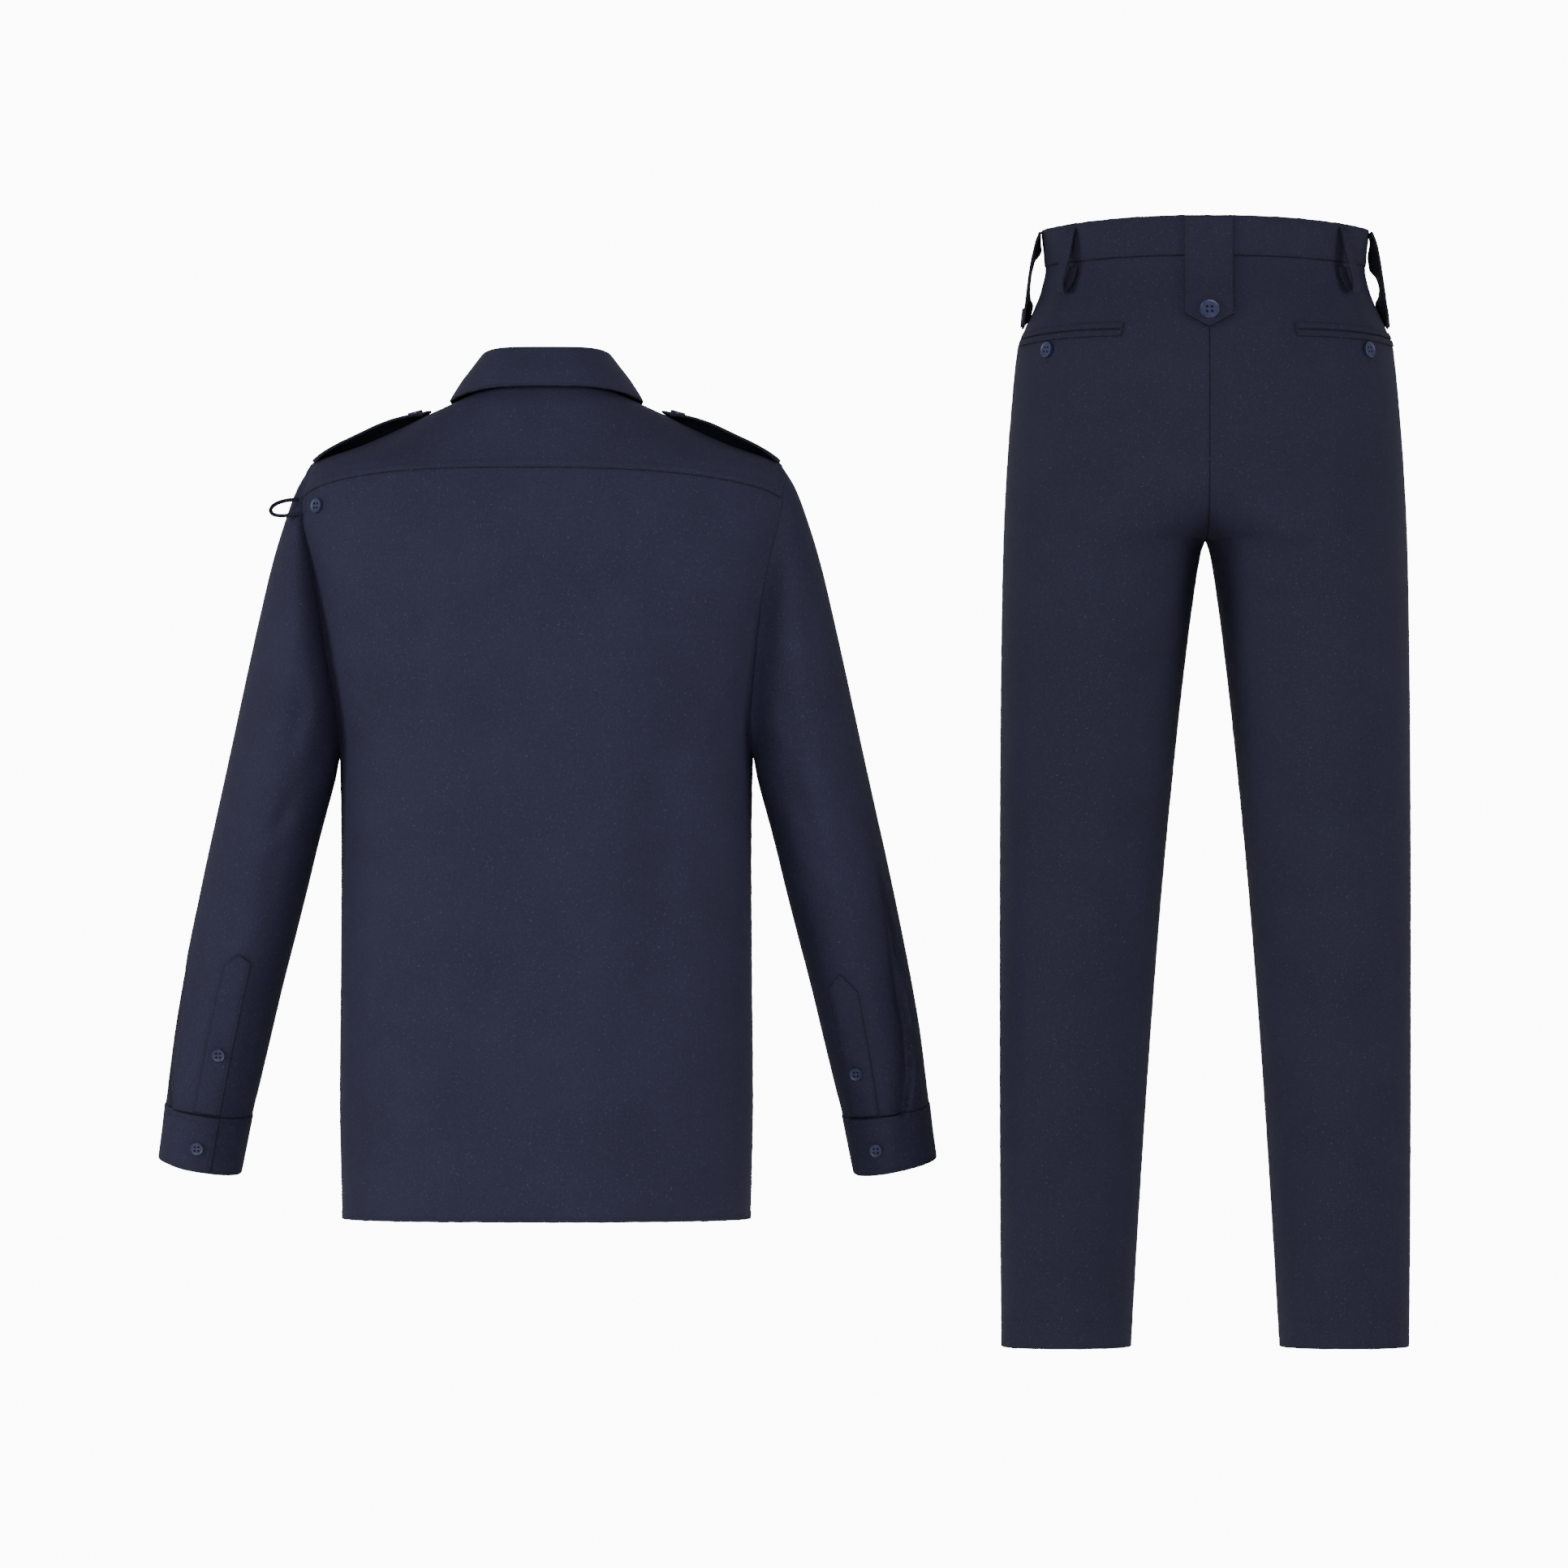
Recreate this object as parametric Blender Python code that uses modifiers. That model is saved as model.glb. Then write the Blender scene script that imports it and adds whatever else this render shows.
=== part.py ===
"""A long-sleeved uniform shirt and its trousers, each filled out as when worn, seen from behind along +Y.

Tables and sizes are in millimetres. The origin is the middle of the shirt's shoulders at the base of its
collar, +X is the wearer's right, +Y the wearer's front and +Z up. The trousers stand beside the shirt.
"""

import math
from collections import namedtuple

import bmesh
import bpy
from mathutils import Vector
from mathutils.bvhtree import BVHTree

MM = 0.001
SEAM_GAP = 0.3
HALF_GAP = SEAM_GAP / 2
LEFT, RIGHT = -1, 1

SHIRT_CLOTH = 1.3
DOUBLE_CLOTH = 2.4
TROUSER_CLOTH = 1.6
WAISTBAND_CLOTH = 3.0
LAP_LIFT = 2.0

# Shirt body: one row for each level round it, named by its height at the side
Section = namedtuple("Section", "level back_z front_z half_width back_depth front_depth")
SHIRT_SECTIONS = (
    Section(-751.0, -751.0, -751.0, 188.0, 118.0, 128.0),
    Section(-640.0, -640.0, -640.0, 190.5, 120.0, 131.0),
    Section(-520.0, -520.0, -520.0, 189.5, 121.0, 131.0),
    Section(-420.0, -420.0, -420.0, 189.0, 122.0, 131.0),
    Section(-322.0, -322.0, -322.0, 190.5, 124.0, 130.0),
    Section(-230.0, -232.0, -236.0, 207.0, 122.0, 125.0),
    Section(-150.0, -154.0, -172.0, 221.0, 115.0, 117.0),
    Section(-100.0, -107.0, -132.0, 229.0, 107.0, 106.0),
    Section(-70.0, -80.0, -108.0, 225.0, 101.0, 98.0),
    Section(-55.0, -62.0, -94.0, 217.0, 96.0, 92.0),
    Section(-36.0, -38.0, -78.0, 168.0, 88.0, 83.0),
    Section(-20.0, -15.0, -65.0, 132.0, 79.0, 75.0),
    Section(-9.0, 1.0, -56.0, 110.0, 72.0, 70.0),
    Section(8.0, 23.0, -42.0, 72.0, 61.0, 63.0),
)
SHIRT_SQUARENESS = 2.4
HEM_LEVEL = SHIRT_SECTIONS[0].level
NECK_LEVEL = SHIRT_SECTIONS[-1].level

# Soft upright folds that the shirt's back falls in
Fold = namedtuple("Fold", "top_x foot_x spread rise")
BACK_FOLDS = (
    Fold(-104.0, -118.0, 34.0, 4.0),
    Fold(74.0, 38.0, 40.0, 5.0),
)
FOLD_TOP = -120.0
FOLD_FADE = 130.0

# Armholes: turn 0 is the shoulder, 90 the back, 180 the underarm, 270 the front
ARMHOLE_TOP = -55.0
ARMHOLE_FOOT = -322.0
ARMHOLE_MIDDLE = (ARMHOLE_TOP + ARMHOLE_FOOT) / 2
ARMHOLE_HALF = (ARMHOLE_TOP - ARMHOLE_FOOT) / 2
ARMHOLE_BACK_DEPTH = {LEFT: 37.0, RIGHT: 58.0}
ARMHOLE_FRONT_DEPTH = 60.0
ARMHOLE_FULLNESS = 0.8
YOKE_TURN = 40.0
YOKE_STEPS = 3
UNDER_STEPS = 9
YOKE_TURNS = tuple(YOKE_TURN * i / YOKE_STEPS for i in range(YOKE_STEPS))
UNDER_TURNS = tuple(YOKE_TURN + (180.0 - YOKE_TURN) * i / UNDER_STEPS for i in range(UNDER_STEPS + 1))
HALF_TURNS = YOKE_TURNS + UNDER_TURNS
ARM_TURNS = HALF_TURNS + tuple(360.0 - turn for turn in reversed(HALF_TURNS[1:-1]))
SHOULDER_SEAM_TURN = 360.0 - YOKE_TURNS[1]

YOKE_CENTRE_LEVEL = -52.5
YOKE_CURVE = 2.2
YOKE_NECK_ANGLE = 62.0
YOKE_SIDE_NECK_ANGLES = (92.0, 82.0, 72.0)
SHOULDER_SEAM_NECK_ANGLE = 112.0
BODY_ROWS = 6
BACK_COLUMNS = 16
YOKE_ROWS = 4
SHOULDER_SHARE = 0.42
SHOULDER_SHARES = tuple(SHOULDER_SHARE * i / YOKE_ROWS for i in range(YOKE_ROWS))
FRONT_SHARES = SHOULDER_SHARES + (SHOULDER_SHARE, 0.58, 0.74, 0.865, 0.925, 1.0)
FRONT_EDGE = 17.0
FRONT_STRETCH_ANGLE = 150.0
LAP_START = 50.0
LAP_LENGTH = 20.0

# Sleeves: one row for each ring, by its outermost and innermost point seen from behind
Ring = namedtuple("Ring", "outer_x outer_z inner_x inner_z half_depth forward tilt pleat")
SLEEVE_RINGS = (
    Ring(217.0, -55.0, 190.0, -322.0, 57.0, 0.0, 0.0, 0.0),
    Ring(230.0, -76.0, 191.8, -330.0, 60.0, 0.0, 0.0, 0.0),
    Ring(242.0, -108.0, 194.0, -342.0, 63.0, 0.0, 0.0, 0.0),
    Ring(253.5, -146.0, 197.5, -356.0, 65.0, 1.0, 0.01, 0.0),
    Ring(265.0, -194.0, 203.0, -376.0, 66.0, 3.0, 0.03, 0.0),
    Ring(277.5, -250.0, 211.0, -406.0, 66.0, 6.0, 0.05, 0.0),
    Ring(290.5, -310.0, 220.5, -445.0, 64.0, 10.0, 0.07, 0.5),
    Ring(304.0, -371.0, 232.0, -490.0, 61.0, 15.0, 0.09, 1.2),
    Ring(318.0, -434.0, 244.5, -538.0, 57.0, 21.0, 0.11, 2.0),
    Ring(332.0, -503.0, 257.0, -590.0, 51.0, 28.0, 0.13, 3.0),
    Ring(345.5, -580.0, 267.0, -631.0, 45.0, 36.0, 0.15, 4.0),
    Ring(354.0, -645.0, 273.5, -656.0, 41.0, 43.0, 0.15, 4.0),
    Ring(357.0, -671.0, 279.0, -683.0, 39.5, 46.0, 0.15, 0.0),
    Ring(360.5, -696.0, 284.5, -710.0, 39.0, 49.0, 0.15, 0.0),
)
CUFF_SEAM = 11.0
CUFF_EDGE = 13.0
CAP_BLEND = 3.0
CAP_TURN = 12.0
CAP_TURN_RINGS = 1.5
CAP_TURN_START = 2.0
CAP_TURN_FADE = 6.0
BODY_TURN = 35.0
BODY_TURN_FADE = 60.0
PLEAT_TURN = 38.0
PLEAT_SPREAD = 16.0
OPENING_TURN = {LEFT: 106.0, RIGHT: 141.0}
CUFF_UNDERLAP = {LEFT: 34.0, RIGHT: 52.0}
CUFF_LAP_CLEAR = 2.0
CUFF_LAP_TURN = 28.0
CUFF_OUT = 1.0
CUFF_LAP_GAP = 0.5
CUFF_COLUMNS = 30
CUFF_SLANT = {LEFT: 0.0, RIGHT: 9.0}
PLACKET_GAP = 0.6
PLACKET_FOOT = 10.94
PLACKET_ROWS = 7
PLACKET_PLACES = (0.0, 0.18, 0.36, 0.54, 0.7, 0.85, 1.0)
PLACKET_TIP = 0.54
# Turns of the placket's two edges at its foot and at its head, and the rings of its shoulders and tip
PlacketCut = namedtuple("PlacketCut", "near_foot near_head far_foot far_head near_ring tip_ring far_ring")
PLACKET_CUTS = {
    LEFT: PlacketCut(106.0, 107.5, 71.0, 78.5, 8.12, 8.2, 8.57),
    RIGHT: PlacketCut(141.0, 130.0, 99.0, 96.0, 8.25, 8.23, 8.73),
}
ButtonPlace = namedtuple("ButtonPlace", "turn ring")
PLACKET_BUTTONS = {LEFT: ButtonPlace(92.0, 9.74), RIGHT: ButtonPlace(117.0, 9.85)}
CUFF_BUTTONS = {LEFT: ButtonPlace(84.0, 12.15), RIGHT: ButtonPlace(109.0, 12.12)}

# Collar: the stand's top ring and the fall's lower edge, with heights at the back, side and front
Hoop = namedtuple("Hoop", "half_width back_depth front_depth back_z side_z front_z")
STAND_TOP = Hoop(55.0, 56.0, 59.0, 50.0, 46.0, -10.0)
FALL_EDGE = Hoop(88.5, 76.0, 92.0, 15.8, 3.2, -72.0)
HOOP_FLATNESS = 5.0
FALL_SQUARENESS = 2.15
STAND_GAP = 0.45
STAND_RAISE = 1.5
STAND_RAISE_ANGLE = 120.0
STAND_RAISE_LENGTH = 40.0
STAND_LAP_ANGLE = 158.0
STAND_LAP_LENGTH = 12.0
COLLAR_BUTTON_SHARE = 0.45
COLLAR_COLUMNS = 24
FALL_TOP_ANGLE = 173.0
FALL_POINT_ANGLE = 157.0
FALL_CLOTH = 1.8
FallRow = namedtuple("FallRow", "share out up")
FALL_PROFILE = (
    FallRow(0.0, -1.3, 1.1),
    FallRow(0.0, 1.7, 1.1),
    FallRow(0.06, 2.9, 0.5),
    FallRow(0.22, 3.2, 0.0),
    FallRow(0.5, 3.2, 0.0),
    FallRow(0.78, 1.8, 0.0),
    FallRow(1.0, 0.0, 0.0),
)

# Shoulder straps and the keeper loop at the left armhole
STRAP_SHOULDER_LEVEL = -53.5
STRAP_TIP_LEVEL = -6.5
STRAP_SIDE_LEVEL = -11.0
STRAP_HALF_WIDTH = 24.0
STRAP_TIP_HALF_WIDTH = 20.0
STRAP_RISE = 11.5
STRAP_FULLNESS = 0.8
STRAP_BACK_RISE = 1.0
STRAP_FRONT_RISE = 0.6
STRAP_ROWS = 8
STRAP_COLUMNS = 4
STRAP_BUTTON_SHARE = 0.82
LAID_GAP = 0.5
LOOP_WIDTH = 6.0
LOOP_CLOTH = 1.6
LoopPlace = namedtuple("LoopPlace", "x y z")
LOOP_LINE = (
    LoopPlace(-227.6, -30.2, -87.0),
    LoopPlace(-236.0, -31.6, -87.5),
    LoopPlace(-245.0, -32.4, -89.5),
    LoopPlace(-252.0, -32.8, -93.5),
    LoopPlace(-254.0, -33.0, -97.5),
    LoopPlace(-250.5, -33.4, -101.5),
    LoopPlace(-243.0, -34.0, -102.5),
    LoopPlace(-235.0, -34.4, -101.5),
    LoopPlace(-228.0, -35.2, -100.5),
)

# Trousers: the same kind of table, then the space between the legs
TROUSER_X = 608.6
TROUSER_SQUARENESS = 2.3
TROUSER_SECTIONS = (
    Section(-869.0, -869.0, -869.0, 188.5, 72.0, 74.0),
    Section(-750.0, -750.0, -750.0, 189.5, 74.0, 76.0),
    Section(-600.0, -600.0, -600.0, 190.0, 78.0, 79.0),
    Section(-450.0, -450.0, -450.0, 190.0, 86.0, 84.0),
    Section(-300.0, -300.0, -300.0, 189.3, 100.0, 94.0),
    Section(-190.0, -190.0, -190.0, 188.0, 112.0, 104.0),
    Section(-124.0, -124.0, -124.0, 186.5, 122.0, 111.0),
    Section(-60.0, -60.0, -60.0, 183.5, 133.0, 117.0),
    Section(0.0, 0.0, 0.0, 179.0, 136.0, 118.0),
    Section(37.0, 38.0, 36.0, 175.5, 133.0, 116.0),
    Section(55.0, 57.0, 54.0, 173.0, 129.0, 114.0),
    Section(70.0, 73.0, 69.0, 167.0, 125.0, 112.0),
    Section(93.0, 98.0, 91.0, 156.5, 117.0, 109.0),
    Section(108.0, 114.0, 105.0, 151.0, 111.0, 107.0),
    Section(128.0, 135.0, 124.0, 147.5, 106.0, 106.0),
    Section(162.0, 172.0, 160.0, 150.5, 104.0, 105.0),
)
LEG_HEM_LEVEL = TROUSER_SECTIONS[0].level
WAIST_SEAM_LEVEL = 128.0
WAIST_TOP_LEVEL = TROUSER_SECTIONS[-1].level
Inseam = namedtuple("Inseam", "level inner_x")
INSEAM_ROWS = (
    Inseam(-869.0, 68.8),
    Inseam(-750.0, 61.9),
    Inseam(-600.0, 52.1),
    Inseam(-450.0, 40.5),
    Inseam(-300.0, 25.9),
    Inseam(-225.0, 17.3),
    Inseam(-187.0, 12.4),
    Inseam(-150.0, 6.9),
    Inseam(-135.0, 4.0),
    Inseam(-124.0, 0.0),
)
CROTCH_LEVEL = INSEAM_ROWS[-1].level
SEAT_LEVEL = -35.0
CROTCH_DROP = SEAT_LEVEL - CROTCH_LEVEL

# Rows of a leg panel: height at the seam between the legs and at the side seam
PanelRow = namedtuple("PanelRow", "inner outer")
LEG_ROWS = (
    PanelRow(-869.0, -869.0),
    PanelRow(-800.0, -800.0),
    PanelRow(-700.0, -700.0),
    PanelRow(-600.0, -602.0),
    PanelRow(-500.0, -510.0),
    PanelRow(-400.0, -424.0),
    PanelRow(-300.0, -346.0),
    PanelRow(-225.0, -290.0),
    PanelRow(-175.0, -250.0),
    PanelRow(-148.0, -222.0),
    PanelRow(-133.0, -198.0),
)
SeatRow = namedtuple("SeatRow", "inner_turn outer")
SEAT_ROWS = (
    SeatRow(90.0, -176.0),
    SeatRow(75.0, -155.0),
    SeatRow(60.0, -135.0),
    SeatRow(45.0, -116.0),
    SeatRow(30.0, -98.0),
    SeatRow(15.0, -80.0),
    SeatRow(5.0, -60.0),
    SeatRow(0.0, -35.0),
)
ROW_BEND = 3.0
HIP_LEVELS = (0.0, 35.0, 60.0, 80.0, 104.0, 128.0)
LEG_COLUMNS = 10
HIP_COLUMNS = 44
BAND_OUT = 1.2
BAND_ROWS = 2
BAND_LAP_X = 34.0
BAND_UNDERLAP = 0.6
BAND_LAP_ANGLE = 152.0
BAND_LAP_LENGTH = 12.0
BAND_LAP_GAP = 0.5
WAIST_BUTTON_LEVEL = 146.0

# What is sewn on the trousers
TAB_HALF_WIDTH = 22.5
TAB_CLOTH = 2.4
TAB_OUT = BAND_OUT + SEAM_GAP
TAB_TOP_Z = 171.0
TAB_TIP_Z = 68.0
TAB_SHOULDER_Z = 80.0
TAB_BUTTON_Z = 85.5
TAB_ROWS = 8
TAB_COLUMNS = 4
SideSpot = namedtuple("SideSpot", "x z sway")
SIDE_TAB_LINE = (
    SideSpot(154.4, 160.5, 0.0),
    SideSpot(158.6, 150.0, 1.0),
    SideSpot(162.0, 135.0, 2.2),
    SideSpot(164.6, 117.0, 2.6),
    SideSpot(167.0, 100.0, 1.8),
    SideSpot(169.4, 84.0, 0.8),
    SideSpot(170.6, 71.0, 0.0),
)
SIDE_TAB_CHAMFER = 11.0
SIDE_TAB_BOW = 0.6
SIDE_TAB_ROWS = 10
SIDE_BUTTON_SHARE = 0.86
LoopSpot = namedtuple("LoopSpot", "out level sway")
BELT_LOOP_LINE = (
    LoopSpot(0.0, 157.5, 0.0),
    LoopSpot(3.7, 150.0, 0.4),
    LoopSpot(8.2, 133.0, 2.2),
    LoopSpot(10.2, 115.0, 4.2),
    LoopSpot(9.2, 102.0, 4.6),
    LoopSpot(6.2, 97.0, 3.4),
    LoopSpot(3.3, 101.0, 1.6),
    LoopSpot(0.9, 112.0, 0.0),
    LoopSpot(0.0, 123.0, -0.6),
)
BELT_LOOP_WIDTH = 11.0
BELT_LOOP_CLOTH = 1.8
BELT_LOOP_OUT = BAND_OUT + SEAM_GAP
BACK_LOOP_ANGLE = 53.0
FRONT_LOOP_ANGLE = 124.0
POCKET_INNER_ANGLE = 25.0
POCKET_OUTER_ANGLE = 81.0
POCKET_LEVEL = 64.5
POCKET_SLANT = 5.0
LIP_HEIGHT = 5.6
LIP_CLOTH = 1.2
LIP_SPACE = 1.0
LIP_COLUMNS = 9
POCKET_BUTTON_ANGLE = 55.5
POCKET_BUTTON_LEVEL = 48.4
FLY_WIDTH = 38.0
FLY_EDGE = 0.6
FLY_FOOT_LEVEL = -22.0
FLY_FOOT_RISE = 36.0
FLY_FOOT_CURVE = 2.5
FLY_CLOTH = 1.2
FLY_ROWS = 7
FLY_COLUMNS = 4

# Buttons by diameter and thickness
BUTTON_SIDES = 14
BUTTON_THICK = 2.8
BUTTON_RIM = 1.7
BUTTON_DISH = 0.6
SHIRT_BUTTON = 12.0
STRAP_BUTTON = 14.0
TAB_BUTTON = 18.0
POCKET_BUTTON = 15.0
FRONT_BUTTON_TOP = -100.0
FRONT_BUTTON_STEP = 95.0
FRONT_BUTTON_COUNT = 6
SHOULDER_BUTTON_SPOT = (-213.0, -55.0, -93.0)

COLOURS = {
    "shirt": (0.026, 0.029, 0.052),
    "trousers": (0.020, 0.023, 0.042),
    "button": (0.020, 0.028, 0.085),
}
ROUGHNESS = {"shirt": 0.82, "trousers": 0.82, "button": 0.28}


def blend(low, high, share):
    """The value that lies a share of the way between two."""
    return low + (high - low) * share


def ease(share):
    """A share from 0 to 1 that starts and ends gently."""
    share = min(max(share, 0.0), 1.0)
    return share * share * (3.0 - 2.0 * share)


def reading(table, key, column, at):
    """A column of a table of sections, read smoothly between its rows, which rise by key."""
    keys = [getattr(row, key) for row in table]
    values = [getattr(row, column) for row in table]
    return smooth_value(keys, values, at)


def smooth_value(keys, values, at):
    """Monotone cubic reading of values at rising keys."""
    at = min(max(at, keys[0]), keys[-1])
    low = max(i for i in range(len(keys) - 1) if keys[i] <= at)

    def step_slope(i):
        return (values[i + 1] - values[i]) / (keys[i + 1] - keys[i])

    def slope(i):
        if i == 0 or i == len(keys) - 1:
            return step_slope(min(i, len(keys) - 2))
        before, after = step_slope(i - 1), step_slope(i)
        if before * after <= 0.0:
            return 0.0
        return 2.0 * before * after / (before + after)

    width = keys[low + 1] - keys[low]
    t = (at - keys[low]) / width
    rise = values[low + 1] - values[low]
    start, end = slope(low) * width, slope(low + 1) * width
    return values[low] + t * (start + t * (3 * rise - 2 * start - end + t * (start + end - 2 * rise)))


def level_at(table, column, z):
    """The level of a table of sections whose centre line, in a column, passes a height."""
    return smooth_value([getattr(row, column) for row in table], [row.level for row in table], z)


def listed(table, column, at):
    """A column of a table whose rows are numbered from 0, read smoothly."""
    return smooth_value(list(range(len(table))), [getattr(row, column) for row in table], at)


def powered(value, squareness):
    """Sine or cosine of a squared-off oval."""
    return math.copysign(abs(value) ** (2.0 / squareness), value)


def section_point(table, squareness, angle, level):
    """A point round a level of a garment, at angle 0 behind, 90 at the side and 180 in front."""
    turn = math.radians(angle)
    sine, cosine = math.sin(turn), math.cos(turn)
    behind = cosine > 0
    depth = reading(table, "level", "back_depth" if behind else "front_depth", level)
    end_z = reading(table, "level", "back_z" if behind else "front_z", level)
    x = reading(table, "level", "half_width", level) * powered(sine, squareness)
    z = level + (end_z - level) * cosine**2
    return Vector((x, -depth * powered(cosine, squareness), z))


def shirt_point(angle, level):
    """A point on the outside of the shirt's body."""
    point = section_point(SHIRT_SECTIONS, SHIRT_SQUARENESS, angle, level)
    if point.y < 0.0:
        fall = ease((FOLD_TOP - level) / FOLD_FADE)
        drop = (level - FOLD_TOP) / (HEM_LEVEL - FOLD_TOP)
        for fold in BACK_FOLDS:
            aside = (point.x - blend(fold.top_x, fold.foot_x, drop)) / fold.spread
            point.y -= fold.rise * fall * math.exp(-aside * aside)
    return point


def surface_normal(surface, first, second, size=0.6):
    """The outward direction of a surface of two numbers, of which the first runs round it."""
    across = surface(first + size, second) - surface(first - size, second)
    along = surface(first, second + size) - surface(first, second - size)
    return across.cross(along).normalized()


def angle_at(table, squareness, x, level):
    """How far round from the middle line a level is x wide."""
    share = min(abs(x) / reading(table, "level", "half_width", level), 1.0)
    return math.degrees(math.asin(share ** (squareness / 2.0)))


def armhole_spot(side, turn):
    """The angle and level where the armhole seam passes at a turn."""
    radians = math.radians(turn)
    level = ARMHOLE_MIDDLE + ARMHOLE_HALF * math.cos(radians)
    behind = turn <= 180.0
    widest = ARMHOLE_BACK_DEPTH[side] if behind else ARMHOLE_FRONT_DEPTH
    depth = widest * abs(math.sin(radians)) ** ARMHOLE_FULLNESS
    column = "back_depth" if behind else "front_depth"
    share = (depth / reading(SHIRT_SECTIONS, "level", column, level)) ** (SHIRT_SQUARENESS / 2.0)
    lean = math.degrees(math.asin(share))
    return side * (90.0 - lean if behind else 90.0 + lean), level


def sleeve_tube(side, turn, ring):
    """A point on a sleeve's own tube, before it is drawn to the armhole."""
    fading = 1.0 - ease((ring - CAP_TURN_START) / CAP_TURN_FADE)
    drawn_up = CAP_TURN * ease(ring / CAP_TURN_RINGS) * fading
    radians = math.radians(turn - drawn_up * math.sin(math.radians(turn)))
    sine, cosine = math.sin(radians), math.cos(radians)
    outer = Vector((listed(SLEEVE_RINGS, "outer_x", ring), 0.0, listed(SLEEVE_RINGS, "outer_z", ring)))
    inner = Vector((listed(SLEEVE_RINGS, "inner_x", ring), 0.0, listed(SLEEVE_RINGS, "inner_z", ring)))
    depth = -listed(SLEEVE_RINGS, "half_depth", ring) * sine
    if sine > 0.0:
        aside = (turn % 360.0 - PLEAT_TURN) / PLEAT_SPREAD
        depth -= listed(SLEEVE_RINGS, "pleat", ring) * math.exp(-aside * aside) * sine
    point = (outer + inner) / 2 + (outer - inner) / 2 * cosine
    point.z += listed(SLEEVE_RINGS, "tilt", ring) * depth
    point.y = listed(SLEEVE_RINGS, "forward", ring) + depth
    point.x *= side
    return point


def sleeve_point(side, turn, ring):
    """A point on a sleeve; the first rings leave the armhole seam, the last two are the cuff."""
    point = sleeve_tube(side, turn, ring)
    if ring < CAP_BLEND:
        start = shirt_point(*armhole_spot(side, turn % 360.0))
        start.x += side * SEAM_GAP
        point += (start - sleeve_tube(side, turn, 0.0)) * (1.0 - ring / CAP_BLEND) ** 2
    return point


def sleeve_normal(side, turn, ring):
    """The outward direction of a sleeve, which at the shoulder end of its first ring is the body's."""
    low, high = max(ring - 0.3, 0.0), min(ring + 0.3, CUFF_EDGE)
    round_it = sleeve_point(side, turn + 1.0, ring) - sleeve_point(side, turn - 1.0, ring)
    along = sleeve_point(side, turn, high) - sleeve_point(side, turn, low)
    normal = round_it.cross(along).normalized() * side
    if ring > 0.0:
        return normal
    body = surface_normal(shirt_point, *armhole_spot(side, turn))
    from_top = min(turn, 360.0 - turn)
    return body.lerp(normal, ease((from_top - BODY_TURN) / BODY_TURN_FADE)).normalized()


def hoop_point(hoop, squareness, angle):
    """A point on a collar hoop."""
    turn = math.radians(angle)
    sine, cosine = math.sin(turn), math.cos(turn)
    depth = hoop.back_depth if cosine > 0 else hoop.front_depth
    end_z = hoop.back_z if cosine > 0 else hoop.front_z
    share = 1.0 - abs(sine) ** HOOP_FLATNESS if cosine > 0 else cosine**2
    x = hoop.half_width * powered(sine, squareness)
    return Vector((x, -depth * powered(cosine, squareness), blend(hoop.side_z, end_z, share)))


def leg_middle(level):
    """The middle and half width of one leg's section; above the seat it is half of the whole hips."""
    outer = reading(TROUSER_SECTIONS, "level", "half_width", level)
    if level <= CROTCH_LEVEL:
        inner = reading(INSEAM_ROWS, "level", "inner_x", level)
        return (outer + inner) / 2, (outer - inner) / 2
    share = max((SEAT_LEVEL - level) / CROTCH_DROP, 0.0) ** 2
    half = outer / (1.0 + share)
    return half * share, half


def inner_angle(level):
    """How far a leg's section runs past its own middle to the seam between the legs."""
    if level <= CROTCH_LEVEL:
        return 90.0
    middle, half = leg_middle(level)
    return math.degrees(math.asin((middle / half) ** (TROUSER_SQUARENESS / 2.0)))


def trouser_point(side, angle, level):
    """A point on the outside of the trousers; angle is round one leg from its back, 90 outside."""
    turn = math.radians(angle)
    sine, cosine = math.sin(turn), math.cos(turn)
    behind = cosine > 0
    depth = reading(TROUSER_SECTIONS, "level", "back_depth" if behind else "front_depth", level)
    end_z = reading(TROUSER_SECTIONS, "level", "back_z" if behind else "front_z", level)
    middle, half = leg_middle(level)
    x = middle + half * powered(sine, TROUSER_SQUARENESS)
    z = level + (end_z - level) * cosine**2
    return Vector((TROUSER_X + side * x, -depth * powered(cosine, TROUSER_SQUARENESS), z))


def trouser_normal(side, angle, level):
    """The outward direction of the trousers."""
    top = min(level + 0.6, WAIST_TOP_LEVEL)
    bottom = max(level - 0.6, LEG_HEM_LEVEL)
    across = trouser_point(side, angle + 0.6, level) - trouser_point(side, angle - 0.6, level)
    along = trouser_point(side, angle, top) - trouser_point(side, angle, bottom)
    return across.cross(along).normalized() * side


def hip_point(angle, level):
    """A point round the waist and hips, from -180 to 180 or past it where the waistband laps."""
    wrapped = (angle + 180.0) % 360.0 - 180.0
    side = LEFT if wrapped < 0 else RIGHT
    return trouser_point(side, abs(wrapped), level)


def hip_normal(angle, level):
    """The outward direction round the waist and hips."""
    wrapped = (angle + 180.0) % 360.0 - 180.0
    side = LEFT if wrapped < 0 else RIGHT
    return trouser_normal(side, abs(wrapped), level)


def new_material(name, colour, roughness):
    """A plain material of one colour."""
    material = bpy.data.materials.new(name)
    material.use_nodes = True
    shader = material.node_tree.nodes["Principled BSDF"]
    shader.inputs["Base Color"].default_value = (*colour, 1.0)
    shader.inputs["Roughness"].default_value = roughness
    shader.inputs["Metallic"].default_value = 0.0
    return material


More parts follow.
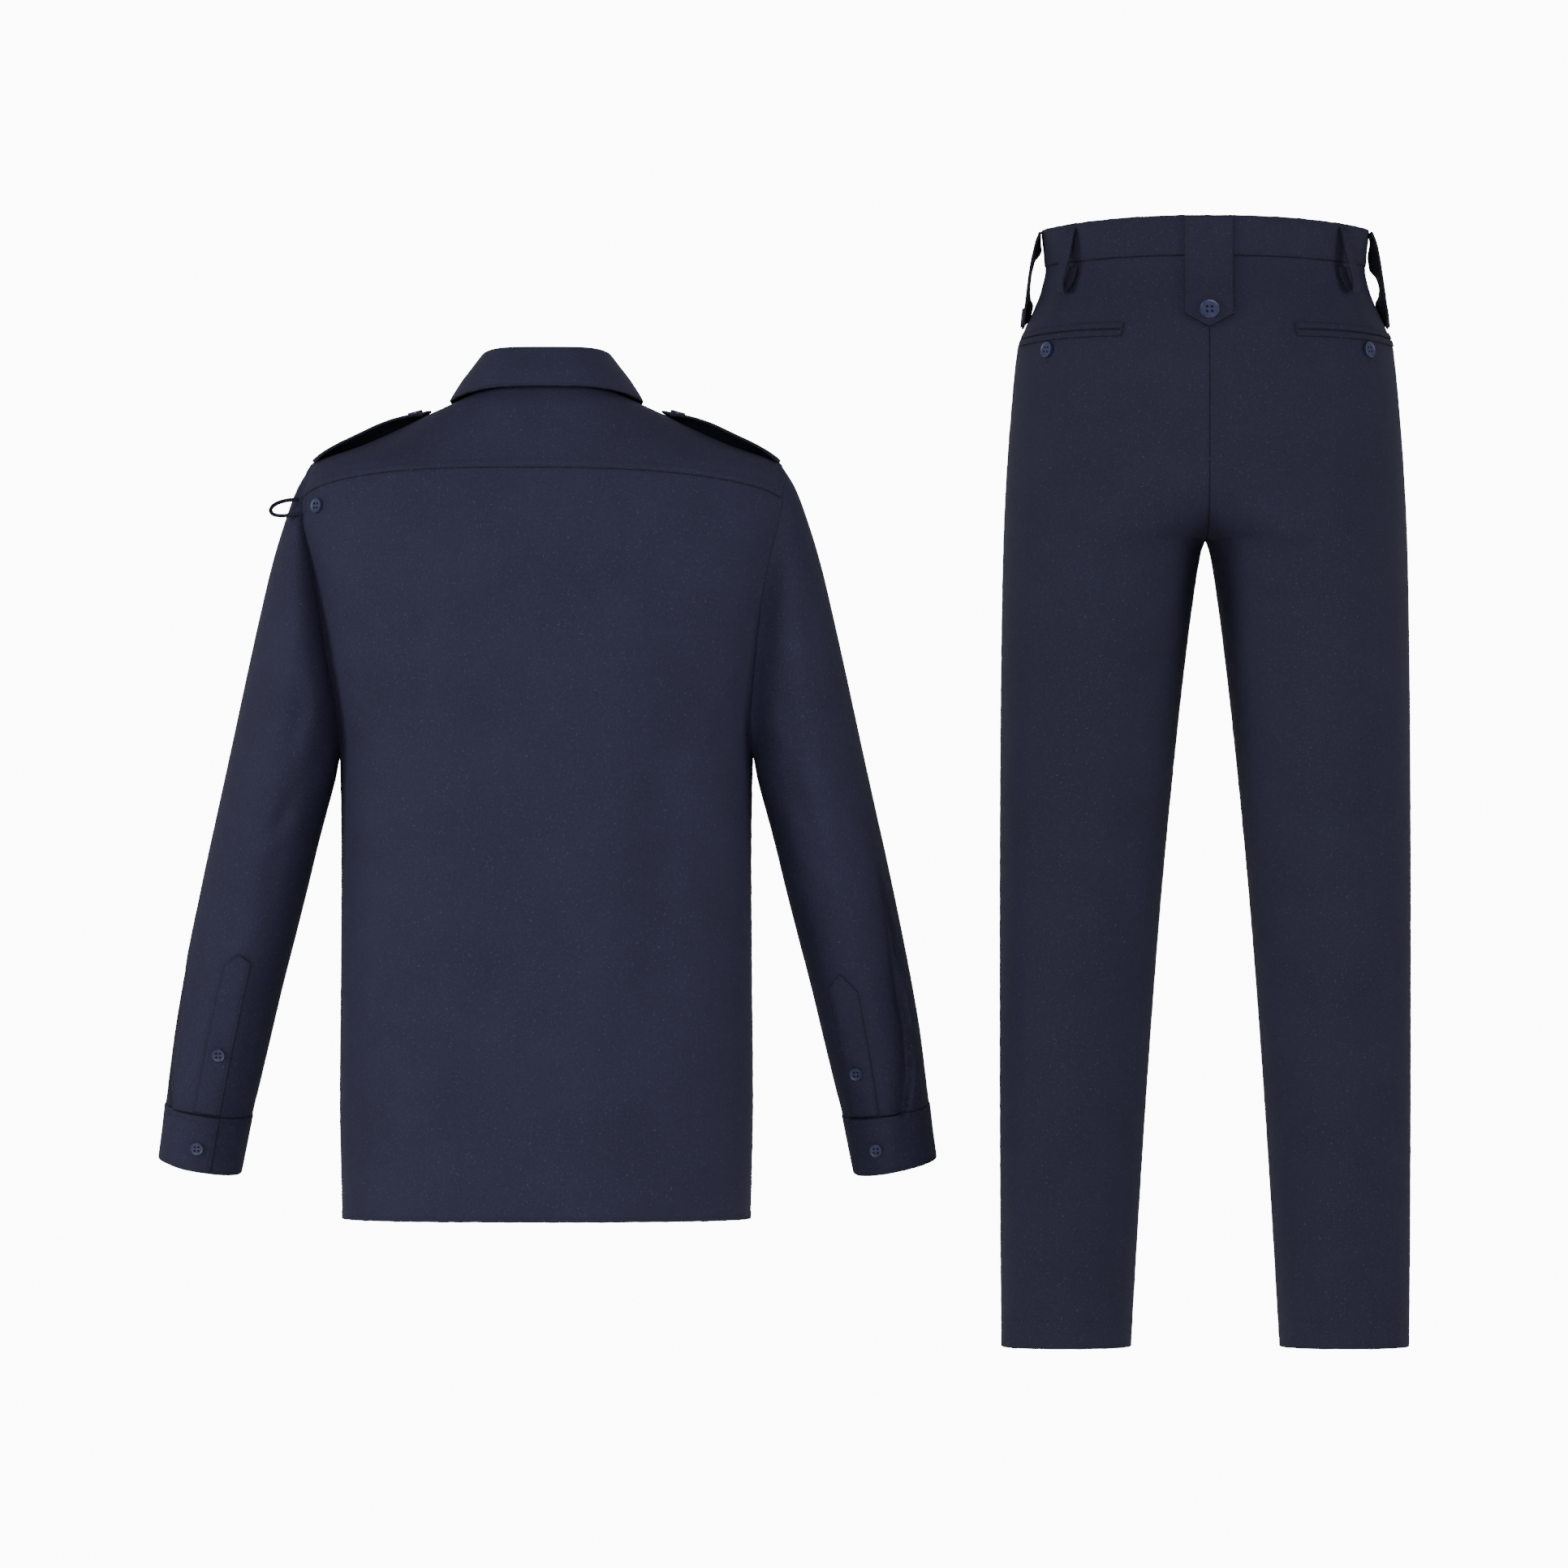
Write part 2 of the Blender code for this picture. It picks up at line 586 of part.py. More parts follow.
def new_object(name, builder, finish):
    """A named object from a bmesh, with its own material, in the garment's collection."""
    bmesh.ops.recalc_face_normals(builder, faces=builder.faces)
    mesh = bpy.data.meshes.new(name)
    builder.to_mesh(mesh)
    builder.free()
    mesh.materials.append(new_material(name, COLOURS[finish], ROUGHNESS[finish]))
    mesh.shade_smooth()
    mesh.set_sharp_from_angle(angle=math.radians(40.0))
    made = bpy.data.objects.new(name, mesh)
    bpy.data.collections["flame_resistant_uniform"].objects.link(made)
    return made


def trimmed(grid, edges):
    """A grid of points drawn back by half a seam gap along the edges named."""
    rows = [list(row) for row in grid]
    for edge in edges:
        if edge in ("first_row", "last_row"):
            here, there = (0, 1) if edge == "first_row" else (-1, -2)
            pairs = [((here, c), (there, c)) for c in range(len(rows[0]))]
        else:
            here, there = (0, 1) if edge == "first_column" else (-1, -2)
            pairs = [((r, here), (r, there)) for r in range(len(rows))]
        for (row, column), (next_row, next_column) in pairs:
            inward = rows[next_row][next_column] - rows[row][column]
            rows[row][column] = rows[row][column] + inward.normalized() * HALF_GAP
    return rows


def cloth_wall(name, outer, inner, finish, ring=False):
    """A closed wall between rows of outer and inner points; a ring joins its last column to its first."""
    builder = bmesh.new()
    skins = []
    for grid in (outer, inner):
        skins.append([[builder.verts.new(point * MM) for point in row] for row in grid])
    rows, columns = len(outer), len(outer[0])
    spans = columns if ring else columns - 1
    for skin in skins:
        for r in range(rows - 1):
            for c in range(spans):
                nxt = (c + 1) % columns
                builder.faces.new((skin[r][c], skin[r][nxt], skin[r + 1][nxt], skin[r + 1][c]))
    face, lining = skins
    for c in range(spans):
        nxt = (c + 1) % columns
        for r in (0, rows - 1):
            builder.faces.new((face[r][c], face[r][nxt], lining[r][nxt], lining[r][c]))
    if not ring:
        for r in range(rows - 1):
            for c in (0, columns - 1):
                builder.faces.new((face[r][c], face[r + 1][c], lining[r + 1][c], lining[r][c]))
    return new_object(name, builder, finish)


def walled(name, spots, point_at, normal_at, thickness, finish, edges=(), ring=False, lift=None):
    """A wall over a grid of surface spots, inwards from the surface or moved out by lift."""
    outer, inner = [], []
    for row in spots:
        points = [point_at(*spot) for spot in row]
        normals = [normal_at(*spot) for spot in row]
        raised = [lift(*spot) if lift else 0.0 for spot in row]
        outer.append([p + n * up for p, n, up in zip(points, normals, raised)])
        inner.append([p + n * (up - thickness) for p, n, up in zip(points, normals, raised)])
    return cloth_wall(name, trimmed(outer, edges), trimmed(inner, edges), finish, ring)


def shirt_wall(name, spots, edges, lift=None):
    """A wall of the shirt's body."""
    def normal_at(angle, level):
        return surface_normal(shirt_point, angle, level)
    return walled(name, spots, shirt_point, normal_at, SHIRT_CLOTH, "shirt", edges, lift=lift)


def strip(name, line, widths, thickness, finish):
    """A strap of cloth: a line of middle points, each with its half-width vector, made solid."""
    builder = bmesh.new()
    rows = []
    for middle, half in zip(line, widths):
        rows.append([builder.verts.new((middle + half * side) * MM) for side in (-1.0, 0.0, 1.0)])
    for low, high in zip(rows, rows[1:]):
        for c in range(2):
            builder.faces.new((low[c], low[c + 1], high[c + 1], high[c]))
    made = new_object(name, builder, finish)
    solid = made.modifiers.new("cloth", "SOLIDIFY")
    solid.thickness = thickness * MM
    solid.offset = 0.0
    solid.use_even_offset = True
    return made


def button(name, diameter, panel, spot):
    """A round button with a raised rim, lying just off the face of its panel that is nearest to a spot."""
    builder = bmesh.new()
    bmesh.ops.create_cone(
        builder,
        cap_ends=True,
        segments=BUTTON_SIDES,
        radius1=diameter / 2 * MM,
        radius2=diameter / 2 * MM,
        depth=BUTTON_THICK * MM,
    )
    top = max(builder.faces, key=lambda face: face.calc_center_median().z)
    bmesh.ops.inset_region(builder, faces=[top], thickness=BUTTON_RIM * MM, depth=-BUTTON_DISH * MM)
    made = new_object(name, builder, "button")
    cloth = bmesh.new()
    cloth.from_mesh(bpy.data.objects[panel].data)
    seat, normal, _, _ = BVHTree.FromBMesh(cloth).find_nearest(spot * MM)
    cloth.free()
    made.location = seat + normal * (SEAM_GAP + BUTTON_THICK / 2) * MM
    made.rotation_mode = "QUATERNION"
    made.rotation_quaternion = normal.to_track_quat("Z", "Y")
    return made


def body_levels():
    """The levels of the rows below the armholes, hem first."""
    return [blend(HEM_LEVEL, ARMHOLE_FOOT, i / BODY_ROWS) for i in range(BODY_ROWS)]


def yoke_row(share):
    """Spots of a row of the back between the armholes; share 1 is the yoke seam."""
    turn = blend(180.0, YOKE_TURN, share)
    left_angle, level = armhole_spot(LEFT, turn)
    right_angle, _ = armhole_spot(RIGHT, turn)
    centre = blend(ARMHOLE_FOOT, YOKE_CENTRE_LEVEL, share)
    row = []
    for column in range(BACK_COLUMNS + 1):
        across = column / BACK_COLUMNS
        hump = 1.0 - abs(2.0 * across - 1.0) ** YOKE_CURVE
        row.append((blend(left_angle, right_angle, across), blend(level, centre, hump)))
    return row


def build_back():
    """The shirt's back, from hem to yoke seam."""
    spots = []
    for level in body_levels():
        spots.append([(blend(-90.0, 90.0, c / BACK_COLUMNS), level) for c in range(BACK_COLUMNS + 1)])
    spots += [yoke_row(i / UNDER_STEPS) for i in range(UNDER_STEPS + 1)]
    shirt_wall("shirt_back", spots, ("first_column", "last_column", "last_row"))


def build_yoke():
    """The yoke, from the back seam over both shoulders to the seams in front of them."""
    seam = yoke_row(1.0)
    shares = [column / BACK_COLUMNS for column in range(BACK_COLUMNS + 1)]
    neck = [(blend(-YOKE_NECK_ANGLE, YOKE_NECK_ANGLE, share), NECK_LEVEL) for share in shares]
    for side in (LEFT, RIGHT):
        foot = [armhole_spot(side, SHOULDER_SEAM_TURN)] + [armhole_spot(side, turn) for turn in YOKE_TURNS]
        head = [(side * SHOULDER_SEAM_NECK_ANGLE, NECK_LEVEL)]
        head += [(side * angle, NECK_LEVEL) for angle in YOKE_SIDE_NECK_ANGLES]
        if side == LEFT:
            seam, neck = foot + seam, head + neck
        else:
            seam, neck = seam + foot[::-1], neck + head[::-1]
    spots = []
    for row in range(YOKE_ROWS + 1):
        share = row / YOKE_ROWS
        spots.append([(blend(a[0], b[0], share), blend(a[1], b[1], share)) for a, b in zip(seam, neck)])
    shirt_wall("shirt_yoke", spots, ("first_column", "last_column", "first_row"))


def front_stretch(angle):
    """How much of the lap past the centre a front has taken up at an angle."""
    return ease((angle - FRONT_STRETCH_ANGLE) / (180.0 - FRONT_STRETCH_ANGLE))


def front_spot(side, row_share, turn, across):
    """A spot of a front panel between its armhole edge and its centre edge, in the armhole's rows."""
    edge_angle, edge_level = armhole_spot(side, turn)
    centre_level = blend(ARMHOLE_FOOT, NECK_LEVEL, row_share)
    seam_angle, seam_level = armhole_spot(side, SHOULDER_SEAM_TURN)
    seam_share = SHOULDER_SHARE
    if across <= seam_share:
        top_angle = blend(abs(seam_angle), SHOULDER_SEAM_NECK_ANGLE, across / seam_share)
        top_level = blend(seam_level, NECK_LEVEL, across / seam_share)
    else:
        top_angle = blend(SHOULDER_SEAM_NECK_ANGLE, 180.0, (across - seam_share) / (1.0 - seam_share))
        top_level = NECK_LEVEL
    weight = row_share**2
    angle = blend(abs(edge_angle), 180.0, across)
    angle += weight * (top_angle - blend(abs(seam_angle), 180.0, across))
    level = blend(edge_level, centre_level, across)
    level += weight * (top_level - blend(seam_level, NECK_LEVEL, across))
    past = angle_at(SHIRT_SECTIONS, SHIRT_SQUARENESS, FRONT_EDGE, level)
    return side * (angle + past * front_stretch(angle)), level


def front_lift(angle, level):
    """How far the wearer's left front stands out where it laps over the right one."""
    if angle > 0.0:
        return 0.0
    x = shirt_point(angle, level).x
    return LAP_LIFT * ease((x + LAP_START) / LAP_LENGTH)


def build_front(side, name):
    """One front of the shirt, from its side seam to just past the centre, where the left laps the right."""
    spots = []
    for level in body_levels():
        past = angle_at(SHIRT_SECTIONS, SHIRT_SQUARENESS, FRONT_EDGE, level)
        row = []
        for share in FRONT_SHARES:
            angle = blend(90.0, 180.0, share)
            row.append((side * (angle + past * front_stretch(angle)), level))
        spots.append(row)
    turns = [360.0 - turn for turn in reversed(HALF_TURNS[1:])]
    for index, turn in enumerate(turns):
        share = index / (len(turns) - 1)
        spots.append([front_spot(side, share, turn, across) for across in FRONT_SHARES])
    shirt_wall(name, spots, ("first_column", "last_row"), front_lift)


def build_sleeve(side, name):
    """A sleeve from the armhole to the cuff seam."""
    spots = [[(side, turn, float(ring)) for turn in ARM_TURNS] for ring in range(int(CUFF_SEAM) + 1)]
    walled(name, spots, sleeve_point, sleeve_normal, SHIRT_CLOTH, "shirt", ("last_row",), ring=True)


def cuff_start(side, ring):
    """The turn of the cuff's lapping end, which slants on a twisted sleeve."""
    return OPENING_TURN[side] + CUFF_SLANT[side] * (ring - CUFF_SEAM)


def build_cuff(side, name):
    """A cuff: an open band whose end with the buttonhole laps over the other."""
    whole = 360.0 + CUFF_UNDERLAP[side]
    rings = (CUFF_SEAM, (CUFF_SEAM + CUFF_EDGE) / 2, CUFF_EDGE)
    spots = []
    for ring in rings:
        start = cuff_start(side, ring)
        spots.append([(side, start - whole * c / CUFF_COLUMNS, ring) for c in range(CUFF_COLUMNS + 1)])

    def cuff_point(side, turn, ring):
        return sleeve_point(side, turn % 360.0, ring)

    def cuff_normal(side, turn, ring):
        return sleeve_normal(side, turn % 360.0, ring)

    def lift(side, turn, ring):
        past = cuff_start(side, ring) - turn - CUFF_UNDERLAP[side] - CUFF_LAP_CLEAR
        return CUFF_OUT + (DOUBLE_CLOTH + CUFF_LAP_GAP) * (1.0 - ease(past / CUFF_LAP_TURN))

    walled(name, spots, cuff_point, cuff_normal, DOUBLE_CLOTH, "shirt", ("first_row",), lift=lift)


def build_sleeve_placket(side, name):
    """The pointed band sewn over the sleeve's opening above the cuff."""
    cut = PLACKET_CUTS[side]
    spots = []
    for row in range(PLACKET_ROWS + 1):
        share = row / PLACKET_ROWS
        near = blend(cut.near_foot, cut.near_head, 1.0 - (1.0 - share) ** 2)
        far = blend(cut.far_foot, cut.far_head, share)
        places = []
        for place in PLACKET_PLACES:
            if place <= PLACKET_TIP:
                head = blend(cut.near_ring, cut.tip_ring, place / PLACKET_TIP)
            else:
                head = blend(cut.tip_ring, cut.far_ring, (place - PLACKET_TIP) / (1.0 - PLACKET_TIP))
            places.append((side, blend(near, far, place), blend(PLACKET_FOOT, head, share)))
        spots.append(places)

    def lift(side, turn, ring):
        return SHIRT_CLOTH + PLACKET_GAP

    walled(name, spots, sleeve_point, sleeve_normal, SHIRT_CLOTH, "shirt", lift=lift)


def stand_point(angle, share):
    """A point on the collar stand, from the neck seam to the fold."""
    foot = shirt_point(angle, NECK_LEVEL)
    foot.z += STAND_GAP + STAND_RAISE * ease((abs(angle) - STAND_RAISE_ANGLE) / STAND_RAISE_LENGTH)
    return foot.lerp(hoop_point(STAND_TOP, SHIRT_SQUARENESS, angle), share)


def stand_normal(angle, share):
    """The outward direction of the collar stand."""
    share = min(max(share, 0.02), 0.98)
    return surface_normal(stand_point, angle, share, 0.01)


def stand_lift(angle):
    """How far the stand's left end stands out where it laps over the right one."""
    return LAP_LIFT * ease((-angle - STAND_LAP_ANGLE) / STAND_LAP_LENGTH)


def build_collar_stand():
    """The band round the neck that carries the collar and buttons in front."""
    past = angle_at(SHIRT_SECTIONS, SHIRT_SQUARENESS, FRONT_EDGE, NECK_LEVEL)
    end = 180.0 + past
    spots = []
    for share in (0.0, 0.5, 1.0):
        spots.append([(blend(-end, end, c / COLLAR_COLUMNS), share) for c in range(COLLAR_COLUMNS + 1)])

    def lift(angle, share):
        return stand_lift(angle)

    walled("collar_stand", spots, stand_point, stand_normal, SHIRT_CLOTH, "shirt", lift=lift)


def fall_point(across, row):
    """A point on the underside of the collar's fall, from over the stand's top down to its lower edge."""
    share = listed(FALL_PROFILE, "share", row)
    top_angle = blend(-FALL_TOP_ANGLE, FALL_TOP_ANGLE, across)
    edge_angle = blend(-FALL_POINT_ANGLE, FALL_POINT_ANGLE, across)
    top = hoop_point(STAND_TOP, SHIRT_SQUARENESS, top_angle)
    outward = stand_normal(top_angle, 1.0)
    outward.z = 0.0
    outward.normalize()
    edge = hoop_point(FALL_EDGE, FALL_SQUARENESS, edge_angle)
    out = listed(FALL_PROFILE, "out", row) + stand_lift(top_angle) * (1.0 - share)
    return top.lerp(edge, share) + outward * out + Vector((0.0, 0.0, listed(FALL_PROFILE, "up", row)))


def fall_normal(across, row):
    """The outward direction of the collar's fall."""
    size = 0.01
    last = len(FALL_PROFILE) - 1.0
    inside = min(max(row, 0.02), last - 0.02)
    low, high = max(across - size, 0.0), min(across + size, 1.0)
    side_step = fall_point(high, inside) - fall_point(low, inside)
    down_step = fall_point(across, inside + 0.02) - fall_point(across, inside - 0.02)
    return down_step.cross(side_step).normalized()


def build_collar_fall():
    """The collar's fall, folded over from the top of the stand."""
    spots = []
    for row in range(len(FALL_PROFILE)):
        spots.append([(c / COLLAR_COLUMNS, float(row)) for c in range(COLLAR_COLUMNS + 1)])

    def lift(across, row):
        return FALL_CLOTH

    walled("collar_fall", spots, fall_point, fall_normal, FALL_CLOTH, "shirt", lift=lift)


def strap_spot(side, along, across):
    """The angle and level under a spot of a shoulder strap."""
    end = blend(STRAP_TIP_LEVEL, STRAP_SIDE_LEVEL, abs(across))
    level = blend(STRAP_SHOULDER_LEVEL, end, along)
    half = blend(STRAP_HALF_WIDTH, STRAP_TIP_HALF_WIDTH, along)
    column = "back_depth" if across < 0 else "front_depth"
    depth = reading(SHIRT_SECTIONS, "level", column, level)
    share = (abs(across) * half / depth) ** (SHIRT_SQUARENESS / 2.0)
    lean = math.degrees(math.asin(share))
    return side * (90.0 + math.copysign(lean, across)), level


def strap_point(side, along, across):
    """A point on the underside of a shoulder strap, which arches up between its ends."""
    angle, level = strap_spot(side, along, across)
    body = shirt_point(angle, level)
    rise = STRAP_RISE * blend(STRAP_BACK_RISE, STRAP_FRONT_RISE, (1.0 + across) / 2)
    arch = rise * math.sin(math.pi * along) ** STRAP_FULLNESS
    return body + surface_normal(shirt_point, angle, level) * LAID_GAP + Vector((0.0, 0.0, arch))


def build_strap(side, word):
    """A shoulder strap, sewn at the armhole and buttoned near the collar."""
    outer, inner = [], []
    places = [blend(-1.0, 1.0, column / STRAP_COLUMNS) for column in range(STRAP_COLUMNS + 1)]
    for row in range(STRAP_ROWS + 1):
        along = row / STRAP_ROWS
        under = [strap_point(side, along, across) for across in places]
        raised = [surface_normal(shirt_point, *strap_spot(side, along, across)) for across in places]
        inner.append(under)
        outer.append([p + n * DOUBLE_CLOTH for p, n in zip(under, raised)])
    cloth_wall(f"{word}_shoulder_strap", outer, inner, "shirt")
    above = strap_point(side, STRAP_BUTTON_SHARE, 0.0) + Vector((0.0, 0.0, 2.0 * DOUBLE_CLOTH))
    button(f"{word}_strap_button", STRAP_BUTTON, f"{word}_shoulder_strap", above)


def build_shoulder_loop():
    """The narrow loop caught in the left armhole seam, with its button on the back beside it."""
    widths = [Vector((0.0, LOOP_WIDTH / 2, 0.0))] * len(LOOP_LINE)
    strip("shoulder_loop", [Vector(spot) for spot in LOOP_LINE], widths, LOOP_CLOTH, "shirt")
    button("shoulder_loop_button", STRAP_BUTTON, "shirt_back", Vector(SHOULDER_BUTTON_SPOT))


def build_shirt_buttons():
    """The buttons down the front, on the collar stand, the sleeve plackets and the cuffs."""
    for index in range(FRONT_BUTTON_COUNT):
        level = level_at(SHIRT_SECTIONS, "front_z", FRONT_BUTTON_TOP - FRONT_BUTTON_STEP * index)
        ahead = surface_normal(shirt_point, 180.0, level) * 2.0 * LAP_LIFT
        button(f"front_button_{index + 1}", SHIRT_BUTTON, "left_front", shirt_point(180.0, level) + ahead)
    ahead = stand_normal(180.0, COLLAR_BUTTON_SHARE) * 2.0 * LAP_LIFT
    spot = stand_point(180.0, COLLAR_BUTTON_SHARE) + ahead
    button("collar_button", SHIRT_BUTTON, "collar_stand", spot)
    for side, word in ((LEFT, "left"), (RIGHT, "right")):
        place = PLACKET_BUTTONS[side]
        ahead = sleeve_normal(side, place.turn, place.ring) * 2.0 * DOUBLE_CLOTH
        spot = sleeve_point(side, place.turn, place.ring) + ahead
        button(f"{word}_placket_button", SHIRT_BUTTON, f"{word}_sleeve_placket", spot)
        place = CUFF_BUTTONS[side]
        ahead = sleeve_normal(side, place.turn, place.ring) * 3.0 * DOUBLE_CLOTH
        spot = sleeve_point(side, place.turn, place.ring) + ahead
        button(f"{word}_cuff_button", SHIRT_BUTTON, f"{word}_cuff", spot)


def leg_rows():
    """The rows of a leg panel, hem first; round the fork they drop towards the side seam."""
    rows = list(LEG_ROWS)
    for seat in SEAT_ROWS:
        share = math.sin(math.radians(seat.inner_turn)) ** (2.0 / TROUSER_SQUARENESS)
        rows.append(PanelRow(SEAT_LEVEL - CROTCH_DROP * math.sqrt(share), seat.outer))
    return rows + [PanelRow(level, level) for level in HIP_LEVELS]


def build_leg_panel(side, behind, name):
    """A back or front of the trousers: one leg and its half of the seat."""
    spots = []
    for panel_row in leg_rows():
        start = -inner_angle(panel_row.inner)
        row = []
        for column in range(LEG_COLUMNS + 1):
            share = column / LEG_COLUMNS
            angle = blend(start, 90.0, share)
            level = blend(panel_row.inner, panel_row.outer, 1.0 - (1.0 - share) ** ROW_BEND)
            row.append((side, angle if behind else 180.0 - angle, level))
        spots.append(row)
    edges = ("first_column", "last_column", "last_row")
    walled(name, spots, trouser_point, trouser_normal, TROUSER_CLOTH, "trousers", edges)


def build_waistband():
    """The waistband, lapped in front."""
    past = angle_at(TROUSER_SECTIONS, TROUSER_SQUARENESS, BAND_LAP_X, WAIST_TOP_LEVEL)
    start, end = -180.0 - past, 180.0 + past * BAND_UNDERLAP
    spots = []
    for row in range(BAND_ROWS + 1):
        level = blend(WAIST_SEAM_LEVEL, WAIST_TOP_LEVEL, row / BAND_ROWS)
        spots.append([(blend(start, end, c / HIP_COLUMNS), level) for c in range(HIP_COLUMNS + 1)])

    def lift(angle, level):
        lapped = ease((-angle - BAND_LAP_ANGLE) / BAND_LAP_LENGTH)
        return BAND_OUT + (WAISTBAND_CLOTH + BAND_LAP_GAP) * lapped

    edges = ("first_row",)
    walled("waistband", spots, hip_point, hip_normal, WAISTBAND_CLOTH, "trousers", edges, lift=lift)
    ahead = hip_normal(180.0, WAIST_BUTTON_LEVEL) * 4.0 * WAISTBAND_CLOTH
    spot = hip_point(180.0, WAIST_BUTTON_LEVEL) + ahead
    button("waistband_button", POCKET_BUTTON, "waistband", spot)


def build_back_tab():
    """The pointed tab at the centre back, from the waistband's top to its button."""
    outer, inner = [], []
    out_face = TAB_OUT + TAB_CLOTH
    for row in range(TAB_ROWS + 1):
        outer_row, inner_row = [], []
        for column in range(TAB_COLUMNS + 1):
            across = blend(-1.0, 1.0, column / TAB_COLUMNS)
            foot_z = blend(TAB_TIP_Z, TAB_SHOULDER_Z, abs(across))
            level = level_at(TROUSER_SECTIONS, "back_z", blend(TAB_TOP_Z, foot_z, row / TAB_ROWS))
            angle = angle_at(TROUSER_SECTIONS, TROUSER_SQUARENESS, across * TAB_HALF_WIDTH, level)
            side = LEFT if across < 0 else RIGHT
            point = trouser_point(side, angle, level)
            normal = trouser_normal(side, angle, level)
            outer_row.append(point + normal * out_face)
            inner_row.append(point + normal * TAB_OUT)
        outer.append(outer_row)
        inner.append(inner_row)
    cloth_wall("back_tab", outer, inner, "trousers")
    level = level_at(TROUSER_SECTIONS, "back_z", TAB_BUTTON_Z)
    spot = trouser_point(RIGHT, 0.0, level) - Vector((0.0, 2.0 * out_face, 0.0))
    button("back_tab_button", TAB_BUTTON, "back_tab", spot)


def build_side_tab(side, word):
    """A long side tab that stands off the narrow waist, like the one at the back."""
    outer, inner = [], []
    foot = len(SIDE_TAB_LINE) - 1
    length = SIDE_TAB_LINE[0].z - SIDE_TAB_LINE[-1].z

    def face_point(share, across, thickness):
        spot = share * foot
        x = listed(SIDE_TAB_LINE, "x", spot) - thickness
        x += listed(SIDE_TAB_LINE, "sway", spot) * across
        x -= SIDE_TAB_BOW * across * across
        return Vector((TROUSER_X + side * x, across * TAB_HALF_WIDTH, listed(SIDE_TAB_LINE, "z", spot)))

    for row in range(SIDE_TAB_ROWS + 1):
        outer_row, inner_row = [], []
        for column in range(TAB_COLUMNS + 1):
            across = blend(-1.0, 1.0, column / TAB_COLUMNS)
            share = row / SIDE_TAB_ROWS * (1.0 - SIDE_TAB_CHAMFER / length * abs(across))
            outer_row.append(face_point(share, across, 0.0))
            inner_row.append(face_point(share, across, TAB_CLOTH))
        outer.append(outer_row)
        inner.append(inner_row)
    cloth_wall(f"{word}_side_tab", outer, inner, "trousers")
    spot = face_point(SIDE_BUTTON_SHARE, 0.0, -2.0 * TAB_CLOTH)
    button(f"{word}_side_tab_button", TAB_BUTTON, f"{word}_side_tab", spot)


def build_belt_loop(side, angle, name):
    """A slack belt loop: down from the waistband's top, out, and folded back up to its seam."""
    line, widths = [], []
    for spot in BELT_LOOP_LINE:
        ahead = trouser_point(side, angle + 1.0, spot.level)
        along = (ahead - trouser_point(side, angle - 1.0, spot.level)).normalized()
        off = BELT_LOOP_OUT + BELT_LOOP_CLOTH / 2 + spot.out
        middle = trouser_point(side, angle, spot.level) + trouser_normal(side, angle, spot.level) * off
        line.append(middle + along * spot.sway)
        widths.append(along * (BELT_LOOP_WIDTH / 2))
    strip(name, line, widths, BELT_LOOP_CLOTH, "trousers")


def build_pocket(side, word):
    """A jetted back pocket: two lips lying on the panel and a button below them."""
    for place, which in ((1, "upper"), (-1, "lower")):
        spots = []
        near = LIP_SPACE / 2
        for row in range(3):
            height = place * (near + LIP_HEIGHT * row / 2)
            line = []
            for column in range(LIP_COLUMNS + 1):
                share = column / LIP_COLUMNS
                angle = blend(POCKET_INNER_ANGLE, POCKET_OUTER_ANGLE, share)
                line.append((side, angle, POCKET_LEVEL + height - POCKET_SLANT * ease(share) * share))
            spots.append(line)

        def lift(side, angle, level):
            return LIP_CLOTH + LAID_GAP

        name = f"{word}_pocket_{which}_lip"
        walled(name, spots, trouser_point, trouser_normal, LIP_CLOTH, "trousers", lift=lift)
    spot = trouser_point(side, POCKET_BUTTON_ANGLE, POCKET_BUTTON_LEVEL)
    button(f"{word}_pocket_button", POCKET_BUTTON, f"{word}_trouser_back", spot)


def build_fly():
    """The fly's stitched-down strip on the wearer's left front, with a rounded foot."""
    spots = []
    for row in range(FLY_ROWS + 1):
        line = []
        for column in range(FLY_COLUMNS + 1):
            share = column / FLY_COLUMNS
            foot = FLY_FOOT_LEVEL + FLY_FOOT_RISE * share**FLY_FOOT_CURVE
            level = blend(WAIST_SEAM_LEVEL - 1.0, foot, row / FLY_ROWS)
            past = angle_at(TROUSER_SECTIONS, TROUSER_SQUARENESS, FLY_EDGE + FLY_WIDTH * share, level)
            line.append((LEFT, 180.0 - past, level))
        spots.append(line)

    def lift(side, angle, level):
        return FLY_CLOTH + LAID_GAP

    walled("trouser_fly", spots, trouser_point, trouser_normal, FLY_CLOTH, "trousers", lift=lift)


def build_shirt():
    """Every piece of the shirt."""
    build_back()
    build_yoke()
    build_collar_stand()
    build_collar_fall()
    build_shoulder_loop()
    for side, word in ((LEFT, "left"), (RIGHT, "right")):
        build_front(side, f"{word}_front")
        build_sleeve(side, f"{word}_sleeve")
        build_sleeve_placket(side, f"{word}_sleeve_placket")
        build_cuff(side, f"{word}_cuff")
        build_strap(side, word)
    build_shirt_buttons()


def build_trousers():
    """Every piece of the trousers."""
    build_waistband()
    build_back_tab()
    build_fly()
    for side, word in ((LEFT, "left"), (RIGHT, "right")):
        build_leg_panel(side, True, f"{word}_trouser_back")
        build_leg_panel(side, False, f"{word}_trouser_front")
        build_side_tab(side, word)
        build_belt_loop(side, BACK_LOOP_ANGLE, f"{word}_back_belt_loop")
        build_belt_loop(side, FRONT_LOOP_ANGLE, f"{word}_front_belt_loop")
        build_pocket(side, word)


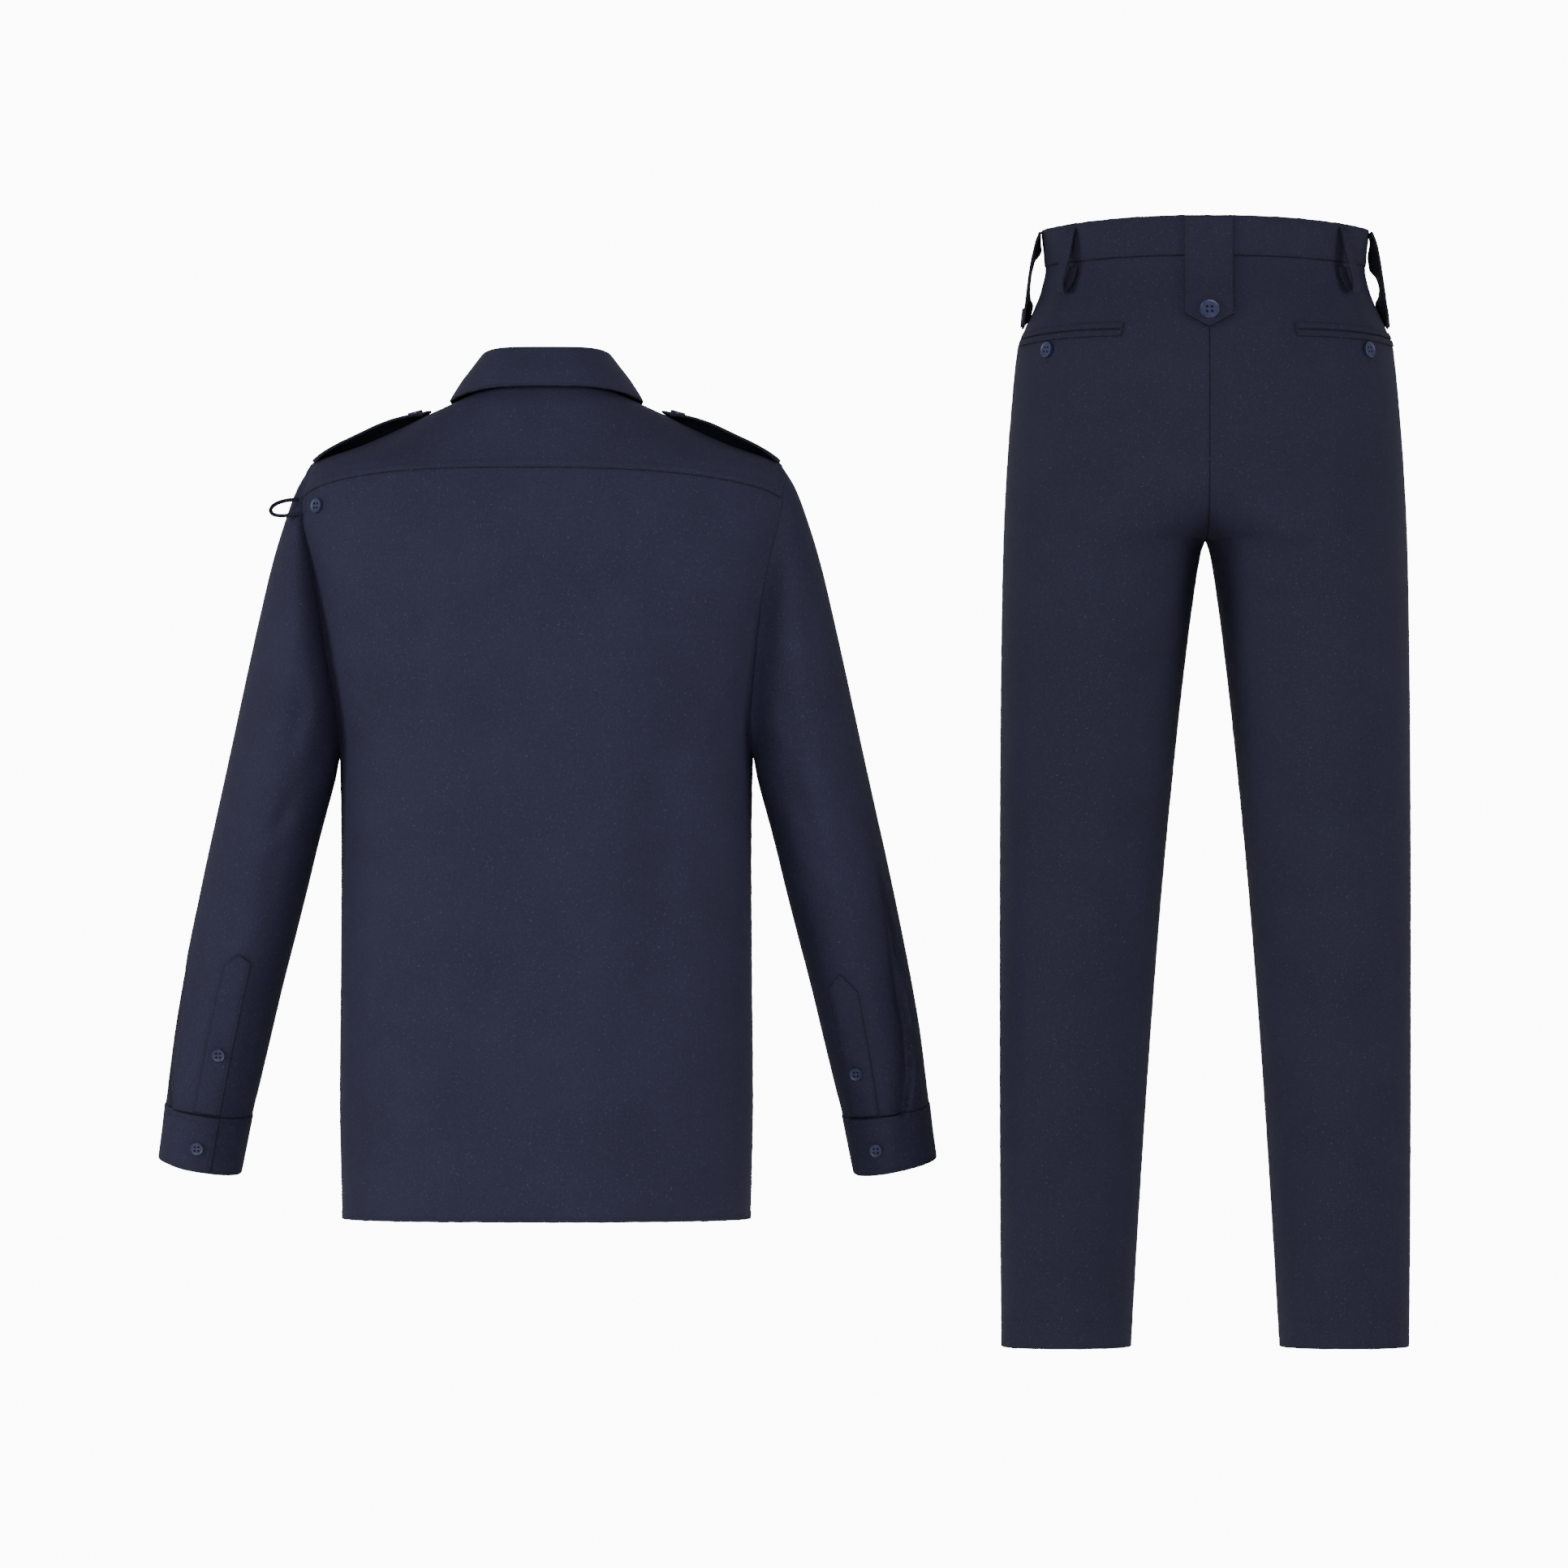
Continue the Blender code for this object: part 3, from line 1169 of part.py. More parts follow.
def main():
    """Clear the scene and build both garments."""
    for old in list(bpy.data.objects):
        bpy.data.objects.remove(old)
    collection = bpy.data.collections.new("flame_resistant_uniform")
    bpy.context.scene.collection.children.link(collection)
    build_shirt()
    build_trousers()


main()
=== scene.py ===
"""A long-sleeved uniform shirt and its trousers, dressed: cloth with folds, seams, stitches and buttons.

Sizes are in millimetres until a mesh is made. The origin is the middle of the shirt's shoulders at the
base of its collar, +X is the wearer's right, +Y the wearer's front and +Z up.
"""

import logging
import math
from collections.abc import Callable, Sequence
from dataclasses import dataclass, field
from enum import Enum

import bpy
import numpy as np
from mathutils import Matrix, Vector


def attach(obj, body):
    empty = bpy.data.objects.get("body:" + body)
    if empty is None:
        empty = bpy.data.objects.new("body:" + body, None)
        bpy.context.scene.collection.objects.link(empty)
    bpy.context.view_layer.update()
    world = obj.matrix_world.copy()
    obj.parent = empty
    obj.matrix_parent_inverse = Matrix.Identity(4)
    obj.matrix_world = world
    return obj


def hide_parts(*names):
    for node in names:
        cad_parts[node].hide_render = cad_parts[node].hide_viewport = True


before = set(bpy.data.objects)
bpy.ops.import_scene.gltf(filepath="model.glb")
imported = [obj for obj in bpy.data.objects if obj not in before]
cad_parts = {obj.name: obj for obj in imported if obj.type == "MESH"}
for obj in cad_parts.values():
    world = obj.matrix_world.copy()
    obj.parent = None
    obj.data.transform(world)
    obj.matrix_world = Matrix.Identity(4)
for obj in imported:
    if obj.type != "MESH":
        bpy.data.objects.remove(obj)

LOG = logging.getLogger("uniform")
MM = 0.001
SEAM_GAP = 0.3
SEAM_LAP = 0.08
EDGE_STEPS = (0.0, 0.35, 0.8, 1.5, 2.4, 3.4, 4.4, 5.6, 7.0, 8.6, 10.6, 13.2)
LEAST_FLAT = 0.01
LEAST_AREA = 0.31
HOLE_HALF = 0.9

Array = np.ndarray
Patch = Callable[[Array, Array], Array]
Point = tuple[float, float, float]
Colour = tuple[float, float, float]
Socket = bpy.types.NodeSocket


class Side(Enum):
    """The wearer's sides, by the sign of X."""

    LEFT = -1
    RIGHT = 1

    @property
    def word(self) -> str:
        """The side's name as the nodes spell it."""
        return self.name.lower()


class Facing(Enum):
    """Which way a crease's cloth looks."""

    BACK = -1
    FRONT = 1
    ROUND = 0


class Edge(Enum):
    """The four edges of a panel's grid."""

    FIRST_ROW = "first_row"
    LAST_ROW = "last_row"
    FIRST_COLUMN = "first_column"
    LAST_COLUMN = "last_column"


ROWS = (Edge.FIRST_ROW, Edge.LAST_ROW)
COLUMNS = (Edge.FIRST_COLUMN, Edge.LAST_COLUMN)
FREE_EDGES = (*COLUMNS, Edge.LAST_ROW)


class Held(Enum):
    """How a panel's cloth is held."""

    HUNG = "hung"
    LAID = "laid"
    FOLDED = "folded"


def blend(low: Array | float, high: Array | float, share: Array | float) -> Array | float:
    """The value that lies a share of the way between two."""
    return low + (high - low) * share


def ease(share: Array) -> Array:
    """A share held between 0 and 1 that starts and ends gently."""
    held = np.clip(share, 0.0, 1.0)
    return held * held * (3.0 - 2.0 * held)


def powered(value: Array, squareness: float) -> Array:
    """Sine or cosine of a squared-off oval."""
    return np.sign(value) * np.abs(value) ** (2.0 / squareness)


def unit(vectors: Array) -> Array:
    """The vectors made one long."""
    return vectors / np.maximum(np.linalg.norm(vectors, axis=-1, keepdims=True), 1e-9)


def lengths_along(points: Array) -> Array:
    """The length of a line up to each of its points."""
    return np.concatenate(([0.0], np.cumsum(np.linalg.norm(np.diff(points, axis=0), axis=1))))


def linked(name: str, data: bpy.types.ID) -> bpy.types.Object:
    """A new object of some data, put in the scene.

    Args:
        name: Its name.
        data: A mesh, lamp or camera.

    Returns:
        The object.
    """
    made = bpy.data.objects.new(name, data)
    bpy.context.scene.collection.objects.link(made)
    return made


def stacked(x: Array, y: Array, z: Array) -> Array:
    """Points from their coordinates."""
    return np.stack(np.broadcast_arrays(x, y, z), axis=-1)


class Curve:
    """A monotone cubic reading of values at rising keys."""

    def __init__(self, keys: Sequence[float], values: Sequence[float]) -> None:
        """Keep the table and its slopes.

        Args:
            keys: Rising keys.
            values: The value at each key.
        """
        self.keys = np.array(keys, dtype=float)
        self.values = np.array(values, dtype=float)
        steps = np.diff(self.values) / np.diff(self.keys)
        slopes = np.empty_like(self.values)
        slopes[0], slopes[-1] = steps[0], steps[-1]
        before, after = steps[:-1], steps[1:]
        product = before * after
        total = np.where(np.abs(before + after) > 1e-12, before + after, 1.0)
        slopes[1:-1] = np.where(product > 0.0, 2.0 * product / total, 0.0)
        self.slopes = slopes

    def __call__(self, at: Array | float) -> Array:
        """Read the curve.

        Args:
            at: Where to read it.

        Returns:
            The values there.
        """
        at = np.clip(np.asarray(at, dtype=float), self.keys[0], self.keys[-1])
        low = np.clip(np.searchsorted(self.keys, at, side="right") - 1, 0, len(self.keys) - 2)
        width = self.keys[low + 1] - self.keys[low]
        t = (at - self.keys[low]) / width
        rise = self.values[low + 1] - self.values[low]
        start, end = self.slopes[low] * width, self.slopes[low + 1] * width
        bend = 3.0 * rise - 2.0 * start - end + t * (start + end - 2.0 * rise)
        return self.values[low] + t * (start + t * bend)


def curves_of(rows: tuple[tuple[float, ...], ...]) -> list[Curve]:
    """A curve for each column of a table, read by the number of its row."""
    return [Curve(range(len(rows)), column) for column in zip(*rows)]


class Oval:
    """Level sections of a garment: squared-off ovals that change with height."""

    def __init__(self, rows: tuple[tuple[float, ...], ...], squareness: float) -> None:
        """Read the table.

        Args:
            rows: Level, height behind, height in front, half width, depth behind, depth in front.
            squareness: How squared off the ovals are.
        """
        columns = list(zip(*rows))
        self.squareness = squareness
        curves = [Curve(columns[0], column) for column in columns[1:]]
        self.back_z, self.front_z, self.half_width, self.back_depth, self.front_depth = curves
        self.level_of_back_z = Curve(columns[1], columns[0])
        self.level_of_front_z = Curve(columns[2], columns[0])

    def reach(self, angle: Array, level: Array) -> tuple[Array, Array, Array]:
        """The y, z and the squared sine of places round a level.

        Args:
            angle: Degrees, 0 behind, 90 at the side, 180 in front.
            level: Height at the side.

        Returns:
            Y, z and the powered sine.
        """
        turn = np.radians(angle)
        sine, cosine = np.sin(turn), np.cos(turn)
        behind = cosine > 0.0
        depth = np.where(behind, self.back_depth(level), self.front_depth(level))
        end_z = np.where(behind, self.back_z(level), self.front_z(level))
        z = level + (end_z - level) * cosine**2
        return -depth * powered(cosine, self.squareness), z, powered(sine, self.squareness)

    def angle_at(self, x: Array, level: Array) -> Array:
        """How far round from the middle line a level is x wide."""
        share = np.minimum(np.abs(x) / self.half_width(level), 1.0)
        return np.degrees(np.arcsin(share ** (self.squareness / 2.0)))


@dataclass(frozen=True)
class Crease:
    """A soft ridge or trough along a line seen from behind or in front, with a fainter hollow beside it."""

    path: tuple[tuple[float, float], ...]
    width: float
    height: float
    facing: Facing = Facing.BACK
    hollow: float = 0.45
    gain: float = 1.6

    def locate(self, points: Array) -> tuple[Array, Array, Array]:
        """Where points lie beside the line, as seen from behind.

        Args:
            points: Places on the garment.

        Returns:
            Signed distance from the line, share of its length, and distance past its end.
        """
        flat = points[..., (0, 2)]
        nearest = np.full(flat.shape[:-1], np.inf)
        signed = np.zeros_like(nearest)
        along = np.zeros_like(nearest)
        past = np.zeros_like(nearest)
        corners = np.array(self.path)
        lengths = np.linalg.norm(np.diff(corners, axis=0), axis=1)
        passed = 0.0
        for start, end, length in zip(corners, corners[1:], lengths):
            run = (end - start) / length
            off = flat - start
            t = np.clip(off @ run, 0.0, length)
            gap = np.linalg.norm(off - t[..., None] * run, axis=-1)
            closer = gap < nearest
            across = off[..., 0] * run[1] - off[..., 1] * run[0]
            signed = np.where(closer, np.copysign(gap, across), signed)
            along = np.where(closer, (passed + t) / lengths.sum(), along)
            past = np.where(closer, off @ run - t, past)
            nearest = np.where(closer, gap, nearest)
            passed += length
        return signed, along, past

    def seen(self, normals: Array) -> Array | float:
        """How much of the crease is on cloth that faces this way."""
        return 1.0 if self.facing is Facing.ROUND else ease(normals[..., 1] * self.facing.value * self.gain)

    def rise(self, points: Array, normals: Array) -> Array:
        """How far the crease lifts the cloth at points."""
        return self.height * self.profile(*self.locate(points)) * self.seen(normals)

    def profile(self, signed: Array, along: Array, past: Array) -> Array:
        """The crease's section, as a share of its height.

        Args:
            signed: Distance from the line, negative on the +X side of a line that runs down.
            along: Share of the line's length.
            past: How far past the line's end.

        Returns:
            The share.
        """
        reach = signed / self.width
        taper = np.sin(np.pi * np.clip(along * 0.96 + 0.02, 0.0, 1.0)) ** 0.8
        return (np.exp(-reach * reach) - self.hollow * np.exp(-((reach - 1.7) ** 2))) * taper


@dataclass(frozen=True)
class Tuck(Crease):
    """A pleat's edge: cloth that rises softly to a fold on its +X side, and dips under it on the other."""

    gain: float = 5.0
    dip: float = 3.0
    mouth: float = 8.0

    def profile(self, signed: Array, along: Array, past: Array) -> Array:
        """The pleat's section, as a share of its height.

        Args:
            signed: Distance from the line, negative on the +X side of a line that runs down.
            along: Share of the line's length.
            past: How far past the line's end.

        Returns:
            The share.
        """
        upper = np.exp(-((signed / self.width) ** 2))
        lower = -self.dip * np.exp(-((signed / self.mouth) ** 2))
        return blend(lower, upper, ease(0.5 - signed / 2.4)) * self.fade(along, past)

    @staticmethod
    def fade(along: Array, past: Array) -> Array:
        """How open the pleat is: shut at its upper end, open at the seam."""
        return ease(along / 0.6) * np.exp(-((np.maximum(past, 0.0) / 2.0) ** 2))

    def gloom(self, points: Array, normals: Array) -> Array:
        """How much shade is painted into the pleat's mouth under its fold.

        Args:
            points: Places on the garment.
            normals: Outward directions there.

        Returns:
            Share from 0 to 1.
        """
        signed, along, past = self.locate(points)
        near = np.exp(-(((signed - 1.2) / 2.6) ** 2))
        ending = ease(along / 0.3) * np.exp(-((np.maximum(past, 0.0) / 2.0) ** 2))
        return near * ending * self.seen(normals)


class Surface:
    """A garment's outside as a function of two numbers, with its creases laid on it."""

    creases: tuple[Crease, ...] = ()
    step: tuple[float, float] = (0.6, 0.6)

    def base(self, first: Array, second: Array) -> Array:
        """The smooth outside, which each garment gives."""
        raise NotImplementedError

    def base_normal(self, first: Array, second: Array) -> Array:
        """The outward direction of the smooth outside.

        Args:
            first: The number that runs round it.
            second: The number that runs along it.

        Returns:
            Unit vectors.
        """
        across = self.base(first + self.step[0], second) - self.base(first - self.step[0], second)
        along = self.base(first, second + self.step[1]) - self.base(first, second - self.step[1])
        return unit(np.cross(across, along))

    def point(self, first: Array, second: Array, lift: Array | float = 0.0) -> Array:
        """A place on the creased outside, moved out by lift.

        Args:
            first: The number that runs round it.
            second: The number that runs along it.
            lift: Millimetres outwards.

        Returns:
            Points.
        """
        first, second = np.broadcast_arrays(np.asarray(first, float), np.asarray(second, float))
        points = self.base(first, second)
        normals = self.base_normal(first, second)
        total = np.zeros(points.shape[:-1]) + lift
        for crease in self.creases:
            total = total + crease.rise(points, normals)
        return points + normals * total[..., None]


@dataclass
class Panel:
    """A sewn piece of cloth: a grid of points on its outer face, drawn into a thin closed wall."""

    name: str
    points: Array
    thickness: float
    core: Point | None = None
    ring: bool = False
    rise: Array = field(init=False)
    normals: Array = field(init=False)
    face: Array = field(init=False)
    # Shade painted into the cloth's colour, from 0 to 1, in the pleats' mouths.
    gloom: Array = field(init=False)
    sign: float = field(init=False, default=1.0)

    def __post_init__(self) -> None:
        """Start with no rise, and find which way is out."""
        self.rise = np.zeros(self.points.shape[:2])
        self.gloom = np.zeros(self.points.shape[:2])
        normals = self.grid_normals()
        if self.core is None:
            away = self.points - self.points.mean(axis=1, keepdims=True)
        else:
            away = self.points - np.array(self.core)
        self.sign = 1.0 if float((normals * away).sum()) > 0.0 else -1.0
        self.normals = normals * self.sign
        self.face = self.points

    @staticmethod
    def cut(
        name: str,
        patch: Patch,
        thickness: float,
        pitch: float,
        core: Point | None = None,
        ring: bool = False,
        middle: tuple[float, float] = (0.5, 0.5),
    ) -> "Panel":
        """Lay a grid over a patch, closer near its edges.

        Args:
            name: The piece's name.
            patch: Gives points from a share across and a share along.
            thickness: Of the cloth.
            pitch: Distance between the grid's lines.
            core: A point that the face looks away from, or none for a tube.
            ring: Whether the last column joins the first.
            middle: The shares at which lengths are measured.

        Returns:
            The panel.
        """
        dense = np.linspace(0.0, 1.0, 1201)
        row = patch(dense, np.full_like(dense, middle[1]))
        column = patch(np.full_like(dense, middle[0]), dense)
        across = Panel.shares(row, pitch, not ring)
        along = Panel.shares(column, pitch, True)
        if ring:
            across = across[:-1]
        columns, rows = np.meshgrid(across, along)
        return Panel(name, patch(columns, rows), thickness, core, ring)

    @staticmethod
    def shares(line: Array, pitch: float, closer: bool) -> Array:
        """Shares along a line whose points lie a pitch apart.

        Args:
            line: Points at evenly spaced shares.
            pitch: Wanted distance.
            closer: Whether they lie closer at its ends.

        Returns:
            Rising shares from 0 to 1.
        """
        passed = lengths_along(line)
        length = passed[-1]
        scale = min(1.0, 0.4 * length / EDGE_STEPS[-1])
        low = np.array(EDGE_STEPS) * scale if closer else np.zeros(1)
        high = (length - low)[::-1]
        count = max(int(round((high[0] - low[-1]) / pitch)), 1)
        places = np.concatenate((low, np.linspace(low[-1], high[0], count + 1)[1:-1], high))
        return np.interp(places, passed, np.linspace(0.0, 1.0, len(line)))

    def grid_normals(self) -> Array:
        """The unsigned normals of the grid as it is.

        Returns:
            Unit vectors.
        """
        if self.ring:
            wrapped = np.concatenate((self.points[:, -1:], self.points, self.points[:, :1]), axis=1)
            across = wrapped[:, 2:] - wrapped[:, :-2]
        else:
            across = np.gradient(self.points, axis=1)
        along = np.gradient(self.points, axis=0)
        return unit(np.cross(across, along))

    def distance(self, edge: Edge) -> Array:
        """How far each point of the grid lies from an edge, along its row or column.

        Args:
            edge: The edge.

        Returns:
            Millimetres.
        """
        axis = 0 if edge in ROWS else 1
        steps = np.linalg.norm(np.diff(self.points, axis=axis), axis=-1)
        start = np.zeros_like(steps[:1]) if axis == 0 else np.zeros_like(steps[:, :1])
        passed = np.concatenate((start, np.cumsum(steps, axis=axis)), axis=axis)
        if edge in (Edge.FIRST_ROW, Edge.FIRST_COLUMN):
            return passed
        total = passed[-1:] if axis == 0 else passed[:, -1:]
        return total - passed

    def meet(self, *edges: Edge) -> "Panel":
        """Let edges pass their neighbours by a hair, so that no light shows through a seam.

        Args:
            edges: The edges that meet another panel.

        Returns:
            The panel.
        """
        for edge in edges:
            grid = self.points if edge in ROWS else self.points.swapaxes(0, 1)
            here, there = (0, 1) if edge in (Edge.FIRST_ROW, Edge.FIRST_COLUMN) else (-1, -2)
            grid[here] -= unit(grid[there] - grid[here]) * SEAM_LAP
        return self

    def welt(self, edge: Edge, width: float, height: float) -> "Panel":
        """Raise the cloth beside an edge, where its allowance is folded under."""
        self.rise += height * ease((width - self.distance(edge)) / 2.4 + 0.5)
        return self

    def groove(self, edge: Edge, away: float, depth: float, width: float = 1.1) -> "Panel":
        """Press the cloth in along a row of stitches."""
        self.rise -= depth * np.exp(-(((self.distance(edge) - away) / width) ** 2))
        return self

    def pucker(self, edge: Edge, amount: float, reach: float, wave: float, phase: float) -> "Panel":
        """Ripple the cloth where an edge's stitches draw it up, unevenly.

        Args:
            edge: The edge.
            amount: Height of the ripples.
            reach: How far they run from the edge.
            wave: Their length along the edge.
            phase: Makes two edges differ.

        Returns:
            The panel.
        """
        off = self.distance(edge)
        across = Edge.FIRST_COLUMN if edge in ROWS else Edge.FIRST_ROW
        place = self.distance(across) * (2.0 * math.pi / wave) + phase
        ripple = 0.5 * np.sin(place) + 0.32 * np.sin(place * 1.71 + 1.3)
        ripple = ripple + 0.28 * np.sin(place * 0.43 + phase)
        spread = 0.75 + 0.45 * np.sin(place * 0.19 + 2.0 * phase)
        self.rise += amount * ripple * np.exp(-off / (reach * spread)) * ease(off / 1.5 + 0.3)
        return self

    def settle(self) -> "Panel":
        """Move the grid by its rise, and keep its final face and normals.

        Returns:
            The panel.
        """
        self.points = self.points + self.normals * self.rise[..., None]
        self.normals = self.grid_normals() * self.sign
        roll = np.zeros(self.points.shape[:2])
        for edge in Edge:
            if self.ring and edge in COLUMNS:
                continue
            near = np.clip(1.0 - self.distance(edge) / (self.thickness * 0.75), 0.0, 1.0)
            roll = np.maximum(roll, 1.0 - np.sqrt(1.0 - near * near))
        self.face = self.points - self.normals * (roll * self.thickness * 0.42)[..., None]
        return self

    def line(
        self,
        edge: Edge,
        away: float,
        begin: float = 0.0,
        end: float = 1.0,
        both: float = 0.0,
    ) -> "Line":
        """A line on the face that keeps a distance from an edge.

        Args:
            edge: The edge.
            away: The distance.
            begin: Share along the edge where the line begins.
            end: Share along the edge where it ends.
            both: Millimetres left free at each end.

        Returns:
            The line.
        """
        off = self.distance(edge)
        if edge in ROWS:
            grids = [grid.swapaxes(0, 1) for grid in (self.face, self.normals)]
            off = off.T
        else:
            grids = [self.face, self.normals]
        if edge in (Edge.LAST_ROW, Edge.LAST_COLUMN):
            grids = [grid[:, ::-1] for grid in grids]
            off = off[:, ::-1]
        if self.ring:
            grids = [np.concatenate((grid, grid[:1])) for grid in grids]
            off = np.concatenate((off, off[:1]))
        found = []
        for grid in grids:
            rows = [[np.interp(away, at, row[:, axis]) for axis in range(3)] for at, row in zip(off, grid)]
            found.append(np.array(rows))
        return Line(found[0], unit(found[1])).between(begin, end, both)

    def area(self) -> float:
        """The face's area in square metres.

        Returns:
            The area.
        """
        points = self.face * MM
        if self.ring:
            points = np.concatenate((points, points[:, :1]), axis=1)
        first = np.cross(points[1:, 1:] - points[:-1, :-1], points[1:, :-1] - points[:-1, 1:])
        return float(np.linalg.norm(first, axis=-1).sum() / 2.0)

    def cut_size(self) -> tuple[float, float]:
        """The width and length of the flat cut in metres, all round on a tube.

        Returns:
            Width and length.
        """
        across = self.distance(Edge.FIRST_COLUMN)[:, -1].max()
        if self.ring:
            across += np.linalg.norm(self.points[:, 0] - self.points[:, -1], axis=-1).max()
        along = self.distance(Edge.FIRST_ROW)[-1].max()
        return max(float(across) * MM, LEAST_FLAT), max(float(along) * MM, LEAST_FLAT)

    def build(self) -> bpy.types.Object:
        """Make the closed wall, with a map along the cloth's grain and painted shade along its edges and in
        its pleats' mouths.

        Returns:
            The object.
        """
        rows, columns = self.points.shape[:2]
        count = rows * columns
        lining = self.points - self.normals * self.thickness
        numbers = np.arange(count).reshape(rows, columns)
        across, along = self.distance(Edge.FIRST_COLUMN), self.distance(Edge.FIRST_ROW)
        middle_row, middle_column = along[:, columns // 2], across[rows // 2]
        if self.ring:
            numbers = np.concatenate((numbers, numbers[:, :1]), axis=1)
            last = np.linalg.norm(self.points[rows // 2, 0] - self.points[rows // 2, -1])
            middle_column = np.append(middle_column, middle_column[-1] + last)
        a, b = numbers[:-1, :-1].ravel(), numbers[:-1, 1:].ravel()
        c, d = numbers[1:, 1:].ravel(), numbers[1:, :-1].ravel()
        quads = [np.stack((a, b, c, d), axis=1), np.stack((d, c, b, a), axis=1) + count]
        low, high = numbers[0], numbers[-1]
        quads.append(np.stack((low[1:], low[:-1], low[:-1] + count, low[1:] + count), axis=1))
        quads.append(np.stack((high[:-1], high[1:], high[1:] + count, high[:-1] + count), axis=1))
        if not self.ring:
            low, high = numbers[:, 0], numbers[:, -1]
            quads.append(np.stack((low[:-1], low[1:], low[1:] + count, low[:-1] + count), axis=1))
            quads.append(np.stack((high[1:], high[:-1], high[:-1] + count, high[1:] + count), axis=1))
        faces = np.concatenate(quads)
        if self.sign < 0.0:
            faces = faces[:, ::-1]
        places = np.concatenate((self.face.reshape(-1, 3), lining.reshape(-1, 3))) * MM
        mesh = bpy.data.meshes.new(self.name)
        mesh.from_pydata(places.tolist(), [], faces.tolist())
        grain_u, grain_v = np.meshgrid(middle_column, middle_row)
        grain = np.stack((grain_u, grain_v), axis=-1)
        outer = np.stack((grain[:-1, :-1], grain[:-1, 1:], grain[1:, 1:], grain[1:, :-1]), axis=2)
        outer = outer.reshape(-1, 4, 2)
        rim = grain[:, :columns].reshape(-1, 2)[faces[2 * len(outer):] % count]
        skins = np.concatenate((outer, outer[:, ::-1]))
        if self.sign < 0.0:
            skins = skins[:, ::-1]
        uv = np.concatenate((skins, rim)) * MM
        mesh.uv_layers.new(name="grain").data.foreach_set("uv", uv.ravel())
        # The edge attribute is painted shade: it darkens the cloth within a few millimetres of every edge
        # and in the pleats' mouths.
        near = self.gloom
        for edge in Edge:
            if not (self.ring and edge in COLUMNS):
                near = np.maximum(near, np.exp(-self.distance(edge) / 0.7))
        painted_shade_mark = mesh.attributes.new("edge", "FLOAT", "POINT")
        painted_shade_mark.data.foreach_set("value", np.concatenate((near.ravel(), near.ravel())))
        mesh.shade_smooth()
        made = linked(self.name, mesh)
        mesh.set_sharp_from_angle(angle=math.radians(62.0))
        return made


@dataclass
class Line:
    """A line on a panel's face with the face's normals."""

    points: Array
    normals: Array

    def between(self, begin: float, end: float, both: float = 0.0) -> "Line":
        """The part of the line between two shares of its length.

        Args:
            begin: First share.
            end: Last share.
            both: Millimetres left free at each end.

        Returns:
            The shorter line.
        """
        passed = lengths_along(self.points)
        length = passed[-1]
        places = np.linspace(begin * length + both, end * length - both, max(int(length / 2.0), 3))
        return self.at(places, passed)

    def at(self, places: Array, passed: Array) -> "Line":
        """The line read at lengths along it.

        Args:
            places: Lengths wanted.
            passed: Length up to each of its points.

        Returns:
            The line through those places.
        """
        points = np.stack([np.interp(places, passed, self.points[:, axis]) for axis in range(3)], axis=-1)
        normals = np.stack([np.interp(places, passed, self.normals[:, axis]) for axis in range(3)], axis=-1)
        return Line(points, unit(normals))


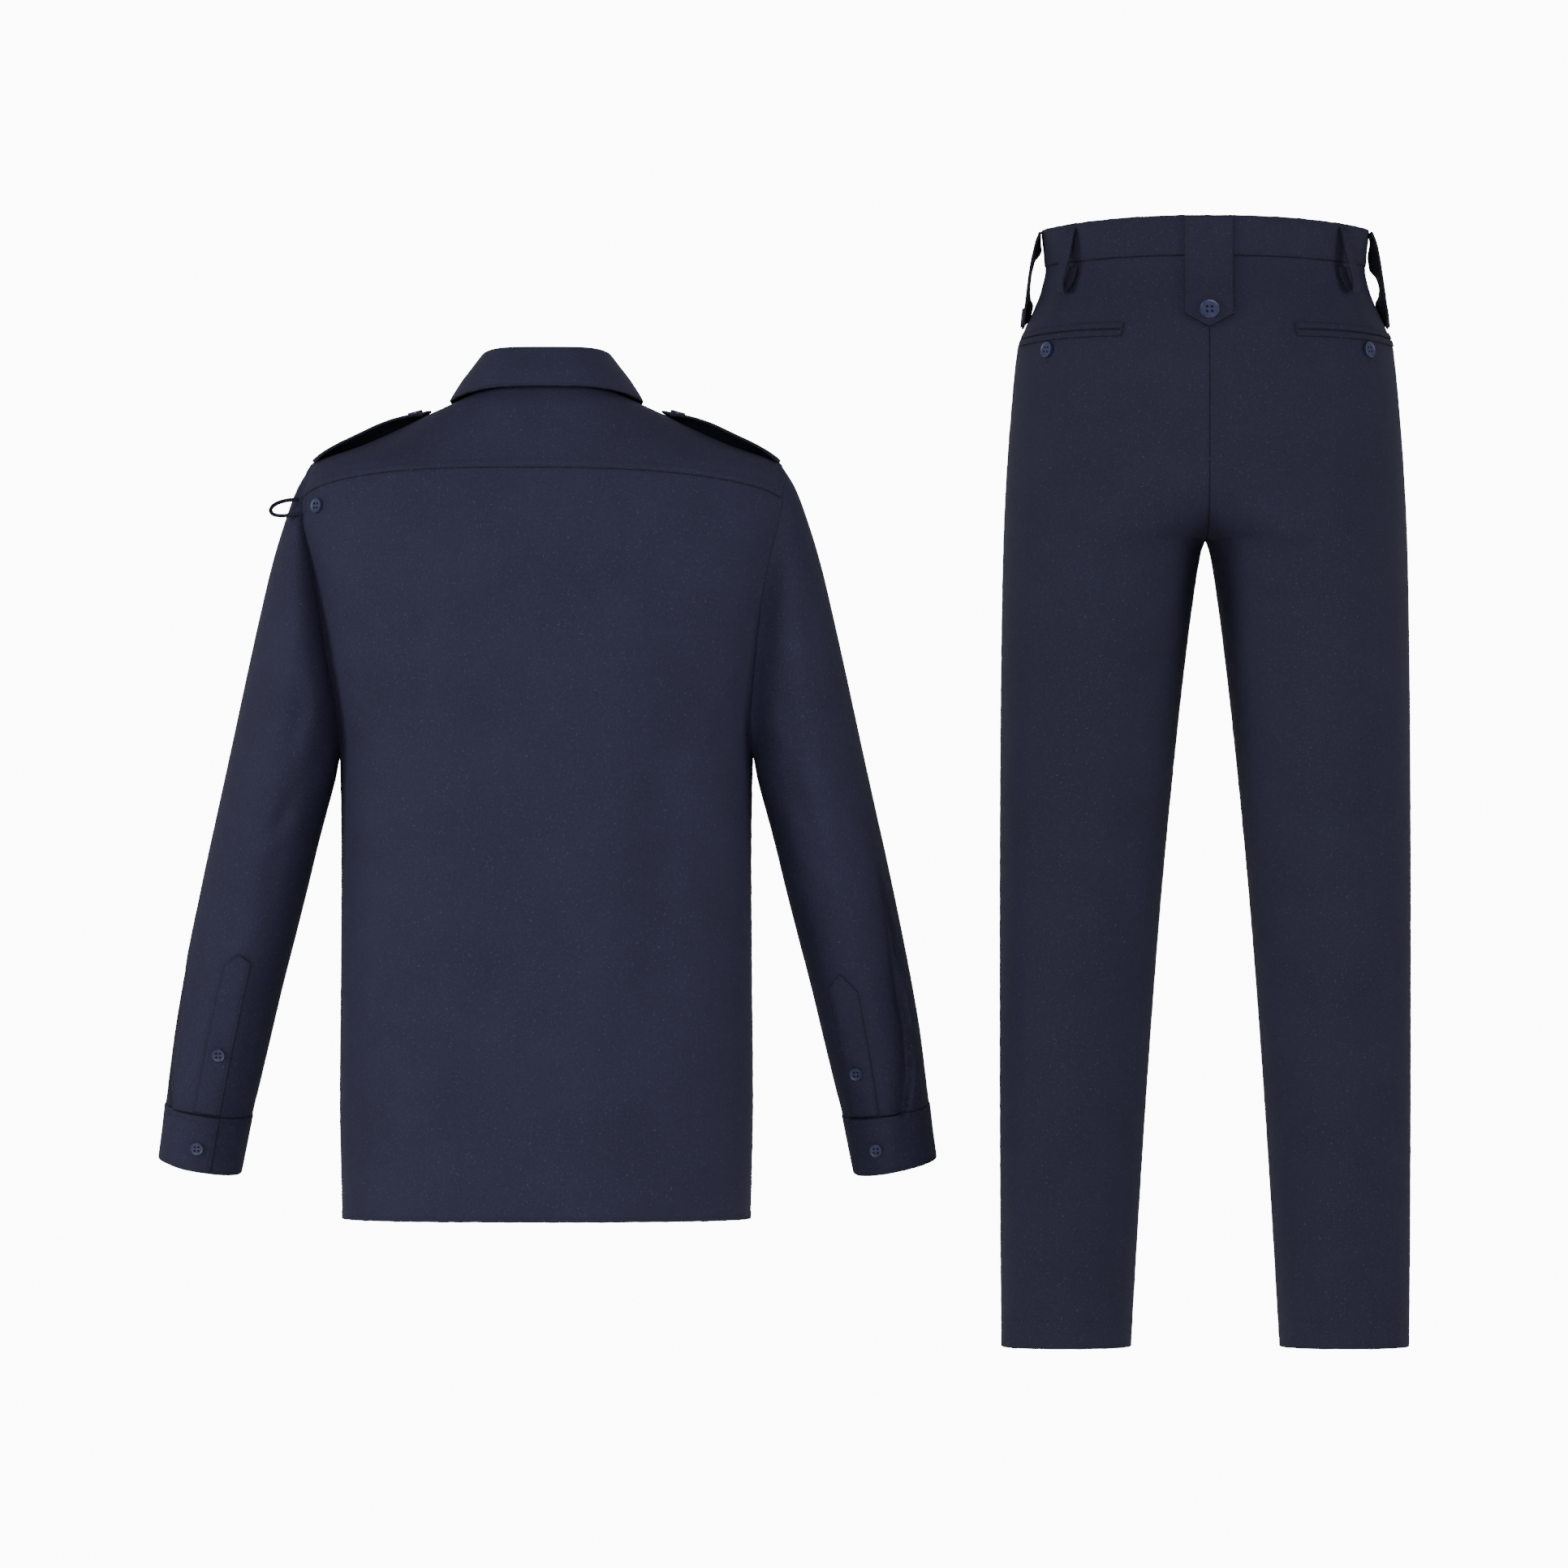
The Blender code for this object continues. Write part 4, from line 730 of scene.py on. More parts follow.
@dataclass
class Stitching:
    """All the stitches of a garment, copied from one that is modelled once."""

    name: str
    pitch: float = 3.0
    length: float = 2.3
    width: float = 0.62
    height: float = 0.46
    rows: list[tuple[Array, Array, Array, float, float]] = field(default_factory=list)

    def sew(self, line: Line, pitch: float | None = None) -> None:
        """Add a row of stitches along a line.

        Args:
            line: Where it runs.
            pitch: Distance between stitches, or none for the usual one.
        """
        pitch = pitch or self.pitch
        passed = lengths_along(line.points)
        count = max(int(passed[-1] / pitch), 1)
        places = (np.arange(count) + 0.5) * passed[-1] / count
        spots = line.at(places, passed)
        ahead = line.at(np.minimum(places + 0.4, passed[-1]), passed)
        behind = line.at(np.maximum(places - 0.4, 0.0), passed)
        runs = unit(ahead.points - behind.points)
        share = self.length / self.pitch
        self.rows.append((spots.points, spots.normals, runs, pitch * share, self.width))

    def hem(self, panel: Panel, away: float, both: float, *edges: Edge) -> None:
        """Sew a row of stitches beside each of some edges of a panel."""
        for edge in edges:
            self.sew(panel.line(edge, away, both=both))

    def tack(self, start: Array, end: Array, normal: Array, pitch: float = 0.7, width: float = 1.8) -> None:
        """Add a bar tack or one side of a buttonhole: short stitches across a line.

        Args:
            start: Its first end.
            end: Its last end.
            normal: Outward direction.
            pitch: Distance between stitches.
            width: Their length across the line.
        """
        start, end, normal = np.asarray(start), np.asarray(end), unit(np.asarray(normal, dtype=float))
        length = float(np.linalg.norm(end - start))
        count = max(int(length / pitch), 2)
        shares = ((np.arange(count) + 0.5) / count)[:, None]
        points = start + (end - start) * shares
        across = unit(np.cross(normal, unit(end - start)))
        normals = np.repeat(normal[None], count, axis=0)
        self.rows.append((points, normals, np.repeat(across[None], count, axis=0), width, 0.55))

    def model(self) -> tuple[Array, Array]:
        """Model one stitch, one long along X, and read its corners and triangles.

        Returns:
            Corners and triangles.
        """
        bpy.ops.object.select_all(action="DESELECT")
        lying = (0.0, math.pi / 2, 0.0)
        bpy.ops.mesh.primitive_cylinder_add(vertices=5, radius=0.5, depth=0.6, rotation=lying)
        made = bpy.context.active_object
        bpy.ops.object.mode_set(mode="EDIT")
        bpy.ops.mesh.select_all(action="DESELECT")
        bpy.ops.mesh.select_mode(type="FACE")
        bpy.ops.object.mode_set(mode="OBJECT")
        for polygon in made.data.polygons:
            polygon.select = len(polygon.vertices) == 5
        bpy.ops.object.mode_set(mode="EDIT")
        bpy.ops.mesh.extrude_faces_move(TRANSFORM_OT_shrink_fatten={"value": 0.2})
        bpy.ops.transform.resize(value=(1.0, 0.45, 0.45))
        bpy.ops.mesh.select_all(action="SELECT")
        bpy.ops.mesh.quads_convert_to_tris()
        bpy.ops.object.mode_set(mode="OBJECT")
        bpy.ops.object.transform_apply(location=True, rotation=True, scale=True)
        corners = np.array([tuple(vertex.co) for vertex in made.data.vertices])
        triangles = np.array([tuple(polygon.vertices) for polygon in made.data.polygons])
        bpy.data.objects.remove(made)
        return corners, triangles

    def build(self) -> bpy.types.Object:
        """Copy the stitch to every place and make them one object.

        Returns:
            The object.
        """
        corners, triangles = self.model()
        spans = np.ptp(corners, axis=0)
        corners = corners / spans
        places, faces = [], []
        passed = 0
        for points, normals, runs, length, width in self.rows:
            across = unit(np.cross(normals, runs))
            shape = corners * np.array((length, width, self.height))
            grown = runs[:, None] * shape[None, :, :1] + across[:, None] * shape[None, :, 1:2]
            grown = grown + normals[:, None] * (shape[None, :, 2:] + self.height * 0.22)
            places.append((points[:, None] + grown).reshape(-1, 3))
            offsets = passed + np.arange(len(points)) * len(corners)
            faces.append((triangles[None] + offsets[:, None, None]).reshape(-1, 3))
            passed += len(points) * len(corners)
        mesh = bpy.data.meshes.new(self.name)
        mesh.from_pydata((np.concatenate(places) * MM).tolist(), [], np.concatenate(faces).tolist())
        mesh.shade_smooth()
        made = linked(self.name, mesh)
        return made


class NodeBench:
    """Places and joins nodes in one tree."""

    def __init__(self, tree: bpy.types.NodeTree) -> None:
        """Keep the tree."""
        self.tree = tree

    def add(self, kind: str, settings: dict | None = None, **inputs: object) -> bpy.types.Node:
        """Add a node.

        Args:
            kind: Its type.
            settings: Its own properties.
            inputs: Values or sockets for its inputs, spaces in their names written as underscores.

        Returns:
            The node.
        """
        node = self.tree.nodes.new(kind)
        for key, value in (settings or {}).items():
            setattr(node, key, value)
        self.set(node, **inputs)
        return node

    def set(self, node: bpy.types.Node, **inputs: object) -> None:
        """Give a node's inputs their values or sockets.

        Args:
            node: The node.
            inputs: As for a new node; i and a number stand for an input's place.
        """
        for key, value in inputs.items():
            label = int(key[1:]) if key[0] == "i" and key[1:].isdigit() else key.replace("_", " ")
            self.feed(node.inputs[label], value)

    def effect(self, group: bpy.types.NodeTree, **inputs: object) -> Socket:
        """The output of a shared group."""
        return self.add("ShaderNodeGroup", {"node_tree": group}, **inputs).outputs[0]

    def feed(self, socket: bpy.types.NodeSocket, value: object) -> None:
        """Give a socket a value, or join another to it.

        Args:
            socket: The input.
            value: A number, a tuple or an output socket.
        """
        if isinstance(value, bpy.types.NodeSocket):
            self.tree.links.new(value, socket)
        else:
            socket.default_value = value

    def sum(self, operation: str, first: object, second: object = 0.0, third: object = 0.0) -> Socket:
        """A Math node's result."""
        node = self.add("ShaderNodeMath", {"operation": operation}, i0=first, i1=second, i2=third)
        return node.outputs[0]

    def mix(self, share: object, first: object, second: object) -> Socket:
        """A mix of two colours.

        Args:
            share: How much of the second.
            first: First colour.
            second: Second colour.

        Returns:
            The output socket.
        """
        node = self.tree.nodes.new("ShaderNodeMix")
        node.data_type = "RGBA"
        for index, value in ((0, share), (6, first), (7, second)):
            self.feed(node.inputs[index], value)
        return node.outputs[2]


class Effects:
    """Shader groups that more than one material uses."""

    def __init__(self) -> None:
        """Build the groups: ribs, sparse pale specks of fibre, and the soft uneven tone of washed cloth."""
        self.weave = self.build_weave()
        self.lint = self.build_cloud("lint", 0.0014, 2.0, 0.6, (0.62, 0.78))
        self.tone = self.build_cloud("washed_tone", 0.06, 4.0, 0.62, (0.3, 0.7))

    @staticmethod
    def group(name: str, scale: str, default: float, output: str) -> bpy.types.NodeTree:
        """An empty group with a place, one number and one output.

        Args:
            name: Its name.
            scale: Name of its number.
            default: The number's default.
            output: Name of its output.

        Returns:
            The group.
        """
        tree = bpy.data.node_groups.new(name, "ShaderNodeTree")
        tree.interface.new_socket("Place", in_out="INPUT", socket_type="NodeSocketVector")
        socket = tree.interface.new_socket(scale, in_out="INPUT", socket_type="NodeSocketFloat")
        socket.default_value = default
        tree.interface.new_socket(output, in_out="OUTPUT", socket_type="NodeSocketFloat")
        return tree

    def build_weave(self) -> bpy.types.NodeTree:
        """Diagonal ribs of a twill crossed by its yarns.

        Returns:
            The group.
        """
        tree = self.group("twill_weave", "Pitch", 0.0008, "Height")
        bench = NodeBench(tree)
        given = bench.add("NodeGroupInput").outputs
        split = bench.add("ShaderNodeSeparateXYZ", Vector=given["Place"]).outputs
        wander = bench.add("ShaderNodeTexNoise", Vector=given["Place"], Scale=160.0, Detail=1.0).outputs[0]
        turn = bench.sum("DIVIDE", 2.0 * math.pi, given["Pitch"])
        waver = bench.sum("MULTIPLY", wander, 2.5)
        diagonal = bench.sum("MULTIPLY_ADD", bench.sum("ADD", split[0], split[1]), turn, waver)
        counter = bench.sum("MULTIPLY", bench.sum("SUBTRACT", split[0], split[1]), turn)
        ribs = bench.sum("MULTIPLY_ADD", bench.sum("SINE", diagonal), 0.34, 0.5)
        height = bench.sum("MULTIPLY_ADD", bench.sum("SINE", counter), 0.16, ribs)
        bench.add("NodeGroupOutput", Height=height)
        return tree

    def build_cloud(
        self,
        name: str,
        size: float,
        detail: float,
        roughness: float,
        span: tuple[float, float],
    ) -> bpy.types.NodeTree:
        """A mask that follows a noise.

        Args:
            name: Its name.
            size: Of the patches, in metres.
            detail: Of the noise.
            roughness: Of the noise.
            span: Noise values where the mask starts and is full.

        Returns:
            The group.
        """
        tree = self.group(name, "Size", size, "Mask")
        bench = NodeBench(tree)
        given = bench.add("NodeGroupInput").outputs
        noise = bench.add(
            "ShaderNodeTexNoise",
            Vector=given["Place"],
            Scale=bench.sum("DIVIDE", 1.0, given["Size"]),
            Detail=detail,
            Roughness=roughness,
        )
        mask = bench.add("ShaderNodeMapRange", Value=noise.outputs[0], i1=span[0], i2=span[1])
        bench.add("NodeGroupOutput", Mask=mask.outputs[0])
        return tree


@dataclass(frozen=True)
class Finish:
    """A finish with its own material."""

    name: str

    def start(self) -> tuple[NodeBench, bpy.types.Node, Socket]:
        """Make the material.

        Returns:
            Its bench, its shader and the place on the piece.
        """
        material = bpy.data.materials.new(self.name)
        material.use_nodes = True
        bench = NodeBench(material.node_tree)
        place = bench.add("ShaderNodeTexCoord").outputs["Object"]
        return bench, material.node_tree.nodes["Principled BSDF"], place


@dataclass(frozen=True)
class TwillCloth(Finish):
    """Dyed cotton twill: fine diagonal ribs, lint and an uneven washed tone, with shade painted along its
    seam edges and in its pleats' mouths.
    """

    dark: Colour
    pale: Colour
    worn: Colour
    lint: Colour
    pitch: float = 0.0009
    roughness: float = 0.86

    def make(self, effects: Effects) -> bpy.types.Material:
        """Make the material.

        Args:
            effects: The shared groups.

        Returns:
            The material.
        """
        bench, shader, place = self.start()
        grain = bench.add("ShaderNodeUVMap", {"uv_map": "grain"}).outputs[0]
        edge = bench.add("ShaderNodeAttribute", {"attribute_name": "edge"}).outputs["Fac"]
        weave = bench.effect(effects.weave, Place=grain, Pitch=self.pitch)
        tone = bench.effect(effects.tone, Place=place, Size=0.07)
        fine = bench.effect(effects.tone, Place=grain, Size=0.0026)
        lint = bench.effect(effects.lint, Place=place, Size=0.0016)
        body = bench.mix(tone, (*self.dark, 1.0), (*self.pale, 1.0))
        speckled = bench.mix(bench.sum("MULTIPLY", fine, 0.3), body, (*self.worn, 1.0))
        ribs = bench.sum("MULTIPLY", bench.sum("SUBTRACT", 1.0, weave), 0.35)
        ribbed = bench.mix(ribs, speckled, (*self.dark, 1.0))
        # Painted shade: where the edge attribute is high, the colour is drawn towards a quarter of the dark
        # dye.
        shade = (*(0.25 * part for part in self.dark), 1.0)
        shaded = bench.mix(bench.sum("MULTIPLY", edge, 0.8), ribbed, shade)
        colour = bench.mix(bench.sum("MULTIPLY", lint, 0.5), shaded, (*self.lint, 1.0))
        rough = bench.sum("MULTIPLY_ADD", weave, -0.08, self.roughness)
        height = bench.sum("MULTIPLY_ADD", fine, 0.35, weave)
        bump = bench.add("ShaderNodeBump", Strength=0.35, Distance=0.0002, Height=height).outputs[0]
        bench.set(shader, Base_Color=colour, Roughness=rough, Specular_IOR_Level=0.3, Normal=bump)
        return bpy.data.materials[self.name]


@dataclass(frozen=True)
class SewingThread(Finish):
    """Spun thread with a slight twist."""

    colour: Colour
    light: Colour

    def make(self, effects: Effects) -> bpy.types.Material:
        """Make the material.

        Args:
            effects: The shared groups.

        Returns:
            The material.
        """
        bench, shader, place = self.start()
        tone = bench.effect(effects.tone, Place=place, Size=0.004)
        colour = bench.mix(tone, (*self.colour, 1.0), (*self.light, 1.0))
        bands = {"bands_direction": "DIAGONAL"}
        twist = bench.add("ShaderNodeTexWave", bands, Vector=place, Scale=900.0).outputs[1]
        rough = bench.sum("MULTIPLY_ADD", twist, 0.1, 0.6)
        bump = bench.add("ShaderNodeBump", Strength=0.4, Distance=0.0001, Height=twist).outputs[0]
        bench.set(shader, Base_Color=colour, Roughness=rough, Specular_IOR_Level=0.35, Normal=bump)
        return bpy.data.materials[self.name]


@dataclass(frozen=True)
class ButtonPlastic(Finish):
    """Glossy dark blue moulded plastic with a faint cloud and fine scratches."""

    deep: Colour
    cloud: Colour

    def make(self, effects: Effects) -> bpy.types.Material:
        """Make the material.

        Args:
            effects: The shared groups.

        Returns:
            The material.
        """
        bench, shader, place = self.start()
        cloud = bench.effect(effects.tone, Place=place, Size=0.006)
        scratch = bench.add("ShaderNodeTexNoise", Vector=place, Scale=1800.0, Detail=2.0).outputs[0]
        colour = bench.mix(cloud, (*self.deep, 1.0), (*self.cloud, 1.0))
        rough = bench.sum("MULTIPLY_ADD", scratch, 0.14, 0.36)
        bump = bench.add("ShaderNodeBump", Strength=0.08, Distance=0.0001, Height=scratch).outputs[0]
        bench.set(shader, Base_Color=colour, Roughness=rough, Normal=bump)
        bench.set(shader, Coat_Weight=0.12, Coat_Roughness=0.25)
        return bpy.data.materials[self.name]


@dataclass(frozen=True)
class StudioPaper(Finish):
    """Matt pale paper for the floor and the ground behind, clear when seen from its back."""

    name: str = "studio_paper"
    colour: Colour = (0.9, 0.9, 0.91)
    glow: float = 11.0

    def make(self) -> bpy.types.Material:
        """Make the material.

        Returns:
            The material.
        """
        bench, shader, _ = self.start()
        seen = bench.add("ShaderNodeLightPath").outputs["Is Camera Ray"]
        glow = bench.sum("MULTIPLY", seen, self.glow)
        white = (1.0, 1.0, 1.0, 1.0)
        bench.set(shader, Base_Color=(*self.colour, 1.0), Roughness=0.95, Specular_IOR_Level=0.1)
        bench.set(shader, Emission_Color=white, Emission_Strength=glow)
        behind = bench.add("ShaderNodeNewGeometry").outputs["Backfacing"]
        clear = bench.add("ShaderNodeBsdfTransparent").outputs[0]
        shown = bench.add("ShaderNodeMixShader", Fac=behind, i1=shader.outputs[0], i2=clear).outputs[0]
        bench.feed(bench.tree.nodes["Material Output"].inputs["Surface"], shown)
        return bpy.data.materials[self.name]


@dataclass
class Workroom:
    """The materials, and the way that a finished piece is handed to the frame."""

    shirt_cloth: bpy.types.Material
    trouser_cloth: bpy.types.Material
    shirt_thread: bpy.types.Material
    trouser_thread: bpy.types.Material
    plastic: bpy.types.Material
    pieces: dict[str, bpy.types.Object] = field(default_factory=dict)

    @staticmethod
    def open() -> "Workroom":
        """Make every finish.

        Returns:
            The workroom.
        """
        effects = Effects()
        shirt = TwillCloth(
            "shirt_twill",
            dark=(0.0165, 0.0164, 0.041),
            pale=(0.0225, 0.0223, 0.0535),
            worn=(0.036, 0.0358, 0.08),
            lint=(0.1, 0.105, 0.17),
        )
        trousers = TwillCloth(
            "trouser_twill",
            dark=(0.0118, 0.0118, 0.0305),
            pale=(0.0161, 0.0162, 0.04),
            worn=(0.0268, 0.0269, 0.061),
            lint=(0.085, 0.089, 0.14),
            pitch=0.001,
        )
        return Workroom(
            shirt.make(effects),
            trousers.make(effects),
            SewingThread("shirt_thread", (0.017, 0.018, 0.038), (0.03, 0.032, 0.06)).make(effects),
            SewingThread("trouser_thread", (0.013, 0.014, 0.03), (0.024, 0.026, 0.05)).make(effects),
            ButtonPlastic("button_plastic", (0.016, 0.0205, 0.056), (0.034, 0.043, 0.112)).make(effects),
        )

    def hand_over(
        self,
        made: bpy.types.Object,
        material: bpy.types.Material,
        slot: str,
        node: str | None = None,
    ) -> None:
        """Dress a piece, and tell the frame what it rides on and replaces.

        Args:
            made: The piece.
            material: Its finish.
            slot: Not used.
            node: The solid that it replaces, if any.
        """
        made.data.materials.clear()
        made.data.materials.append(material)
        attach(made, "root")
        if node:
            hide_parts(node)
        self.pieces[made.name] = made
        LOG.info("%s: %d faces", made.name, len(made.data.polygons))

    def hang(self, panel: Panel, node: str, slot: str, held: Held) -> None:
        """Args:
            panel: The settled panel.
            node: The solid that it replaces.
            slot: The frame's name for the finish.
            held: Not used.
        """
        made = panel.build()
        self.hand_over(made, self.shirt_cloth if slot == "shirt_cloth" else self.trouser_cloth, slot, node)
        flat = panel.cut_size()
        whole = flat[0] * flat[1]
        area = max(min(panel.area(), whole), LEAST_AREA * whole)


class ShirtBody(Surface):
    """The outside of the shirt's body, from its hem to the neck seam."""

    hem = -751.0
    neck = 8.0
    squareness = 2.4
    back_folds = ((-104.0, -118.0, 34.0, 4.0), (74.0, 38.0, 40.0, 5.0))
    fold_top = -120.0
    fold_fade = 130.0
    armhole_top = -55.0
    armhole_foot = -322.0
    armhole_depths = {Side.LEFT: 37.0, Side.RIGHT: 58.0}
    front_depth = 60.0
    front_lap = 17.0
    yoke_turn = 40.0
    yoke_centre = -52.5
    valley = Crease(
        ((212, -112), (204, -150), (197.6, -189), (190.8, -255), (188.5, -304), (190, -334)),
        15.0,
        10.0,
        hollow=0.0,
    )

    def __init__(self) -> None:
        """Read the sections."""
        self.oval = Oval(
            (
                (-751, -751, -751, 188, 118, 128),
                (-640, -640, -640, 190.5, 120, 131),
                (-520, -520, -520, 189.5, 121, 131),
                (-420, -420, -420, 189, 122, 131),
                (-322, -322, -322, 190.5, 124, 130),
                (-230, -232, -236, 207, 122, 125),
                (-150, -154, -172, 221, 115, 117),
                (-100, -107, -132, 229, 107, 106),
                (-70, -80, -108, 225, 101, 98),
                (-55, -62, -94, 217, 96, 92),
                (-36, -38, -78, 168, 88, 83),
                (-20, -15, -65, 132, 79, 75),
                (-9, 1, -56, 110, 72, 70),
                (8, 23, -42, 72, 61, 63),
            ),
            self.squareness,
        )
        self.creases = SHIRT_CREASES

    def base(self, first: Array, second: Array) -> Array:
        """The smooth outside."""
        return self.sunk(self.filled(first, second))

    def sunk(self, points: Array) -> Array:
        """Press points in beside the back of the right armhole, where the sleeve pulls forward."""
        depth = self.valley.height * self.valley.profile(*self.valley.locate(points))
        return points + stacked(0.0, depth * ease(-points[..., 1] / 20.0), 0.0)

    def filled(self, first: Array, second: Array) -> Array:
        """The outside before the armhole presses it in.

        Args:
            first: Angle round the body.
            second: Level.

        Returns:
            Points.
        """
        y, z, sine = self.oval.reach(first, second)
        x = self.oval.half_width(second) * sine
        fall = ease((self.fold_top - second) / self.fold_fade)
        drop = (second - self.fold_top) / (self.hem - self.fold_top)
        behind = y < 0.0
        for top_x, foot_x, spread, rise in self.back_folds:
            aside = (x - blend(top_x, foot_x, drop)) / spread
            y = y - np.where(behind, rise * fall * np.exp(-aside * aside), 0.0)
        return stacked(x, y, z)

    def armhole(self, side: Side, turn: Array) -> tuple[Array, Array]:
        """The angle and level where the armhole seam passes.

        Args:
            side: Which armhole.
            turn: Degrees round it: 0 the shoulder, 90 the back, 180 the underarm, 270 the front.

        Returns:
            Signed angle and level.
        """
        turn = np.asarray(turn, dtype=float) % 360.0
        radians = np.radians(turn)
        middle = (self.armhole_top + self.armhole_foot) / 2
        half = (self.armhole_top - self.armhole_foot) / 2
        level = middle + half * np.cos(radians)
        behind = turn <= 180.0
        depth = np.where(behind, self.armhole_depths[side], self.front_depth)
        depth = depth * np.abs(np.sin(radians)) ** 0.8
        whole = np.where(behind, self.oval.back_depth(level), self.oval.front_depth(level))
        lean = np.degrees(np.arcsin(np.clip((depth / whole) ** (self.squareness / 2.0), 0.0, 1.0)))
        return side.value * np.where(behind, 90.0 - lean, 90.0 + lean), level

    def yoke_row(self, share: Array, across: Array) -> tuple[Array, Array]:
        """Angles and levels of a row of the back between the armholes.

        Args:
            share: 0 at the underarm, 1 at the yoke seam.
            across: 0 at the left armhole, 1 at the right one.

        Returns:
            Angle and level.
        """
        turn = blend(180.0, self.yoke_turn, share)
        left, level = self.armhole(Side.LEFT, turn)
        right, _ = self.armhole(Side.RIGHT, turn)
        centre = blend(self.armhole_foot, self.yoke_centre, share)
        hump = 1.0 - np.abs(2.0 * across - 1.0) ** 2.2
        return blend(left, right, across), blend(level, centre, hump)

    def back(self, across: Array, along: Array) -> Array:
        """The back panel's patch.

        Args:
            across: Share from the left side seam.
            along: Share from the hem.

        Returns:
            Points.
        """
        split = 0.61
        side_seam = blend(self.hem, self.armhole_foot, np.minimum(along / split, 1.0))
        low = (blend(-90.0, 90.0, across), side_seam)
        high = self.yoke_row(np.clip((along - split) / (1.0 - split), 0.0, 1.0), across)
        below = along <= split
        return self.point(np.where(below, low[0], high[0]), np.where(below, low[1], high[1]))

    def yoke(self, across: Array, along: Array) -> Array:
        """The yoke's patch.

        Args:
            across: Share from the left shoulder seam, round the back, to the right one.
            along: Share from the outer seam to the neck.

        Returns:
            Points.
        """
        columns, end = 24.0, 4.0
        column = across * columns
        turn = self.yoke_turn / 3.0
        left = self.armhole(Side.LEFT, -turn + turn * np.minimum(column, end))
        right = self.armhole(Side.RIGHT, -turn + turn * np.minimum(columns - column, end))
        inner = np.clip((column - end) / (columns - 2.0 * end), 0.0, 1.0)
        middle = self.yoke_row(np.ones_like(across), inner)
        outside = np.where(column < end, left, np.where(column > columns - end, right, middle))
        neck = Curve(
            (0, 1, 2, 3, 4, 20, 21, 22, 23, 24),
            (-112, -92, -82, -72, -62, 62, 72, 82, 92, 112),
        )(column)
        return self.point(blend(outside[0], neck, along), blend(outside[1], self.neck, along))

    def front(self, side: Side) -> Patch:
        """A front panel's patch.

        Args:
            side: Which front.

        Returns:
            The patch, across from the side seam to just past the centre, and along from the hem.
        """
        split, corner, neck_turn = 0.58, 0.42, 112.0
        steps = [0.0, 13.3333, 26.6667] + [40.0 + 140.0 * i / 9 for i in range(10)]
        turns = [360.0 - turn for turn in reversed(steps[1:])]

        def patch(across: Array, along: Array) -> Array:
            """Points of the front.

            Args:
                across: Share across it.
                along: Share along it.

            Returns:
                Points.
            """
            low_angle = blend(90.0, 180.0, across)
            low_level = blend(self.hem, self.armhole_foot, np.minimum(along / split, 1.0))
            share = np.clip((along - split) / (1.0 - split), 0.0, 1.0)
            turn = np.interp(share * (len(turns) - 1), range(len(turns)), turns)
            edge_angle, edge_level = self.armhole(side, turn)
            seam_angle, seam_level = self.armhole(side, 360.0 - steps[1])
            edge_angle, seam_angle = np.abs(edge_angle), abs(float(seam_angle))
            shoulder = np.clip(across / corner, 0.0, 1.0)
            rest = np.clip((across - corner) / (1.0 - corner), 0.0, 1.0)
            before, after = blend(seam_angle, neck_turn, shoulder), blend(neck_turn, 180.0, rest)
            top_angle = np.where(across <= corner, before, after)
            top_level = blend(seam_level, self.neck, shoulder)
            weight = share**2
            high_angle = blend(edge_angle, 180.0, across)
            high_angle = high_angle + weight * (top_angle - blend(seam_angle, 180.0, across))
            high_level = blend(edge_level, blend(self.armhole_foot, self.neck, share), across)
            high_level = high_level + weight * (top_level - blend(seam_level, self.neck, across))
            below = along <= split
            angle, level = np.where(below, low_angle, high_angle), np.where(below, low_level, high_level)
            over = self.oval.angle_at(self.front_lap, level) * ease((angle - 150.0) / 30.0)
            angle = side.value * (angle + over)
            lift = 0.0
            if side is Side.LEFT:
                lift = 2.0 * ease((self.base(angle, level)[..., 0] + 50.0) / 20.0)
            return self.point(angle, level, lift)

        return patch


